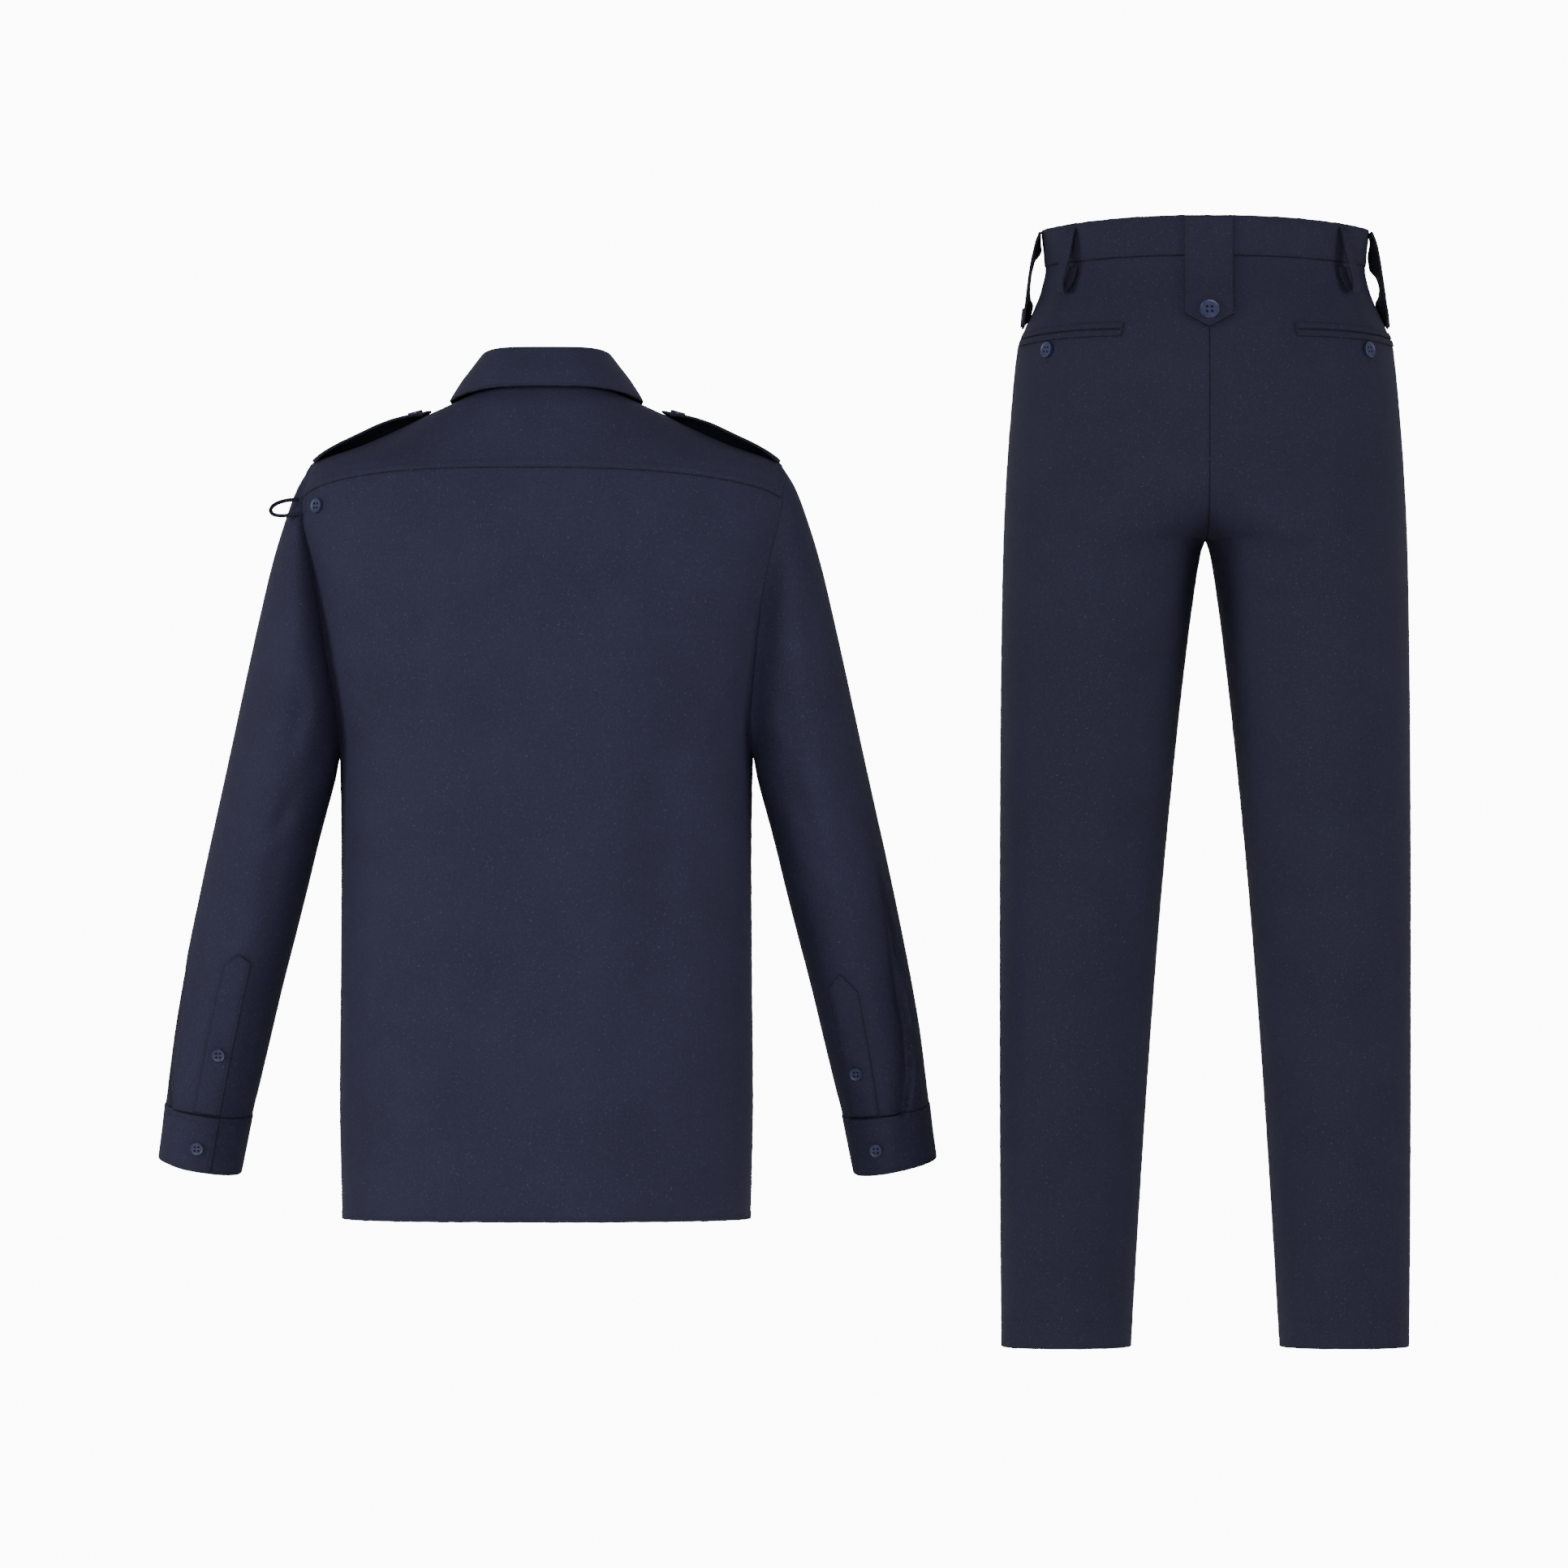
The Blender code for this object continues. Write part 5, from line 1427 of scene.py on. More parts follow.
class SleeveTube(Surface):
    """The outside of a sleeve and its cuff, by turn round it and ring down it."""

    rings = (
        (217, -55, 190, -322, 57, 0, 0, 0),
        (230, -76, 191.8, -330, 60, 0, 0, 0),
        (242, -108, 194, -342, 63, 0, 0, 0),
        (253.5, -146, 197.5, -356, 65, 1, 0.01, 0),
        (265, -194, 203, -376, 66, 3, 0.03, 0),
        (277.5, -250, 211, -406, 66, 6, 0.05, 0),
        (290.5, -310, 220.5, -445, 64, 10, 0.07, 0.5),
        (304, -371, 232, -490, 61, 15, 0.09, 1.2),
        (318, -434, 244.5, -538, 57, 21, 0.11, 2),
        (332, -503, 257, -590, 51, 28, 0.13, 3),
        (345.5, -580, 267, -631, 45, 36, 0.15, 4),
        (354, -645, 273.5, -656, 41, 43, 0.15, 4),
        (357, -671, 279, -683, 39.5, 46, 0.15, 0),
        (360.5, -696, 284.5, -710, 39, 49, 0.15, 0),
    )
    cuff_seam = 11.0
    cuff_edge = 13.0
    cap_blend = 3.0
    step = (1.0, 0.02)

    def __init__(self, side: Side, body: ShirtBody) -> None:
        """Read the rings.

        Args:
            side: Which sleeve.
            body: The shirt's body, whose armhole the sleeve leaves.
        """
        self.side = side
        self.body = body
        self.outer_x, self.outer_z, self.inner_x, self.inner_z, *others = curves_of(self.rings)
        self.half_depth, self.forward, self.tilt, self.pleat = others
        self.creases = SLEEVE_CREASES[side]

    def tube(self, turn: Array, ring: Array) -> Array:
        """The sleeve's own tube, before it is drawn to the armhole.

        Args:
            turn: Degrees round it.
            ring: Number of the ring.

        Returns:
            Points.
        """
        fading = 1.0 - ease((ring - 2.0) / 6.0)
        drawn = 12.0 * ease(ring / 1.5) * fading
        radians = np.radians(turn - drawn * np.sin(np.radians(turn)))
        sine, cosine = np.sin(radians), np.cos(radians)
        depth = -self.half_depth(ring) * sine
        aside = (turn % 360.0 - 38.0) / 16.0
        depth = depth - np.where(sine > 0.0, self.pleat(ring) * np.exp(-aside * aside) * sine, 0.0)
        outer_x, inner_x = self.outer_x(ring), self.inner_x(ring)
        outer_z, inner_z = self.outer_z(ring), self.inner_z(ring)
        x = (outer_x + inner_x) / 2 + (outer_x - inner_x) / 2 * cosine
        z = (outer_z + inner_z) / 2 + (outer_z - inner_z) / 2 * cosine + self.tilt(ring) * depth
        return stacked(x * self.side.value, self.forward(ring) + depth, z)

    def base(self, first: Array, second: Array) -> Array:
        """The smooth outside.

        Args:
            first: Degrees round the sleeve.
            second: Number of the ring.

        Returns:
            Points.
        """
        points = self.tube(first, second)
        near = np.maximum(1.0 - second / self.cap_blend, 0.0) ** 2
        start = self.body.filled(*self.body.armhole(self.side, first))
        return self.body.sunk(points + (start - self.tube(first, np.zeros_like(second))) * near[..., None])

    def base_normal(self, first: Array, second: Array) -> Array:
        """The outward direction of the smooth outside.

        Args:
            first: Degrees round the sleeve.
            second: Number of the ring.

        Returns:
            Unit vectors.
        """
        across = self.base(first + 1.0, second) - self.base(first - 1.0, second)
        high, low = np.minimum(second + 0.05, self.cuff_edge), np.maximum(second - 0.05, 0.0)
        return unit(np.cross(across, self.base(first, high) - self.base(first, low))) * self.side.value


SHIRT_CREASES: tuple[Crease, ...] = (
    Crease(((-150, -190), (-162, -300), (-160, -420), (-166, -560)), 20, 1.6),
    Crease(((-40, -150), (-46, -320), (-58, -520), (-66, -745)), 26, -2, hollow=0.2),
    Crease(((-112, -420), (-120, -560), (-128, -750)), 13, 1.4),
    Crease(((0, -300), (-8, -460), (-22, -620), (-26, -748)), 17, 1.3),
    Crease(((118, -150), (112, -300), (104, -470), (96, -680)), 19, -1.9, hollow=0.3),
    Crease(((150, -230), (146, -380), (140, -560), (136, -748)), 17, 1.5),
    Crease(((64, -430), (52, -560), (40, -700)), 13, 1.1),
    Crease(((-180, -235), (-150, -262), (-118, -300)), 9, 1.1),
    Crease(((-188, -286), (-158, -306), (-132, -340)), 7, 0.9),
    Crease(((186, -232), (160, -262), (136, -306)), 9, 1.2),
    Crease(((190, -282), (166, -300), (146, -336)), 7, -0.9),
    Crease(((-30, -62), (-34, -96), (-40, -140)), 7, 0.5),
    Crease(((22, -62), (24, -90), (28, -126)), 6, 0.45),
    Crease(((-86, -66), (-92, -110), (-98, -170)), 10, 0.7),
    Crease(((98, -68), (94, -120), (88, -190)), 11, 0.8),
    Crease(((-120, -180), (-128, -330), (-124, -520), (-130, -745)), 22, 2.2, Facing.FRONT),
    Crease(((-70, -250), (-76, -420), (-72, -640)), 18, -1.7, Facing.FRONT, 0.3),
    Crease(((72, -220), (70, -400), (78, -600), (76, -745)), 20, 1.8, Facing.FRONT),
    Crease(((128, -200), (132, -360), (126, -560)), 19, 2, Facing.FRONT),
    Crease(((-182, -238), (-150, -262), (-116, -300)), 9, 1.3, Facing.FRONT),
    Crease(((184, -240), (152, -268), (120, -312)), 9, 1.2, Facing.FRONT),
    Crease(((-60, -70), (-78, -120), (-92, -190)), 12, 1, Facing.FRONT),
    Crease(((64, -74), (80, -126), (88, -200)), 12, 0.9, Facing.FRONT),
)

SLEEVE_CREASES: dict[Side, tuple[Crease, ...]] = {
    Side.LEFT: (
        Crease(((-226, -130), (-240, -230), (-258, -340), (-276, -450)), 13, 1.7),
        Crease(((-216, -200), (-226, -300), (-244, -400), (-262, -500)), 10, -1.6, hollow=0.3),
        Crease(((-205, -270), (-222, -310), (-246, -352)), 8, 1.4),
        Crease(((-200, -310), (-220, -345), (-250, -392)), 7, -1.1),
        Crease(((-212, -372), (-238, -396), (-272, -424)), 8, 1.2),
        Crease(((-258, -470), (-280, -500), (-312, -520)), 8, 1),
        Crease(((-290, -430), (-306, -520), (-318, -600), (-330, -648)), 9, 1.3),
        Crease(((-262, -520), (-272, -580), (-284, -640)), 7, -0.9),
        Tuck(
            (
                (-308.6, -406.5), (-331, -487.5), (-338.6, -554.2),
                (-344, -588), (-348, -611.2), (-346, -655),
            ),
            11.0,
            1.6,
            dip=3.0,
            mouth=5.0,
        ),
        Crease(((-228, -150), (-246, -270), (-268, -400), (-290, -520)), 13, 1.8, Facing.FRONT),
        Crease(((-206, -280), (-230, -330), (-262, -380)), 9, 1.5, Facing.FRONT),
        Crease(((-236, -430), (-262, -460), (-296, -476)), 8, -1.2, Facing.FRONT),
        Crease(((-280, -520), (-296, -590), (-306, -650)), 8, 1.2, Facing.FRONT),
    ),
    Side.RIGHT: (
        Crease(((222, -140), (238, -240), (256, -350), (278, -470)), 14, 1.6),
        Crease(((210, -220), (224, -320), (242, -420)), 10, -1.5, hollow=0.3),
        Crease(((203, -280), (224, -318), (250, -366)), 8, 1.3),
        Crease(((204, -330), (226, -362), (256, -404)), 7, -1),
        Crease(((222, -398), (246, -428), (280, -452)), 8, 1.1),
        Tuck(
            ((301.9, -401.2), (323.6, -504), (330.4, -546), (335.6, -574.5), (337.9, -615), (332.6, -655)),
            12.0,
            2.0,
            dip=3.0,
            mouth=11.0,
        ),
        Crease(((266, -500), (282, -560), (296, -630)), 8, -1),
        Crease(((270, -470), (292, -500), (322, -516)), 8, 0.9),
        Crease(((222, -160), (244, -280), (266, -400), (292, -530)), 13, 1.7, Facing.FRONT),
        Crease(((208, -290), (232, -336), (264, -386)), 9, 1.4, Facing.FRONT),
        Crease(((238, -440), (266, -466), (300, -482)), 8, -1.1, Facing.FRONT),
        Crease(((282, -530), (298, -600), (308, -650)), 8, 1.1, Facing.FRONT),
    ),
}


@dataclass
class Shirt:
    """Every piece of the shirt."""

    room: Workroom
    thickness: float = 1.3
    pitch: float = 4.8
    front_pitch: float = 5.2
    core: Point = (0.0, 0.0, -300.0)
    stitching: Stitching = field(default_factory=lambda: Stitching("shirt_stitches"))
    body: ShirtBody = field(default_factory=ShirtBody)

    def build(self) -> None:
        """Build the pieces in the order in which they are sewn."""
        self.build_back()
        self.build_yoke()
        for side in Side:
            self.build_front(side)
        Collar(self.room, self.body, self.stitching).build()
        for side in Side:
            Sleeve(self.room, side, SleeveTube(side, self.body), self.stitching).build()
            ShoulderStrap(self.room, side, self.body, self.stitching).build()
        KeeperLoop(self.room).build()

    def build_back(self) -> None:
        """The back, with its hem, its side seams and the puckers under the yoke."""
        panel = Panel.cut("back_panel", self.body.back, self.thickness, self.pitch, self.core)
        panel.meet(*FREE_EDGES)
        panel.pucker(Edge.LAST_ROW, 0.5, 12.0, 15.0, 0.4)
        panel.pucker(Edge.FIRST_ROW, 0.4, 9.0, 21.0, 1.7)
        panel.welt(Edge.FIRST_ROW, 7.0, 0.5).groove(Edge.FIRST_ROW, 3.8, 0.35)
        for edge, phase in ((Edge.FIRST_COLUMN, 0.0), (Edge.LAST_COLUMN, 2.2)):
            panel.welt(edge, 8.5, 0.55).groove(edge, 6.2, 0.4)
            panel.pucker(edge, 0.32, 9.0, 17.0, phase)
        panel.settle()
        self.room.hang(panel, "shirt_back", "shirt_cloth", Held.HUNG)
        self.stitching.hem(panel, 3.8, 3.0, Edge.FIRST_ROW)
        for edge in COLUMNS:
            self.stitching.sew(panel.line(edge, 6.2, both=4.0))
            self.stitching.sew(panel.line(edge, 2.4, 0.0, 0.075, both=2.0))

    def build_yoke(self) -> None:
        """The yoke, lapped over the back with two rows of stitches."""
        panel = Panel.cut("yoke_panel", self.body.yoke, self.thickness, 3.4, self.core)
        panel.meet(*COLUMNS, Edge.FIRST_ROW)
        panel.welt(Edge.FIRST_ROW, 9.5, 0.8)
        panel.groove(Edge.FIRST_ROW, 1.5, 0.35).groove(Edge.FIRST_ROW, 7.6, 0.4)
        panel.pucker(Edge.FIRST_ROW, 0.34, 8.0, 12.0, 0.9).settle()
        self.room.hang(panel, "shirt_yoke", "shirt_cloth", Held.HUNG)
        self.stitching.hem(panel, 1.5, 2.0, Edge.FIRST_ROW)
        self.stitching.hem(panel, 7.6, 4.0, Edge.FIRST_ROW)
        self.stitching.hem(panel, 2.0, 3.0, *COLUMNS)

    def build_front(self, side: Side) -> None:
        """A front, with its hem, side seam and front edge.

        Args:
            side: Which front.
        """
        name, patch = f"{side.word}_front_panel", self.body.front(side)
        panel = Panel.cut(name, patch, self.thickness, self.front_pitch, self.core)
        panel.meet(Edge.FIRST_COLUMN, Edge.LAST_ROW)
        panel.welt(Edge.FIRST_ROW, 7.0, 0.5).groove(Edge.FIRST_ROW, 3.8, 0.35)
        panel.pucker(Edge.FIRST_ROW, 0.4, 9.0, 19.0, 0.6 + side.value)
        panel.pucker(Edge.FIRST_COLUMN, 0.32, 9.0, 16.0, 1.1 + side.value)
        panel.pucker(Edge.LAST_COLUMN, 0.2, 10.0, 26.0, 0.3)
        panel.settle()
        self.room.hang(panel, f"{side.word}_front", "shirt_cloth", Held.HUNG)
        self.stitching.hem(panel, 3.8, 3.0, Edge.FIRST_ROW)
        self.stitching.sew(panel.line(Edge.FIRST_COLUMN, 2.4, 0.0, 0.075, both=2.0))
        if side is Side.LEFT:
            self.stitching.hem(panel, 2.4, 3.0, Edge.LAST_COLUMN)
            self.stitching.hem(panel, 32.0, 3.0, Edge.LAST_COLUMN)


class CollarSurface(Surface):
    """The collar's stand and fall, by angle round the neck."""

    stand = (55.0, 56.0, 59.0, 50.0, 46.0, -10.0, 5.0)
    edge = (88.5, 76.0, 92.0, 15.8, 3.2, -72.0, 3.4)
    profile = (
        (0, -1.3, 1.1),
        (0, 1.7, 1.1),
        (0.06, 2.9, 0.5),
        (0.22, 3.2, 0),
        (0.5, 3.2, 0),
        (0.78, 1.8, 0),
        (1, 0, 0),
    )

    def __init__(self, body: ShirtBody) -> None:
        """Read the fall's profile."""
        self.body = body
        self.share, self.out, self.up = curves_of(self.profile)

    @staticmethod
    def hoop(sizes: tuple[float, ...], squareness: float, angle: Array) -> Array:
        """A point on a collar hoop.

        Args:
            sizes: Half width, depth behind and in front, height behind, at the side and in front,
                and flatness behind.
            squareness: Of the hoop.
            angle: Degrees from the back.

        Returns:
            Points.
        """
        turn = np.radians(angle)
        sine, cosine = np.sin(turn), np.cos(turn)
        depth = np.where(cosine > 0.0, sizes[1], sizes[2])
        end_z = np.where(cosine > 0.0, sizes[3], sizes[5])
        share = np.where(cosine > 0.0, 1.0 - np.abs(sine) ** sizes[6], cosine**2)
        z = blend(sizes[4], end_z, share)
        return stacked(sizes[0] * powered(sine, squareness), -depth * powered(cosine, squareness), z)

    def stand_point(self, angle: Array, share: Array) -> Array:
        """A point on the stand, from the neck seam to the fold.

        Args:
            angle: Degrees from the back.
            share: 0 at the seam, 1 at the fold.

        Returns:
            Points.
        """
        foot = self.body.base(angle, np.full_like(angle, self.body.neck))
        foot[..., 2] += 0.45 + 1.5 * ease((np.abs(angle) - 120.0) / 40.0)
        return blend(foot, self.hoop(self.stand, 2.4, angle), np.asarray(share)[..., None])

    def stand_normal(self, angle: Array, share: Array) -> Array:
        """The outward direction of the stand.

        Args:
            angle: Degrees from the back.
            share: 0 at the seam, 1 at the fold.

        Returns:
            Unit vectors.
        """
        share = np.clip(share, 0.02, 0.98)
        across = self.stand_point(angle + 0.01, share) - self.stand_point(angle - 0.01, share)
        along = self.stand_point(angle, share + 0.01) - self.stand_point(angle, share - 0.01)
        return unit(np.cross(across, along))

    @staticmethod
    def lap(angle: Array) -> Array:
        """How far the stand's left end stands out over the right one."""
        return 2.0 * ease((-angle - 158.0) / 12.0)

    def fall_point(self, across: Array, row: Array) -> Array:
        """A point on the fall's underside, from over the stand's top to its lower edge.

        Args:
            across: Share from the left point to the right one.
            row: Place in the profile.

        Returns:
            Points.
        """
        share = self.share(row)
        top_angle = blend(-173.0, 173.0, across)
        top = self.hoop(self.stand, 2.4, top_angle)
        outward = self.stand_normal(top_angle, np.ones_like(top_angle))
        outward[..., 2] = 0.0
        outward = unit(outward)
        edge = self.hoop(self.edge, 2.15, blend(-157.0, 157.0, across))
        out = self.out(row) + self.lap(top_angle) * (1.0 - share)
        points = blend(top, edge, share[..., None]) + outward * out[..., None]
        points[..., 2] += self.up(row)
        return points


@dataclass
class Collar:
    """The collar stand and the fall folded over it."""

    room: Workroom
    body: ShirtBody
    stitching: Stitching
    stand_cloth: float = 1.3
    fall_cloth: float = 1.8

    def build(self) -> None:
        """Build the stand, then the fall."""
        shape = CollarSurface(self.body)
        end = 180.0 + float(self.body.oval.angle_at(self.body.front_lap, self.body.neck))

        def stand(across: Array, along: Array) -> Array:
            """The stand's patch.

            Args:
                across: Share across it.
                along: Share along it.

            Returns:
                Points.
            """
            angle = blend(-end, end, across)
            over = shape.stand_normal(angle, along) * shape.lap(angle)[..., None]
            return shape.stand_point(angle, along) + over

        core = (0.0, 0.0, -60.0)
        panel = Panel.cut("collar_stand_band", stand, self.stand_cloth, 3.4, core).settle()
        self.room.hang(panel, "collar_stand", "shirt_cloth", Held.FOLDED)
        self.stitching.hem(panel, 3.0, 2.0, Edge.FIRST_ROW)

        def fall(across: Array, along: Array) -> Array:
            """The fall's patch.

            Args:
                across: Share across it.
                along: Share along it.

            Returns:
                Points.
            """
            row = along * (len(shape.profile) - 1.0)
            under = shape.fall_point(across, row)
            inside = np.clip(row, 0.02, len(shape.profile) - 1.02)
            wide = shape.fall_point(np.minimum(across + 0.004, 1.0), inside)
            wide = wide - shape.fall_point(np.maximum(across - 0.004, 0.0), inside)
            down = shape.fall_point(across, inside + 0.02) - shape.fall_point(across, inside - 0.02)
            return under + unit(np.cross(down, wide)) * self.fall_cloth

        panel = Panel.cut("collar_fall_leaf", fall, self.fall_cloth, 2.6, (0.0, 0.0, -20.0))
        panel.groove(Edge.LAST_ROW, 3.0, 0.35)
        panel.pucker(Edge.LAST_ROW, 0.22, 8.0, 18.0, 0.5)
        for edge in COLUMNS:
            panel.groove(edge, 3.0, 0.3)
        panel.settle()
        self.room.hang(panel, "collar_fall", "shirt_cloth", Held.FOLDED)
        self.stitching.hem(panel, 3.0, 3.0, Edge.LAST_ROW)
        for edge in COLUMNS:
            self.stitching.sew(panel.line(edge, 3.0, 0.3, 1.0, both=3.0))


@dataclass(frozen=True)
class OpeningCut:
    """Where a sleeve's opening, its cuff's lap and its placket lie, in turns and rings of the sleeve."""

    lap: float
    slant: float
    underlap: float
    near: tuple[float, float]
    far: tuple[float, float]
    head: tuple[float, float, float]
    bar: float
    tip: float = 0.54
    foot: float = 10.94


OPENINGS: dict[Side, OpeningCut] = {
    Side.LEFT: OpeningCut(106, 0, 34, (106, 107.5), (71, 78.5), (8.12, 8.2, 8.57), 105),
    Side.RIGHT: OpeningCut(141, 9, 52, (141, 130), (99, 96), (8.25, 8.23, 8.73), 82),
}


@dataclass
class Sleeve:
    """A sleeve with its cuff and its pointed placket."""

    room: Workroom
    side: Side
    tube: SleeveTube
    stitching: Stitching
    thickness: float = 1.3
    cuff_cloth: float = 2.4

    def build(self) -> None:
        """Build the sleeve, its cuff and its placket."""
        self.build_sleeve()
        self.build_cuff()
        self.build_placket()

    def build_sleeve(self) -> None:
        """The sleeve from the armhole to the cuff seam."""

        def patch(across: Array, along: Array) -> Array:
            """The sleeve's patch, its first rows turned in under the body's edge.

            Args:
                across: Share across it.
                along: Share along it.

            Returns:
                Points.
            """
            turn, ring = across * 360.0, along * self.tube.cuff_seam
            inward = -self.tube.body.base_normal(*self.tube.body.armhole(self.side, turn))
            back = unit(self.tube.base(turn, ring * 0.0) - self.tube.base(turn, ring * 0.0 + 0.3))
            under = ease(1.0 - ring / 0.12)
            return self.tube.point(turn, ring) + (inward * 1.7 + back * 2.0) * under[..., None]

        panel = Panel.cut(f"{self.side.word}_sleeve_panel", patch, self.thickness, 3.4, ring=True)
        panel.meet(Edge.LAST_ROW)
        panel.pucker(Edge.FIRST_ROW, 0.4, 11.0, 16.0, 0.7 * self.side.value)
        panel.pucker(Edge.LAST_ROW, 0.45, 12.0, 14.0, 1.9 * self.side.value)
        # Paint shade into the cloth where each pleat's mouth lies under its fold.
        for crease in self.tube.creases:
            if isinstance(crease, Tuck):
                panel.gloom = np.maximum(panel.gloom, crease.gloom(panel.points, panel.normals))
        panel.settle()
        self.room.hang(panel, f"{self.side.word}_sleeve", "shirt_cloth", Held.HUNG)

    def build_cuff(self) -> None:
        """The cuff, whose end with the buttonhole laps over the other."""
        cut = OPENINGS[self.side]
        whole = 360.0 + cut.underlap

        def patch(across: Array, along: Array) -> Array:
            """The cuff's patch.

            Args:
                across: Share across it.
                along: Share along it.

            Returns:
                Points.
            """
            turn = cut.lap + 2.0 * cut.slant * along - whole * across
            past = whole * across - cut.underlap - 2.0
            lift = 1.0 + (self.cuff_cloth + 0.5) * (1.0 - ease(past / 28.0))
            corner = ease((along - 0.86) / 0.14) * np.exp(-across * 60.0)
            ring = blend(self.tube.cuff_seam, self.tube.cuff_edge, along - 0.06 * corner)
            return self.tube.point(turn % 360.0, ring, lift)

        panel = Panel.cut(f"{self.side.word}_cuff_band", patch, self.cuff_cloth, 2.8)
        panel.meet(Edge.FIRST_ROW)
        for edge, away in ((Edge.FIRST_ROW, 5.0), (Edge.LAST_ROW, 3.0), (Edge.FIRST_COLUMN, 3.0)):
            panel.groove(edge, away, 0.35)
        panel.pucker(Edge.FIRST_ROW, 0.16, 6.0, 13.0, 0.2).pucker(Edge.LAST_ROW, 0.1, 6.0, 17.0, 1.2)
        panel.settle()
        self.room.hang(panel, f"{self.side.word}_cuff", "shirt_cloth", Held.FOLDED)
        self.stitching.hem(panel, 5.0, 3.0, Edge.FIRST_ROW)
        self.stitching.hem(panel, 3.0, 3.0, Edge.LAST_ROW)
        self.stitching.hem(panel, 3.0, 3.0, Edge.FIRST_COLUMN)

    def build_placket(self) -> None:
        """The pointed band sewn over the sleeve's opening."""
        cut = OPENINGS[self.side]

        def patch(across: Array, along: Array) -> Array:
            """The placket's patch.

            Args:
                across: Share across it.
                along: Share along it.

            Returns:
                Points.
            """
            near = blend(*cut.near, 1.0 - (1.0 - along) ** 2)
            turn = blend(near, blend(*cut.far, along), across)
            head = np.interp(across, (0.0, cut.tip, 1.0), cut.head)
            return self.tube.point(turn, blend(cut.foot, head, along), self.thickness + 0.6)

        core = tuple(self.tube.tube(np.array([0.0, 180.0]), np.array([9.7, 9.7])).mean(axis=0))
        panel = Panel.cut(f"{self.side.word}_placket_band", patch, self.thickness, 2.6, core)
        for edge in FREE_EDGES:
            panel.groove(edge, 2.4, 0.3)
        panel.settle()
        self.room.hang(panel, f"{self.side.word}_sleeve_placket", "shirt_cloth", Held.LAID)
        self.stitching.hem(panel, 2.2, 2.0, *COLUMNS)
        self.stitching.hem(panel, 2.2, 2.0, Edge.LAST_ROW)
        self.stitching.sew(panel.line(Edge.FIRST_ROW, OPENINGS[self.side].bar, both=2.0))


@dataclass
class ShoulderStrap:
    """A shoulder strap, sewn at the armhole and buttoned near the collar."""

    room: Workroom
    side: Side
    body: ShirtBody
    stitching: Stitching
    cloth: float = 2.4

    def spot(self, along: Array, across: Array) -> tuple[Array, Array]:
        """The angle and level under a spot of the strap.

        Args:
            along: Share from the armhole.
            across: -1 behind, 1 in front.

        Returns:
            Signed angle and level.
        """
        level = blend(-53.5, blend(-6.5, -11.0, np.abs(across)), along)
        half = blend(24.0, 20.0, along)
        depth = np.where(across < 0.0, self.body.oval.back_depth(level), self.body.oval.front_depth(level))
        lean = np.degrees(np.arcsin((np.abs(across) * half / depth) ** (self.body.squareness / 2.0)))
        return self.side.value * (90.0 + np.copysign(lean, across)), level

    def build(self) -> None:
        """Build the strap with its edge stitches."""

        def patch(wide: Array, along: Array) -> Array:
            """The strap's patch.

            Args:
                wide: Share across it.
                along: Share along it.

            Returns:
                Points.
            """
            across = 2.0 * wide - 1.0
            angle, level = self.spot(along, across)
            rise = 11.5 * blend(1.0, 0.08, (1.0 + across) / 2.0)
            arch = rise * np.sin(np.pi * np.clip(along, 0.0, 1.0)) ** 0.8
            out = self.body.base_normal(angle, level) * (0.5 + self.cloth)
            return self.body.base(angle, level) + out + stacked(0.0, 0.0, arch)

        core = (0.0, 0.0, -300.0)
        panel = Panel.cut(f"{self.side.word}_strap", patch, self.cloth, 2.6, core)
        for edge in FREE_EDGES:
            panel.groove(edge, 2.8, 0.35)
        panel.settle()
        self.room.hang(panel, f"{self.side.word}_shoulder_strap", "shirt_cloth", Held.LAID)
        self.stitching.hem(panel, 2.8, 2.8, *FREE_EDGES)


def strip_patch(middles: Array, halves: Array) -> Patch:
    """The patch of a narrow strip of cloth that follows a line.

    Args:
        middles: Points of its middle line.
        halves: Half-width vector at each.

    Returns:
        The patch, across the strip and along it.
    """
    middle, half = curves_of(middles), curves_of(halves)

    def patch(across: Array, along: Array) -> Array:
        """Points of the strip's middle layer.

        Args:
            across: Share across it.
            along: Share along it.

        Returns:
            Points.
        """
        at = along * (len(middles) - 1.0)
        line = np.stack([curve(at) for curve in middle], axis=-1)
        wide = np.stack([curve(at) for curve in half], axis=-1)
        return line + wide * (2.0 * across - 1.0)[..., None]

    return patch


def strip_panel(name: str, middles: Array, halves: Array, cloth: float, pitch: float) -> Panel:
    """A narrow strip of cloth as a panel whose face lies half its thickness out from its line.

    Args:
        name: The piece's name.
        middles: Points of its middle line.
        halves: Half-width vector at each.
        cloth: Thickness.
        pitch: Distance between the grid's lines.

    Returns:
        The settled panel.
    """
    panel = Panel.cut(name, strip_patch(middles, halves), cloth, pitch, tuple(middles.mean(axis=0)))
    panel.rise += cloth / 2.0
    return panel.settle()


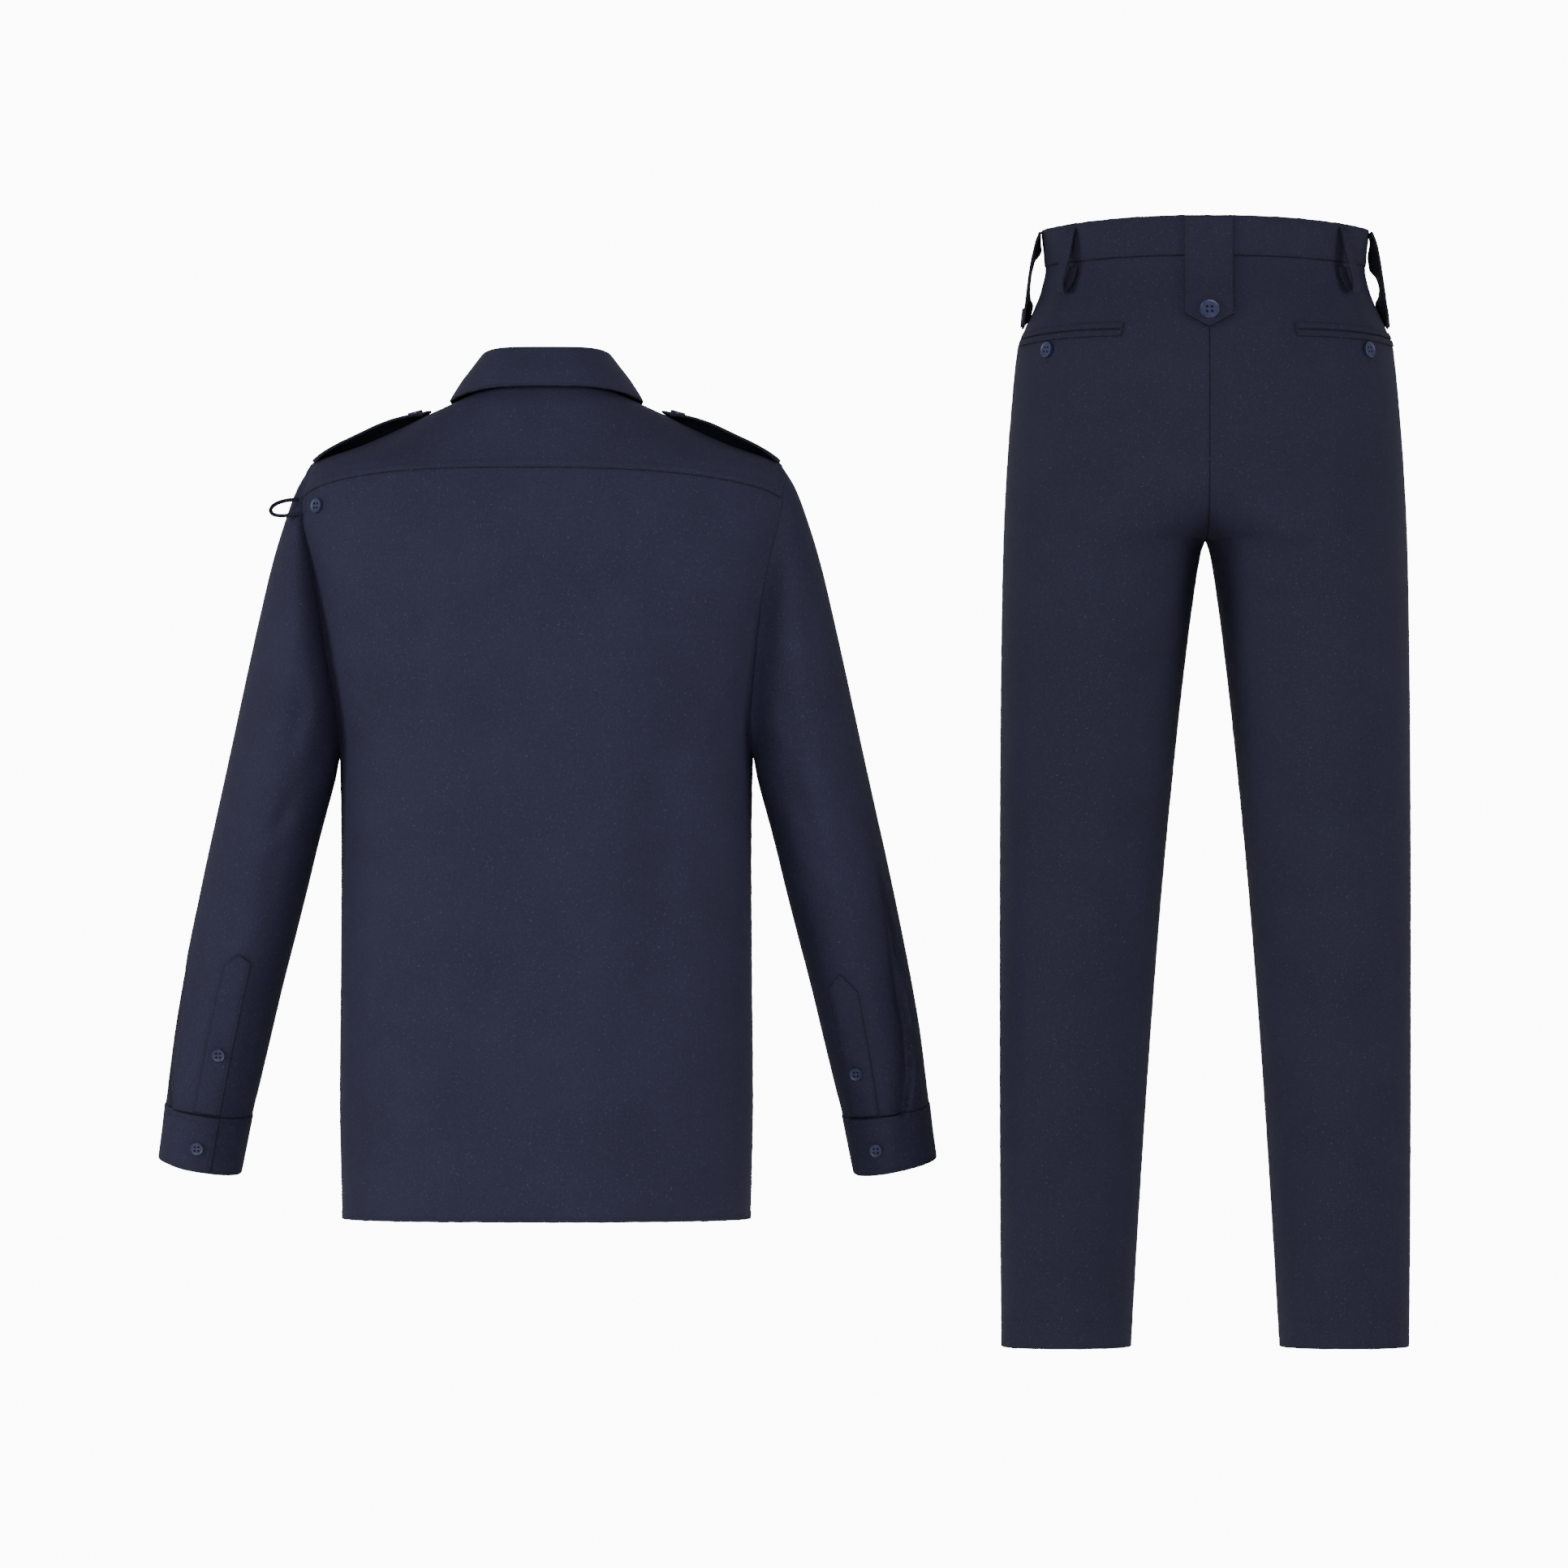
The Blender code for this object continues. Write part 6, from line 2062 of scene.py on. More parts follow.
@dataclass
class KeeperLoop:
    """The narrow loop caught in the left armhole seam."""

    room: Workroom
    width: float = 6.0
    cloth: float = 1.6
    flare: float = 0.42
    line: tuple[Point, ...] = (
        (-227.6, -30.2, -87),
        (-236, -31.6, -87.5),
        (-245, -32.4, -89.5),
        (-252, -32.8, -93.5),
        (-254, -33, -97.5),
        (-250.5, -33.4, -101.5),
        (-243, -34, -102.5),
        (-235, -34.4, -101.5),
        (-228, -35.2, -100.5),
    )

    def build(self) -> None:
        """Build the loop."""
        middles = np.array(self.line)
        ahead = np.array((0.0, 1.0, 0.0))
        flared = np.cross(unit(np.gradient(middles, axis=0)), ahead) * math.sin(self.flare)
        halves = (flared + ahead * math.cos(self.flare)) * (self.width / 2)
        panel = strip_panel("keeper_loop", middles, halves, self.cloth, 1.2)
        self.room.hang(panel, "shoulder_loop", "shirt_cloth", Held.FOLDED)


class TrouserSurface(Surface):
    """The outside of the trousers, by angle round one leg and level."""

    middle_x = 608.6
    squareness = 2.3
    hem = -869.0
    waist_seam = 128.0
    waist_top = 162.0
    fork = -124.0
    seat = -35.0

    def __init__(self, side: Side) -> None:
        """Read the sections.

        Args:
            side: Which leg.
        """
        self.side = side
        self.oval = Oval(
            (
                (-869, -869, -869, 188.5, 72, 74),
                (-750, -750, -750, 189.5, 74, 76),
                (-600, -600, -600, 190, 78, 79),
                (-450, -450, -450, 190, 86, 84),
                (-300, -300, -300, 189.3, 100, 94),
                (-190, -190, -190, 188, 112, 104),
                (-124, -124, -124, 186.5, 122, 111),
                (-60, -60, -60, 183.5, 133, 117),
                (0, 0, 0, 179, 136, 118),
                (37, 38, 36, 175.5, 133, 116),
                (55, 57, 54, 173, 129, 114),
                (70, 73, 69, 167, 125, 112),
                (93, 98, 91, 156.5, 117, 109),
                (108, 114, 105, 151, 111, 107),
                (128, 135, 124, 147.5, 106, 106),
                (162, 172, 160, 150.5, 104, 105),
            ),
            self.squareness,
        )
        self.inner_x = Curve(
            (-869, -750, -600, -450, -300, -225, -187, -150, -135, -124),
            (68.8, 61.9, 52.1, 40.5, 25.9, 17.3, 12.4, 6.9, 4, 0),
        )
        self.creases = TROUSER_CREASES[side]

    def leg_middle(self, level: Array) -> tuple[Array, Array]:
        """The middle and half width of the leg's section.

        Args:
            level: Height at the side.

        Returns:
            Middle and half width; above the seat it is half of the whole hips.
        """
        outer, inner = self.oval.half_width(level), self.inner_x(level)
        share = np.clip((self.seat - level) / (self.seat - self.fork), 0.0, 1.0) ** 2
        half = outer / (1.0 + share)
        low = level <= self.fork
        return np.where(low, (outer + inner) / 2, half * share), np.where(low, (outer - inner) / 2, half)

    def inner_angle(self, level: Array) -> Array:
        """How far the section runs past its own middle to the seam between the legs.

        Args:
            level: Height at the side.

        Returns:
            Degrees.
        """
        middle, half = self.leg_middle(level)
        angle = np.degrees(np.arcsin(np.clip(middle / half, 0.0, 1.0) ** (self.squareness / 2.0)))
        return np.where(level <= self.fork, 90.0, angle)

    def base(self, first: Array, second: Array) -> Array:
        """The smooth outside.

        Args:
            first: Angle round the leg from its back, 90 outside.
            second: Level.

        Returns:
            Points.
        """
        second = np.clip(second, self.hem, self.waist_top)
        y, z, sine = self.oval.reach(first, second)
        middle, half = self.leg_middle(second)
        return stacked(self.middle_x + self.side.value * (middle + half * sine), y, z)

    def base_normal(self, first: Array, second: Array) -> Array:
        """The outward direction of the smooth outside."""
        return super().base_normal(first, second) * self.side.value


class HipSurface:
    """Both sides of the hips as one round, from -180 to 180 degrees or past it."""

    def __init__(self, left: TrouserSurface, right: TrouserSurface) -> None:
        """Keep the two sides."""
        self.left, self.right = left, right

    def point(self, angle: Array, level: Array, lift: Array | float = 0.0) -> Array:
        """A place on the hips, moved out by lift.

        Args:
            angle: Signed degrees from the back.
            level: Height at the side.
            lift: Millimetres outwards.

        Returns:
            Points.
        """
        wrapped = (np.asarray(angle, float) + 180.0) % 360.0 - 180.0
        left = self.left.point(np.abs(wrapped), level, lift)
        right = self.right.point(np.abs(wrapped), level, lift)
        return np.where((wrapped < 0.0)[..., None], left, right)


TROUSER_CREASES: dict[Side, tuple[Crease, ...]] = {
    Side.LEFT: (
        Crease(((590, -112), (560, -122), (520, -116), (480, -96)), 12, 1.6),
        Crease(((584, -140), (552, -160), (512, -168)), 11, 1.2),
        Crease(((596, -70), (570, -52), (536, -44)), 12, -1.2, hollow=0.3),
        Crease(((450, -120), (454, -350), (462, -560), (466, -880)), 26, 4.5, hollow=0),
        Crease(((522, -100), (520, -350), (524, -600), (528, -880)), 34, -4.5, hollow=0),
        Crease(((477, 106.5), (474, 90), (472, 70)), 4, -0.8, hollow=0),
        Crease(((455, -180), (456, -360), (462, -560), (462, -780)), 15, -1.3, hollow=0.3),
        Crease(((544, -250), (536, -420), (530, -620)), 14, -1.4),
        Crease(((548, -408), (516, -424), (476, -418)), 12, 1),
        Crease(((470, -470), (500, -484), (532, -478)), 11, 0.8),
        Crease(((588, -120), (556, -104), (510, -100)), 10, 1.6, Facing.FRONT),
        Crease(((590, -96), (560, -70), (520, -52)), 10, 1.3, Facing.FRONT),
        Crease(((506, 40), (508, -180), (512, -420), (512, -850)), 22, 1.8, Facing.FRONT),
        Crease(((468, -400), (502, -420), (542, -410)), 12, 1.1, Facing.FRONT),
    ),
    Side.RIGHT: (
        Crease(((627, -110), (660, -124), (700, -114), (738, -92)), 12, 1.5),
        Crease(((634, -144), (668, -166), (706, -170)), 11, 1.1),
        Crease(((622, -72), (648, -50), (684, -44)), 12, -1.1, hollow=0.3),
        Crease(((716, -10), (716, -190), (712, -400), (710, -640), (708, -860)), 24, 1.6),
        Crease(((738.7, 106), (741.7, 96), (750, 70)), 4, -0.8, hollow=0),
        Crease(((762, -190), (760, -380), (756, -580), (756, -800)), 15, -1.3, hollow=0.3),
        Crease(((672, -260), (682, -430), (688, -640)), 14, -1.3),
        Crease(((668, -420), (702, -432), (742, -424)), 12, 0.9),
        Crease(((630, -120), (660, -104), (706, -100)), 10, 1.5, Facing.FRONT),
        Crease(((627, -96), (656, -68), (696, -50)), 10, 1.2, Facing.FRONT),
        Crease(((712, 40), (710, -180), (706, -420), (706, -850)), 22, 1.7, Facing.FRONT),
        Crease(((672, -404), (706, -424), (748, -414)), 12, 1, Facing.FRONT),
    ),
}


SIDE_TAB_TURNS: dict[Side, tuple[tuple[float, float], ...]] = {
    Side.LEFT: (
        (71, 1), (84, 6), (93, 7), (97.5, 4.1), (108, 1.6),
        (120, 1.1), (135, 2.6), (143, 6.8), (150, 4.5), (160.5, 0),
    ),
    Side.RIGHT: (
        (71, 1), (84, 6), (94, 7), (100, 3.5), (110, 1.2),
        (120, 3), (127, 8), (135, 8), (150, 3), (160.5, 0),
    ),
}


@dataclass
class Trousers:
    """Every piece of the trousers."""

    room: Workroom
    thickness: float = 1.6
    pitch: float = 4.8
    front_pitch: float = 5.8
    band_cloth: float = 3.0
    tab_half_width: float = 22.5
    tab_cloth: float = 2.4
    band_out: float = 1.2
    band_lap: float = 34.0
    tab_hole: tuple[float, float] = (36.0, 22.0)
    tab_core: Point = (TrouserSurface.middle_x, 0.0, 110.0)
    hip_core: Point = (TrouserSurface.middle_x, 0.0, 60.0)
    stitching: Stitching = field(default_factory=lambda: Stitching("trouser_stitches"))
    legs: dict[Side, TrouserSurface] = field(
        default_factory=lambda: {side: TrouserSurface(side) for side in Side}
    )

    def build(self) -> None:
        """Build the pieces in the order in which they are sewn."""
        for side in Side:
            for behind in (True, False):
                self.build_leg(side, behind)
        self.build_waistband()
        self.build_back_tab()
        self.build_fly()
        for side in Side:
            self.build_side_tab(side)
            self.build_belt_loop(side, 53.0, f"{side.word}_back_belt_loop")
            self.build_belt_loop(side, 124.0, f"{side.word}_front_belt_loop")
            self.build_pocket(side)

    def leg_rows(self) -> tuple[Curve, Curve]:
        """The heights of a leg panel's rows at the inner and the outer seam.

        Returns:
            Two curves over the row's number.
        """
        rows = [
            (-869, -869), (-800, -800), (-700, -700), (-600, -602), (-500, -510),
            (-400, -424), (-300, -346), (-225, -290), (-175, -250), (-148, -222),
            (-133, -198),
        ]
        turns = ((90, -176), (75, -155), (60, -135), (45, -116), (30, -98), (15, -80), (5, -60), (0, -35))
        for turn, outer in turns:
            share = math.sin(math.radians(turn)) ** (2.0 / TrouserSurface.squareness)
            rise = TrouserSurface.seat - TrouserSurface.fork
            rows.append((TrouserSurface.seat - rise * math.sqrt(share), float(outer)))
        levels = (0.0, 35.0, 60.0, 80.0, 104.0, TrouserSurface.waist_seam)
        rows += [(level, level) for level in levels]
        inner, outer = curves_of(rows)
        return inner, outer

    def build_leg(self, side: Side, behind: bool) -> None:
        """A back or front: one leg and its half of the seat.

        Args:
            side: Which leg.
            behind: Whether it is the back.
        """
        leg = self.legs[side]
        inner, outer = self.leg_rows()
        last = len(inner.keys) - 1.0
        heights = Curve(inner.keys, (inner.values + outer.values) / 2)
        numbers = np.linspace(0, last, 2401)
        even = np.interp(np.linspace(leg.hem, leg.waist_seam, 601), heights(numbers), numbers)

        def patch(across: Array, along: Array) -> Array:
            """The panel's patch.

            Args:
                across: Share across it.
                along: Share along it.

            Returns:
                Points.
            """
            row = np.interp(along, np.linspace(0.0, 1.0, 601), even)
            low, high = inner(row), outer(row)
            angle = blend(-leg.inner_angle(low), 90.0, across)
            level = blend(low, high, 1.0 - (1.0 - across) ** 3)
            return leg.point(angle if behind else 180.0 - angle, level)

        kind, pitch = ("back", self.pitch) if behind else ("front", self.front_pitch)
        core = (leg.middle_x + side.value * 90.0, 0.0, -300.0)
        panel = Panel.cut(f"{side.word}_{kind}_leg", patch, self.thickness, pitch, core, middle=(0.5, 0.3))
        panel.meet(*FREE_EDGES)
        panel.welt(Edge.FIRST_COLUMN, 7.0, 0.35)
        for edge, amount, wave in (
            (Edge.FIRST_ROW, 0.28, 24.0),
            (Edge.LAST_ROW, 0.35, 17.0),
            (Edge.FIRST_COLUMN, 0.35, 18.0),
            (Edge.LAST_COLUMN, 0.35, 20.0),
        ):
            panel.pucker(edge, amount, 10.0, wave, side.value * 1.3 + (0.4 if behind else 2.0))
        panel.groove(Edge.FIRST_ROW, 26.0, 0.2, 2.0)
        panel.settle()
        self.room.hang(panel, f"{side.word}_trouser_{kind}", "trouser_cloth", Held.HUNG)
        self.stitching.sew(panel.line(Edge.FIRST_ROW, 26.0, both=3.0), 5.0)

    def build_waistband(self) -> None:
        """The waistband, lapped in front."""
        hips = HipSurface(self.legs[Side.LEFT], self.legs[Side.RIGHT])
        leg = self.legs[Side.LEFT]
        past = float(leg.oval.angle_at(self.band_lap, leg.waist_top))

        def patch(across: Array, along: Array) -> Array:
            """The waistband's patch.

            Args:
                across: Share across it.
                along: Share along it.

            Returns:
                Points.
            """
            angle = blend(-180.0 - past, 180.0 + past * 0.6, across)
            lift = self.band_out + (self.band_cloth + 0.5) * ease((-angle - 152.0) / 12.0)
            return hips.point(angle, blend(leg.waist_seam, leg.waist_top, along), lift)

        core = (leg.middle_x, 0.0, 140.0)
        panel = Panel.cut("waistband_band", patch, self.band_cloth, 3.6, core)
        panel.meet(Edge.FIRST_ROW)
        panel.groove(Edge.FIRST_ROW, 2.2, 0.35).groove(Edge.LAST_ROW, 2.8, 0.3)
        panel.pucker(Edge.FIRST_ROW, 0.25, 7.0, 15.0, 0.5)
        panel.pucker(Edge.LAST_ROW, 0.22, 8.0, 22.0, 1.5).settle()
        self.room.hang(panel, "waistband", "trouser_cloth", Held.FOLDED)
        self.stitching.hem(panel, 2.2, 3.0, Edge.FIRST_ROW)
        self.stitching.hem(panel, 2.8, 3.0, Edge.LAST_ROW)

    def build_back_tab(self) -> None:
        """The pointed tab at the centre back."""
        hips = HipSurface(self.legs[Side.LEFT], self.legs[Side.RIGHT])
        oval = self.legs[Side.LEFT].oval
        out = self.band_out + SEAM_GAP + self.tab_cloth

        def patch(wide: Array, along: Array) -> Array:
            """The tab's patch.

            Args:
                wide: Share across it.
                along: Share along it.

            Returns:
                Points.
            """
            across = 2.0 * wide - 1.0
            foot = blend(68.0, 80.0, np.abs(across))
            level = oval.level_of_back_z(blend(171.0, foot, along))
            angle = np.sign(across) * oval.angle_at(across * self.tab_half_width, level)
            return hips.point(angle, level, out)

        panel = Panel.cut("centre_back_tab", patch, self.tab_cloth, 2.6, self.tab_core)
        self.finish_tab(panel, "back_tab")

    def finish_tab(self, panel: Panel, node: str) -> None:
        """Groove and settle a tab, hand it over and sew its edges and buttonhole.

        Args:
            panel: The tab.
            node: The solid that it replaces.
        """
        for edge in FREE_EDGES:
            panel.groove(edge, 2.6, 0.35)
        panel.settle()
        self.room.hang(panel, node, "trouser_cloth", Held.LAID)
        self.stitching.hem(panel, 2.6, 2.6, *FREE_EDGES)
        middle = panel.line(Edge.FIRST_COLUMN, self.tab_half_width)
        passed = lengths_along(middle.points)
        ends = middle.at(passed[-1] - np.array(self.tab_hole), passed)
        side = unit(np.cross(ends.normals[0], ends.points[1] - ends.points[0]))
        for away in (-HOLE_HALF, HOLE_HALF):
            first, last = ends.points + side * away
            self.stitching.tack(first, last, ends.normals[0])

    def build_fly(self) -> None:
        """The fly's strip on the wearer's left front, with a rounded foot."""
        leg = self.legs[Side.LEFT]

        def patch(across: Array, along: Array) -> Array:
            """The fly's patch.

            Args:
                across: Share across it.
                along: Share along it.

            Returns:
                Points.
            """
            foot = -22.0 + 36.0 * across**2.5
            level = blend(127.0, foot, along)
            return leg.point(180.0 - leg.oval.angle_at(0.6 + 38.0 * across, level), level, 1.7)

        panel = Panel.cut("fly_strip", patch, 1.2, 3.6, self.hip_core).settle()
        self.room.hang(panel, "trouser_fly", "trouser_cloth", Held.LAID)
        self.stitching.hem(panel, 2.0, 1.0, Edge.LAST_COLUMN)
        self.stitching.hem(panel, 2.0, 1.0, Edge.LAST_ROW)

    def build_side_tab(self, side: Side) -> None:
        """A long side tab that stands off the narrow waist.

        Args:
            side: Which side.
        """
        table = (
            (154.4, 160.5),
            (158.6, 150),
            (162, 135),
            (164.6, 117),
            (167, 100),
            (169.4, 84),
            (170.6, 71),
        )
        x_of, z_of = curves_of(table)
        levels, insets = zip(*SIDE_TAB_TURNS[side])
        inset_of = Curve(levels, insets)
        length = table[0][1] - table[-1][1]

        def patch(wide: Array, along: Array) -> Array:
            """The tab's patch.

            Args:
                wide: Share across it.
                along: Share along it.

            Returns:
                Points.
            """
            across = 2.0 * wide - 1.0
            at = along * (1.0 - 11.0 / length * np.abs(across)) * (len(table) - 1.0)
            x = x_of(at) - inset_of(z_of(at)) * wide - 0.6 * across * across
            middle_x = TrouserSurface.middle_x
            return stacked(middle_x + side.value * x, across * self.tab_half_width, z_of(at))

        panel = Panel.cut(f"{side.word}_tab", patch, self.tab_cloth, 2.6, self.tab_core)
        self.finish_tab(panel, f"{side.word}_side_tab")

    def build_belt_loop(self, side: Side, angle: float, node: str) -> None:
        """A slack belt loop, down from the waistband's top, out, and folded back up to its seam.

        Args:
            side: Which side.
            angle: How far round from the back.
            node: The solid that it replaces.
        """
        leg = self.legs[side]
        table = (
            (0, 157.5, 0),
            (3.7, 150, 0.4),
            (8.2, 133, 2.2),
            (10.2, 115, 4.2),
            (9.2, 102, 4.6),
            (6.2, 97, 3.4),
            (3.3, 101, 1.6),
            (0.9, 112, 0),
            (0, 123, -0.6),
        )
        outs, levels, sways = (np.array(column) for column in zip(*table))
        angles = np.full_like(levels, angle)
        along = unit(leg.base(angles + 1.0, levels) - leg.base(angles - 1.0, levels))
        off = self.band_out + SEAM_GAP + 0.9 + outs
        middles = leg.base(angles, levels) + leg.base_normal(angles, levels) * off[:, None]
        middles = middles + along * sways[:, None]
        panel = strip_panel(node.replace("_belt_loop", "_loop"), middles, along * 5.5, 1.8, 1.6)
        self.room.hang(panel, node, "trouser_cloth", Held.FOLDED)
        for edge in COLUMNS:
            self.stitching.sew(panel.line(edge, 1.8, 0.0, 0.5, both=1.0))
        top = panel.line(Edge.FIRST_ROW, 1.8)
        self.stitching.tack(top.points[0], top.points[-1], top.normals[len(top.normals) // 2])

    def build_pocket(self, side: Side) -> None:
        """A jetted back pocket: two lips lying on the panel.

        Args:
            side: Which side.
        """
        leg = self.legs[side]
        inner, outer, middle, drop = 25.0, 81.0, 64.5, 5.0
        for place, which in ((1.0, "upper"), (-1.0, "lower")):

            def patch(across: Array, along: Array, place: float = place) -> Array:
                """The lip's patch.

                Args:
                    across: Share across it.
                    along: Share along it.
                    place: 1 for the upper lip, -1 for the lower one.

                Returns:
                    Points.
                """
                height = place * (0.5 + 5.6 * along)
                level = middle + height - drop * ease(across) * across
                return leg.point(blend(inner, outer, across), level, 1.7)

            panel = Panel.cut(f"{side.word}_{which}_lip", patch, 1.2, 2.6, self.hip_core).settle()
            self.room.hang(panel, f"{side.word}_pocket_{which}_lip", "trouser_cloth", Held.LAID)
            self.stitching.hem(panel, 0.8, 1.0, Edge.LAST_ROW)
        for across in (0.0, 1.0):
            angle = blend(inner, outer, across)
            level = middle - drop * across
            ends = leg.point(np.array([angle, angle]), np.array([level - 6.0, level + 6.0]), 1.9)
            out = leg.base_normal(np.array([angle]), np.array([level]))[0]
            self.stitching.tack(ends[0], ends[1], out)


@dataclass(frozen=True)
class Buttonhole:
    """A worked buttonhole that shows beside its button."""

    run: Point
    before: float
    after: float


BUTTONHOLES: dict[str, Buttonhole] = {
    "front_button": Buttonhole((0.0, 0.0, 1.0), 8.0, 8.0),
    "collar_button": Buttonhole((1.0, 0.0, 0.0), 8.0, 6.0),
    "left_placket_button": Buttonhole((0.24, 0.0, 0.97), 8.0, 7.0),
    "right_placket_button": Buttonhole((-0.24, 0.0, 0.97), 8.0, 7.0),
    "left_cuff_button": Buttonhole((0.97, 0.0, -0.24), 7.0, 8.0),
    "right_cuff_button": Buttonhole((0.97, 0.0, 0.24), 7.0, 8.0),
    "strap_button": Buttonhole((1.0, 0.0, 0.0), 9.0, 9.0),
    "pocket_button": Buttonhole((0.0, 0.0, 1.0), 11.5, 0.0),
    "waistband_button": Buttonhole((1.0, 0.0, 0.0), 12.0, 8.0),
}


@dataclass
class ButtonMould:
    """Four-hole buttons with a raised rim, each size modelled once and copied to its places."""

    room: Workroom
    shirt: Stitching
    trousers: Stitching
    thick: float = 2.8
    profile: tuple[tuple[float, float], ...] = ((0.17, 0.0), (0.07, -0.4), (0.1, -0.35))
    masters: dict[float, bpy.types.Object] = field(default_factory=dict)

    def build(self) -> None:
        """Replace each solid button by a copy of its master."""
        for name in sorted(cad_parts):
            if name.endswith("_button") or "front_button_" in name:
                self.place(name)
        for master in self.masters.values():
            bpy.data.objects.remove(master)

    def model(self, diameter: float) -> bpy.types.Object:
        """Model a button of one size at the origin, its face up.

        Args:
            diameter: In millimetres.

        Returns:
            The master.
        """
        radius = diameter / 2 * MM
        bpy.ops.object.select_all(action="DESELECT")
        bpy.ops.mesh.primitive_cylinder_add(vertices=40, radius=radius, depth=self.thick * MM)
        made = bpy.context.active_object
        for share, depth in self.profile:
            bpy.ops.object.mode_set(mode="OBJECT")
            top = max(made.data.polygons, key=lambda face: face.normal.z > 0.9 and len(face.vertices) > 4)
            for polygon in made.data.polygons:
                polygon.select = polygon.index == top.index
            bpy.ops.object.mode_set(mode="EDIT")
            bpy.ops.mesh.select_mode(type="FACE")
            bpy.ops.mesh.inset(thickness=share * radius, depth=depth * MM)
        bpy.ops.object.mode_set(mode="OBJECT")
        for edge in made.data.edges:
            ends = [made.data.vertices[i].co for i in edge.vertices]
            outside = all(math.hypot(end.x, end.y) > radius * 0.99 for end in ends)
            edge.select = outside and abs(ends[0].z - ends[1].z) < 1e-6
        bpy.ops.object.mode_set(mode="EDIT")
        bpy.ops.mesh.select_mode(type="EDGE")
        bpy.ops.mesh.bevel(offset=0.55 * MM, segments=3, profile=0.6)
        bpy.ops.object.mode_set(mode="OBJECT")
        self.drill(made, diameter)
        bpy.context.view_layer.objects.active = made
        bpy.ops.object.shade_smooth_by_angle(angle=math.radians(36.0))
        return made

    def drill(self, made: bpy.types.Object, diameter: float) -> None:
        """Cut the four holes.

        Args:
            made: The button.
            diameter: Its diameter in millimetres.
        """
        for index in range(4):
            turn = math.radians(45.0 + 90.0 * index)
            away = 1.2 + 0.11 * diameter
            bpy.ops.object.select_all(action="DESELECT")
            bpy.ops.mesh.primitive_cylinder_add(
                vertices=12,
                radius=(0.75 + 0.03 * diameter) * MM,
                depth=4.0 * self.thick * MM,
                location=(away * math.cos(turn) * MM, away * math.sin(turn) * MM, 0.0),
            )
            cutter = bpy.context.active_object
            cut = made.modifiers.new("hole", "BOOLEAN")
            cut.object = cutter
            cut.operation = "DIFFERENCE"
            cut.solver = "EXACT"
            bpy.context.view_layer.objects.active = made
            bpy.ops.object.modifier_apply(modifier=cut.name)
            bpy.data.objects.remove(cutter)

    def place(self, name: str) -> None:
        """Copy a master to one button's place, just off the cloth.

        Args:
            name: The solid button's name.
        """
        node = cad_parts[name]
        corners = np.array([tuple(node.matrix_world @ vertex.co) for vertex in node.data.vertices])
        middle = corners.mean(axis=0)
        _, _, axes = np.linalg.svd(corners - middle)
        axis = axes[2]
        depths = (corners - middle) @ axis
        aside = np.linalg.norm(corners - middle - depths[:, None] * axis, axis=1)
        radius = aside.max()
        centre = middle + axis * ((depths.max() + depths.min()) / 2)
        inner = depths[aside < radius * 0.9] - (depths.max() + depths.min()) / 2
        if inner.mean() < 0.0:
            axis = -axis
        diameter = round(2.0 * radius / MM)
        if diameter not in self.masters:
            self.masters[diameter] = self.model(diameter)
        master = self.masters[diameter]
        made = linked(f"{name}_disc", master.data.copy())
        centre, axis = Vector(centre), Vector(axis)
        seat = self.cloth_under(centre, axis)
        turn = axis.to_track_quat("Z", "Y").to_matrix().to_4x4()
        turn.translation = seat + axis * (0.25 + self.thick / 2) * MM
        made.data.transform(turn)
        self.room.hand_over(made, self.room.plastic, "button", name)
        stitching = self.trousers if "pocket" in name or "waist" in name else self.shirt
        for ending, buttonhole in BUTTONHOLES.items():
            if ending in name:
                self.work(buttonhole, seat, axis, stitching)

    def work(self, buttonhole: Buttonhole, seat: Vector, axis: Vector, stitching: Stitching) -> None:
        """Work a buttonhole's two sides on the cloth under a button.

        Args:
            buttonhole: Its direction and ends.
            seat: The cloth's place under the button.
            axis: The button's outward direction.
            stitching: The garment's stitches.
        """
        run = Vector(buttonhole.run)
        run = (run - axis * run.dot(axis)).normalized()
        side = axis.cross(run) * HOLE_HALF * MM
        for aside in (-side, side):
            reach = (-buttonhole.before * MM, buttonhole.after * MM)
            ends = [self.cloth_under(seat + aside + run * off, axis) for off in reach]
            ends = [np.array(end) / MM for end in ends]
            stitching.tack(ends[0], ends[1], np.array(axis))

    def cloth_under(self, spot: Vector, axis: Vector) -> Vector:
        """The outermost place of the dressed cloth under a spot.

        Args:
            spot: A place near the cloth.
            axis: Outward direction.

        Returns:
            The place, or the spot itself where there is no cloth.
        """
        found = []
        for piece in self.room.pieces.values():
            if not piece.name.endswith(("_disc", "_stitches")):
                hit, place, _, _ = piece.ray_cast(spot + axis * 0.012, -axis, distance=0.03)
                if hit:
                    found.append(place.copy())
        return max(found, key=lambda place: place.dot(axis), default=spot)


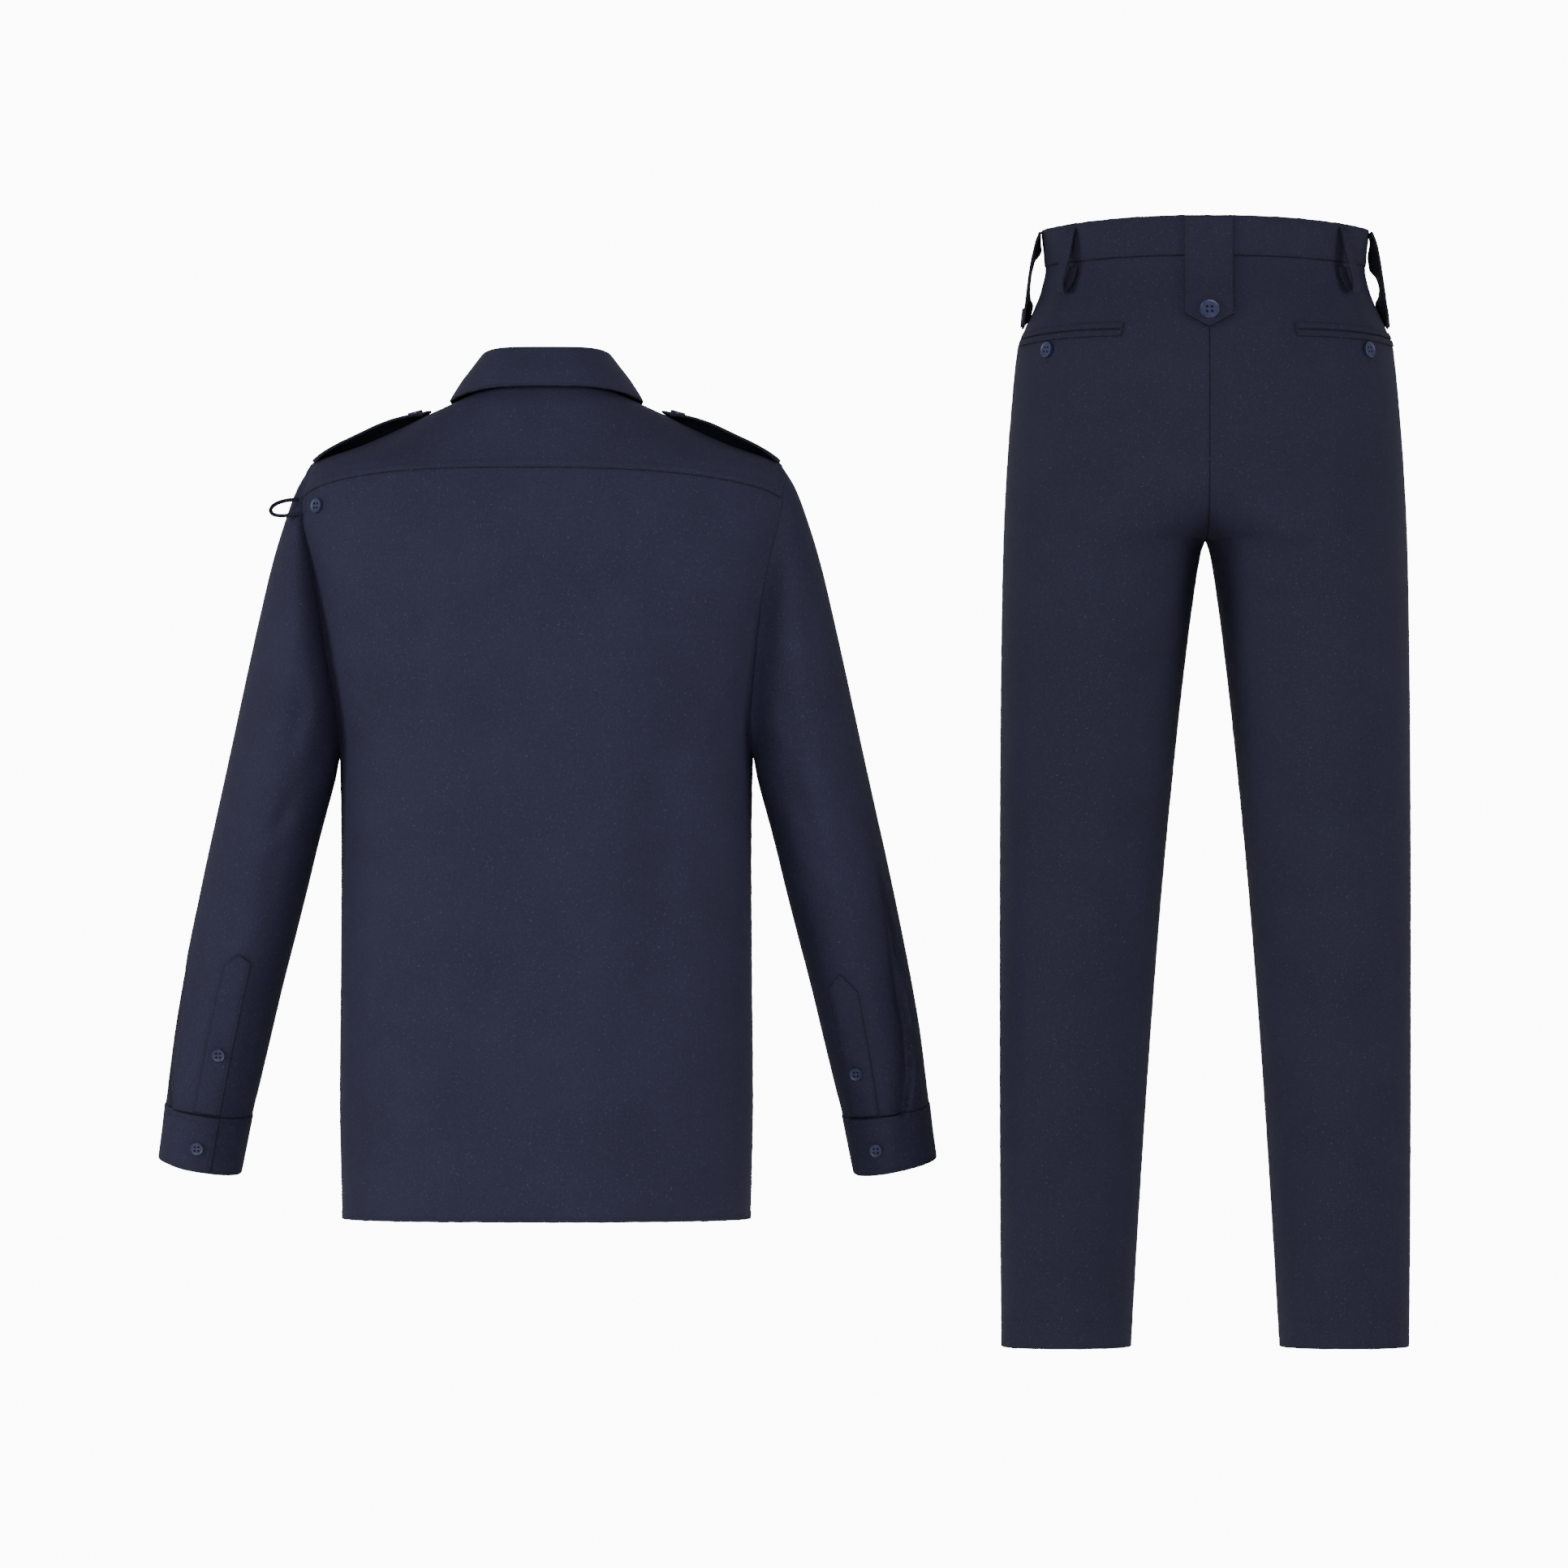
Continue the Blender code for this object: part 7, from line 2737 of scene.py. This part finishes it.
@dataclass
class Studio:
    """Pale paper, soft lamps and the camera."""

    floor: float = -1.2
    centre: tuple[float, float] = (0.2194, -0.3495)
    distance: float = 12.0
    width: float = 1.449
    paper: StudioPaper = field(default_factory=StudioPaper)

    def build(self) -> None:
        """Set up the paper, the lamps and the camera."""
        self.build_paper()
        self.lamp("left_lamp", (-6.5, -2.9, 0.9), 2.4, 225.0)
        self.lamp("right_lamp", (6.9, -2.9, 0.6), 2.4, 175.0)
        self.lamp("front_lamp", (-0.6, -7.6, 0.8), 2.6, 235.0)
        self.lamp("top_lamp", (0.2, -1.6, 4.2), 2.4, 25.0)
        world = bpy.data.worlds.new("studio_air")
        bpy.context.scene.world = world
        world.use_nodes = True
        ground = world.node_tree.nodes["Background"]
        ground.inputs["Color"].default_value = (1.0, 1.0, 1.0, 1.0)
        ground.inputs["Strength"].default_value = 0.1
        self.build_camera()

    def build_paper(self) -> None:
        """A floor that curves up behind the garments."""
        profile = [(-14.0, self.floor), (2.2, self.floor)]
        for index in range(1, 13):
            turn = math.radians(90.0 * index / 12.0)
            profile.append((2.2 + 1.6 * math.sin(turn), self.floor + 1.6 * (1.0 - math.cos(turn))))
        profile.append((3.8, 6.0))
        places = [(x, y, z) for y, z in profile for x in (-9.0, 9.5)]
        faces = [(2 * i, 2 * i + 1, 2 * i + 3, 2 * i + 2) for i in range(len(profile) - 1)]
        mesh = bpy.data.meshes.new("studio_paper")
        mesh.from_pydata(places, [], faces)
        mesh.shade_smooth()
        mesh.materials.append(self.paper.make())
        linked("studio_paper", mesh)

    def lamp(self, name: str, spot: Point, size: float, power: float) -> None:
        """A square soft lamp turned to the garments.

        Args:
            name: Its name.
            spot: Where it stands.
            size: Its side.
            power: In watts.
        """
        data = bpy.data.lights.new(name, "AREA")
        data.shape = "SQUARE"
        data.size = size
        data.energy = power
        made = linked(name, data)
        made.location = spot
        aim = Vector((self.centre[0], 0.0, self.centre[1])) - Vector(spot)
        made.rotation_mode = "QUATERNION"
        made.rotation_quaternion = aim.to_track_quat("-Z", "Y")

    def build_camera(self) -> None:
        """The camera, level and square to the garments' backs."""
        data = bpy.data.cameras.new("camera")
        data.sensor_width = 36.0
        data.sensor_fit = "HORIZONTAL"
        data.lens = 36.0 * self.distance / self.width
        data.clip_end = 60.0
        data.dof.use_dof = False
        made = linked("camera", data)
        made.location = (self.centre[0], -self.distance, self.centre[1])
        made.rotation_euler = (math.pi / 2, 0.0, 0.0)
        bpy.context.scene.camera = made


def main() -> None:
    """Build the studio, both garments and their buttons."""
    logging.basicConfig(level=logging.INFO, format="%(message)s")
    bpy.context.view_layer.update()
    Studio().build()
    room = Workroom.open()
    shirt, trousers = Shirt(room), Trousers(room)
    shirt.build()
    trousers.build()
    ButtonMould(room, shirt.stitching, trousers.stitching).build()
    room.hand_over(shirt.stitching.build(), room.shirt_thread, "shirt_cloth")
    room.hand_over(trousers.stitching.build(), room.trouser_thread, "trouser_cloth")


if __name__ == "__main__":
    main()
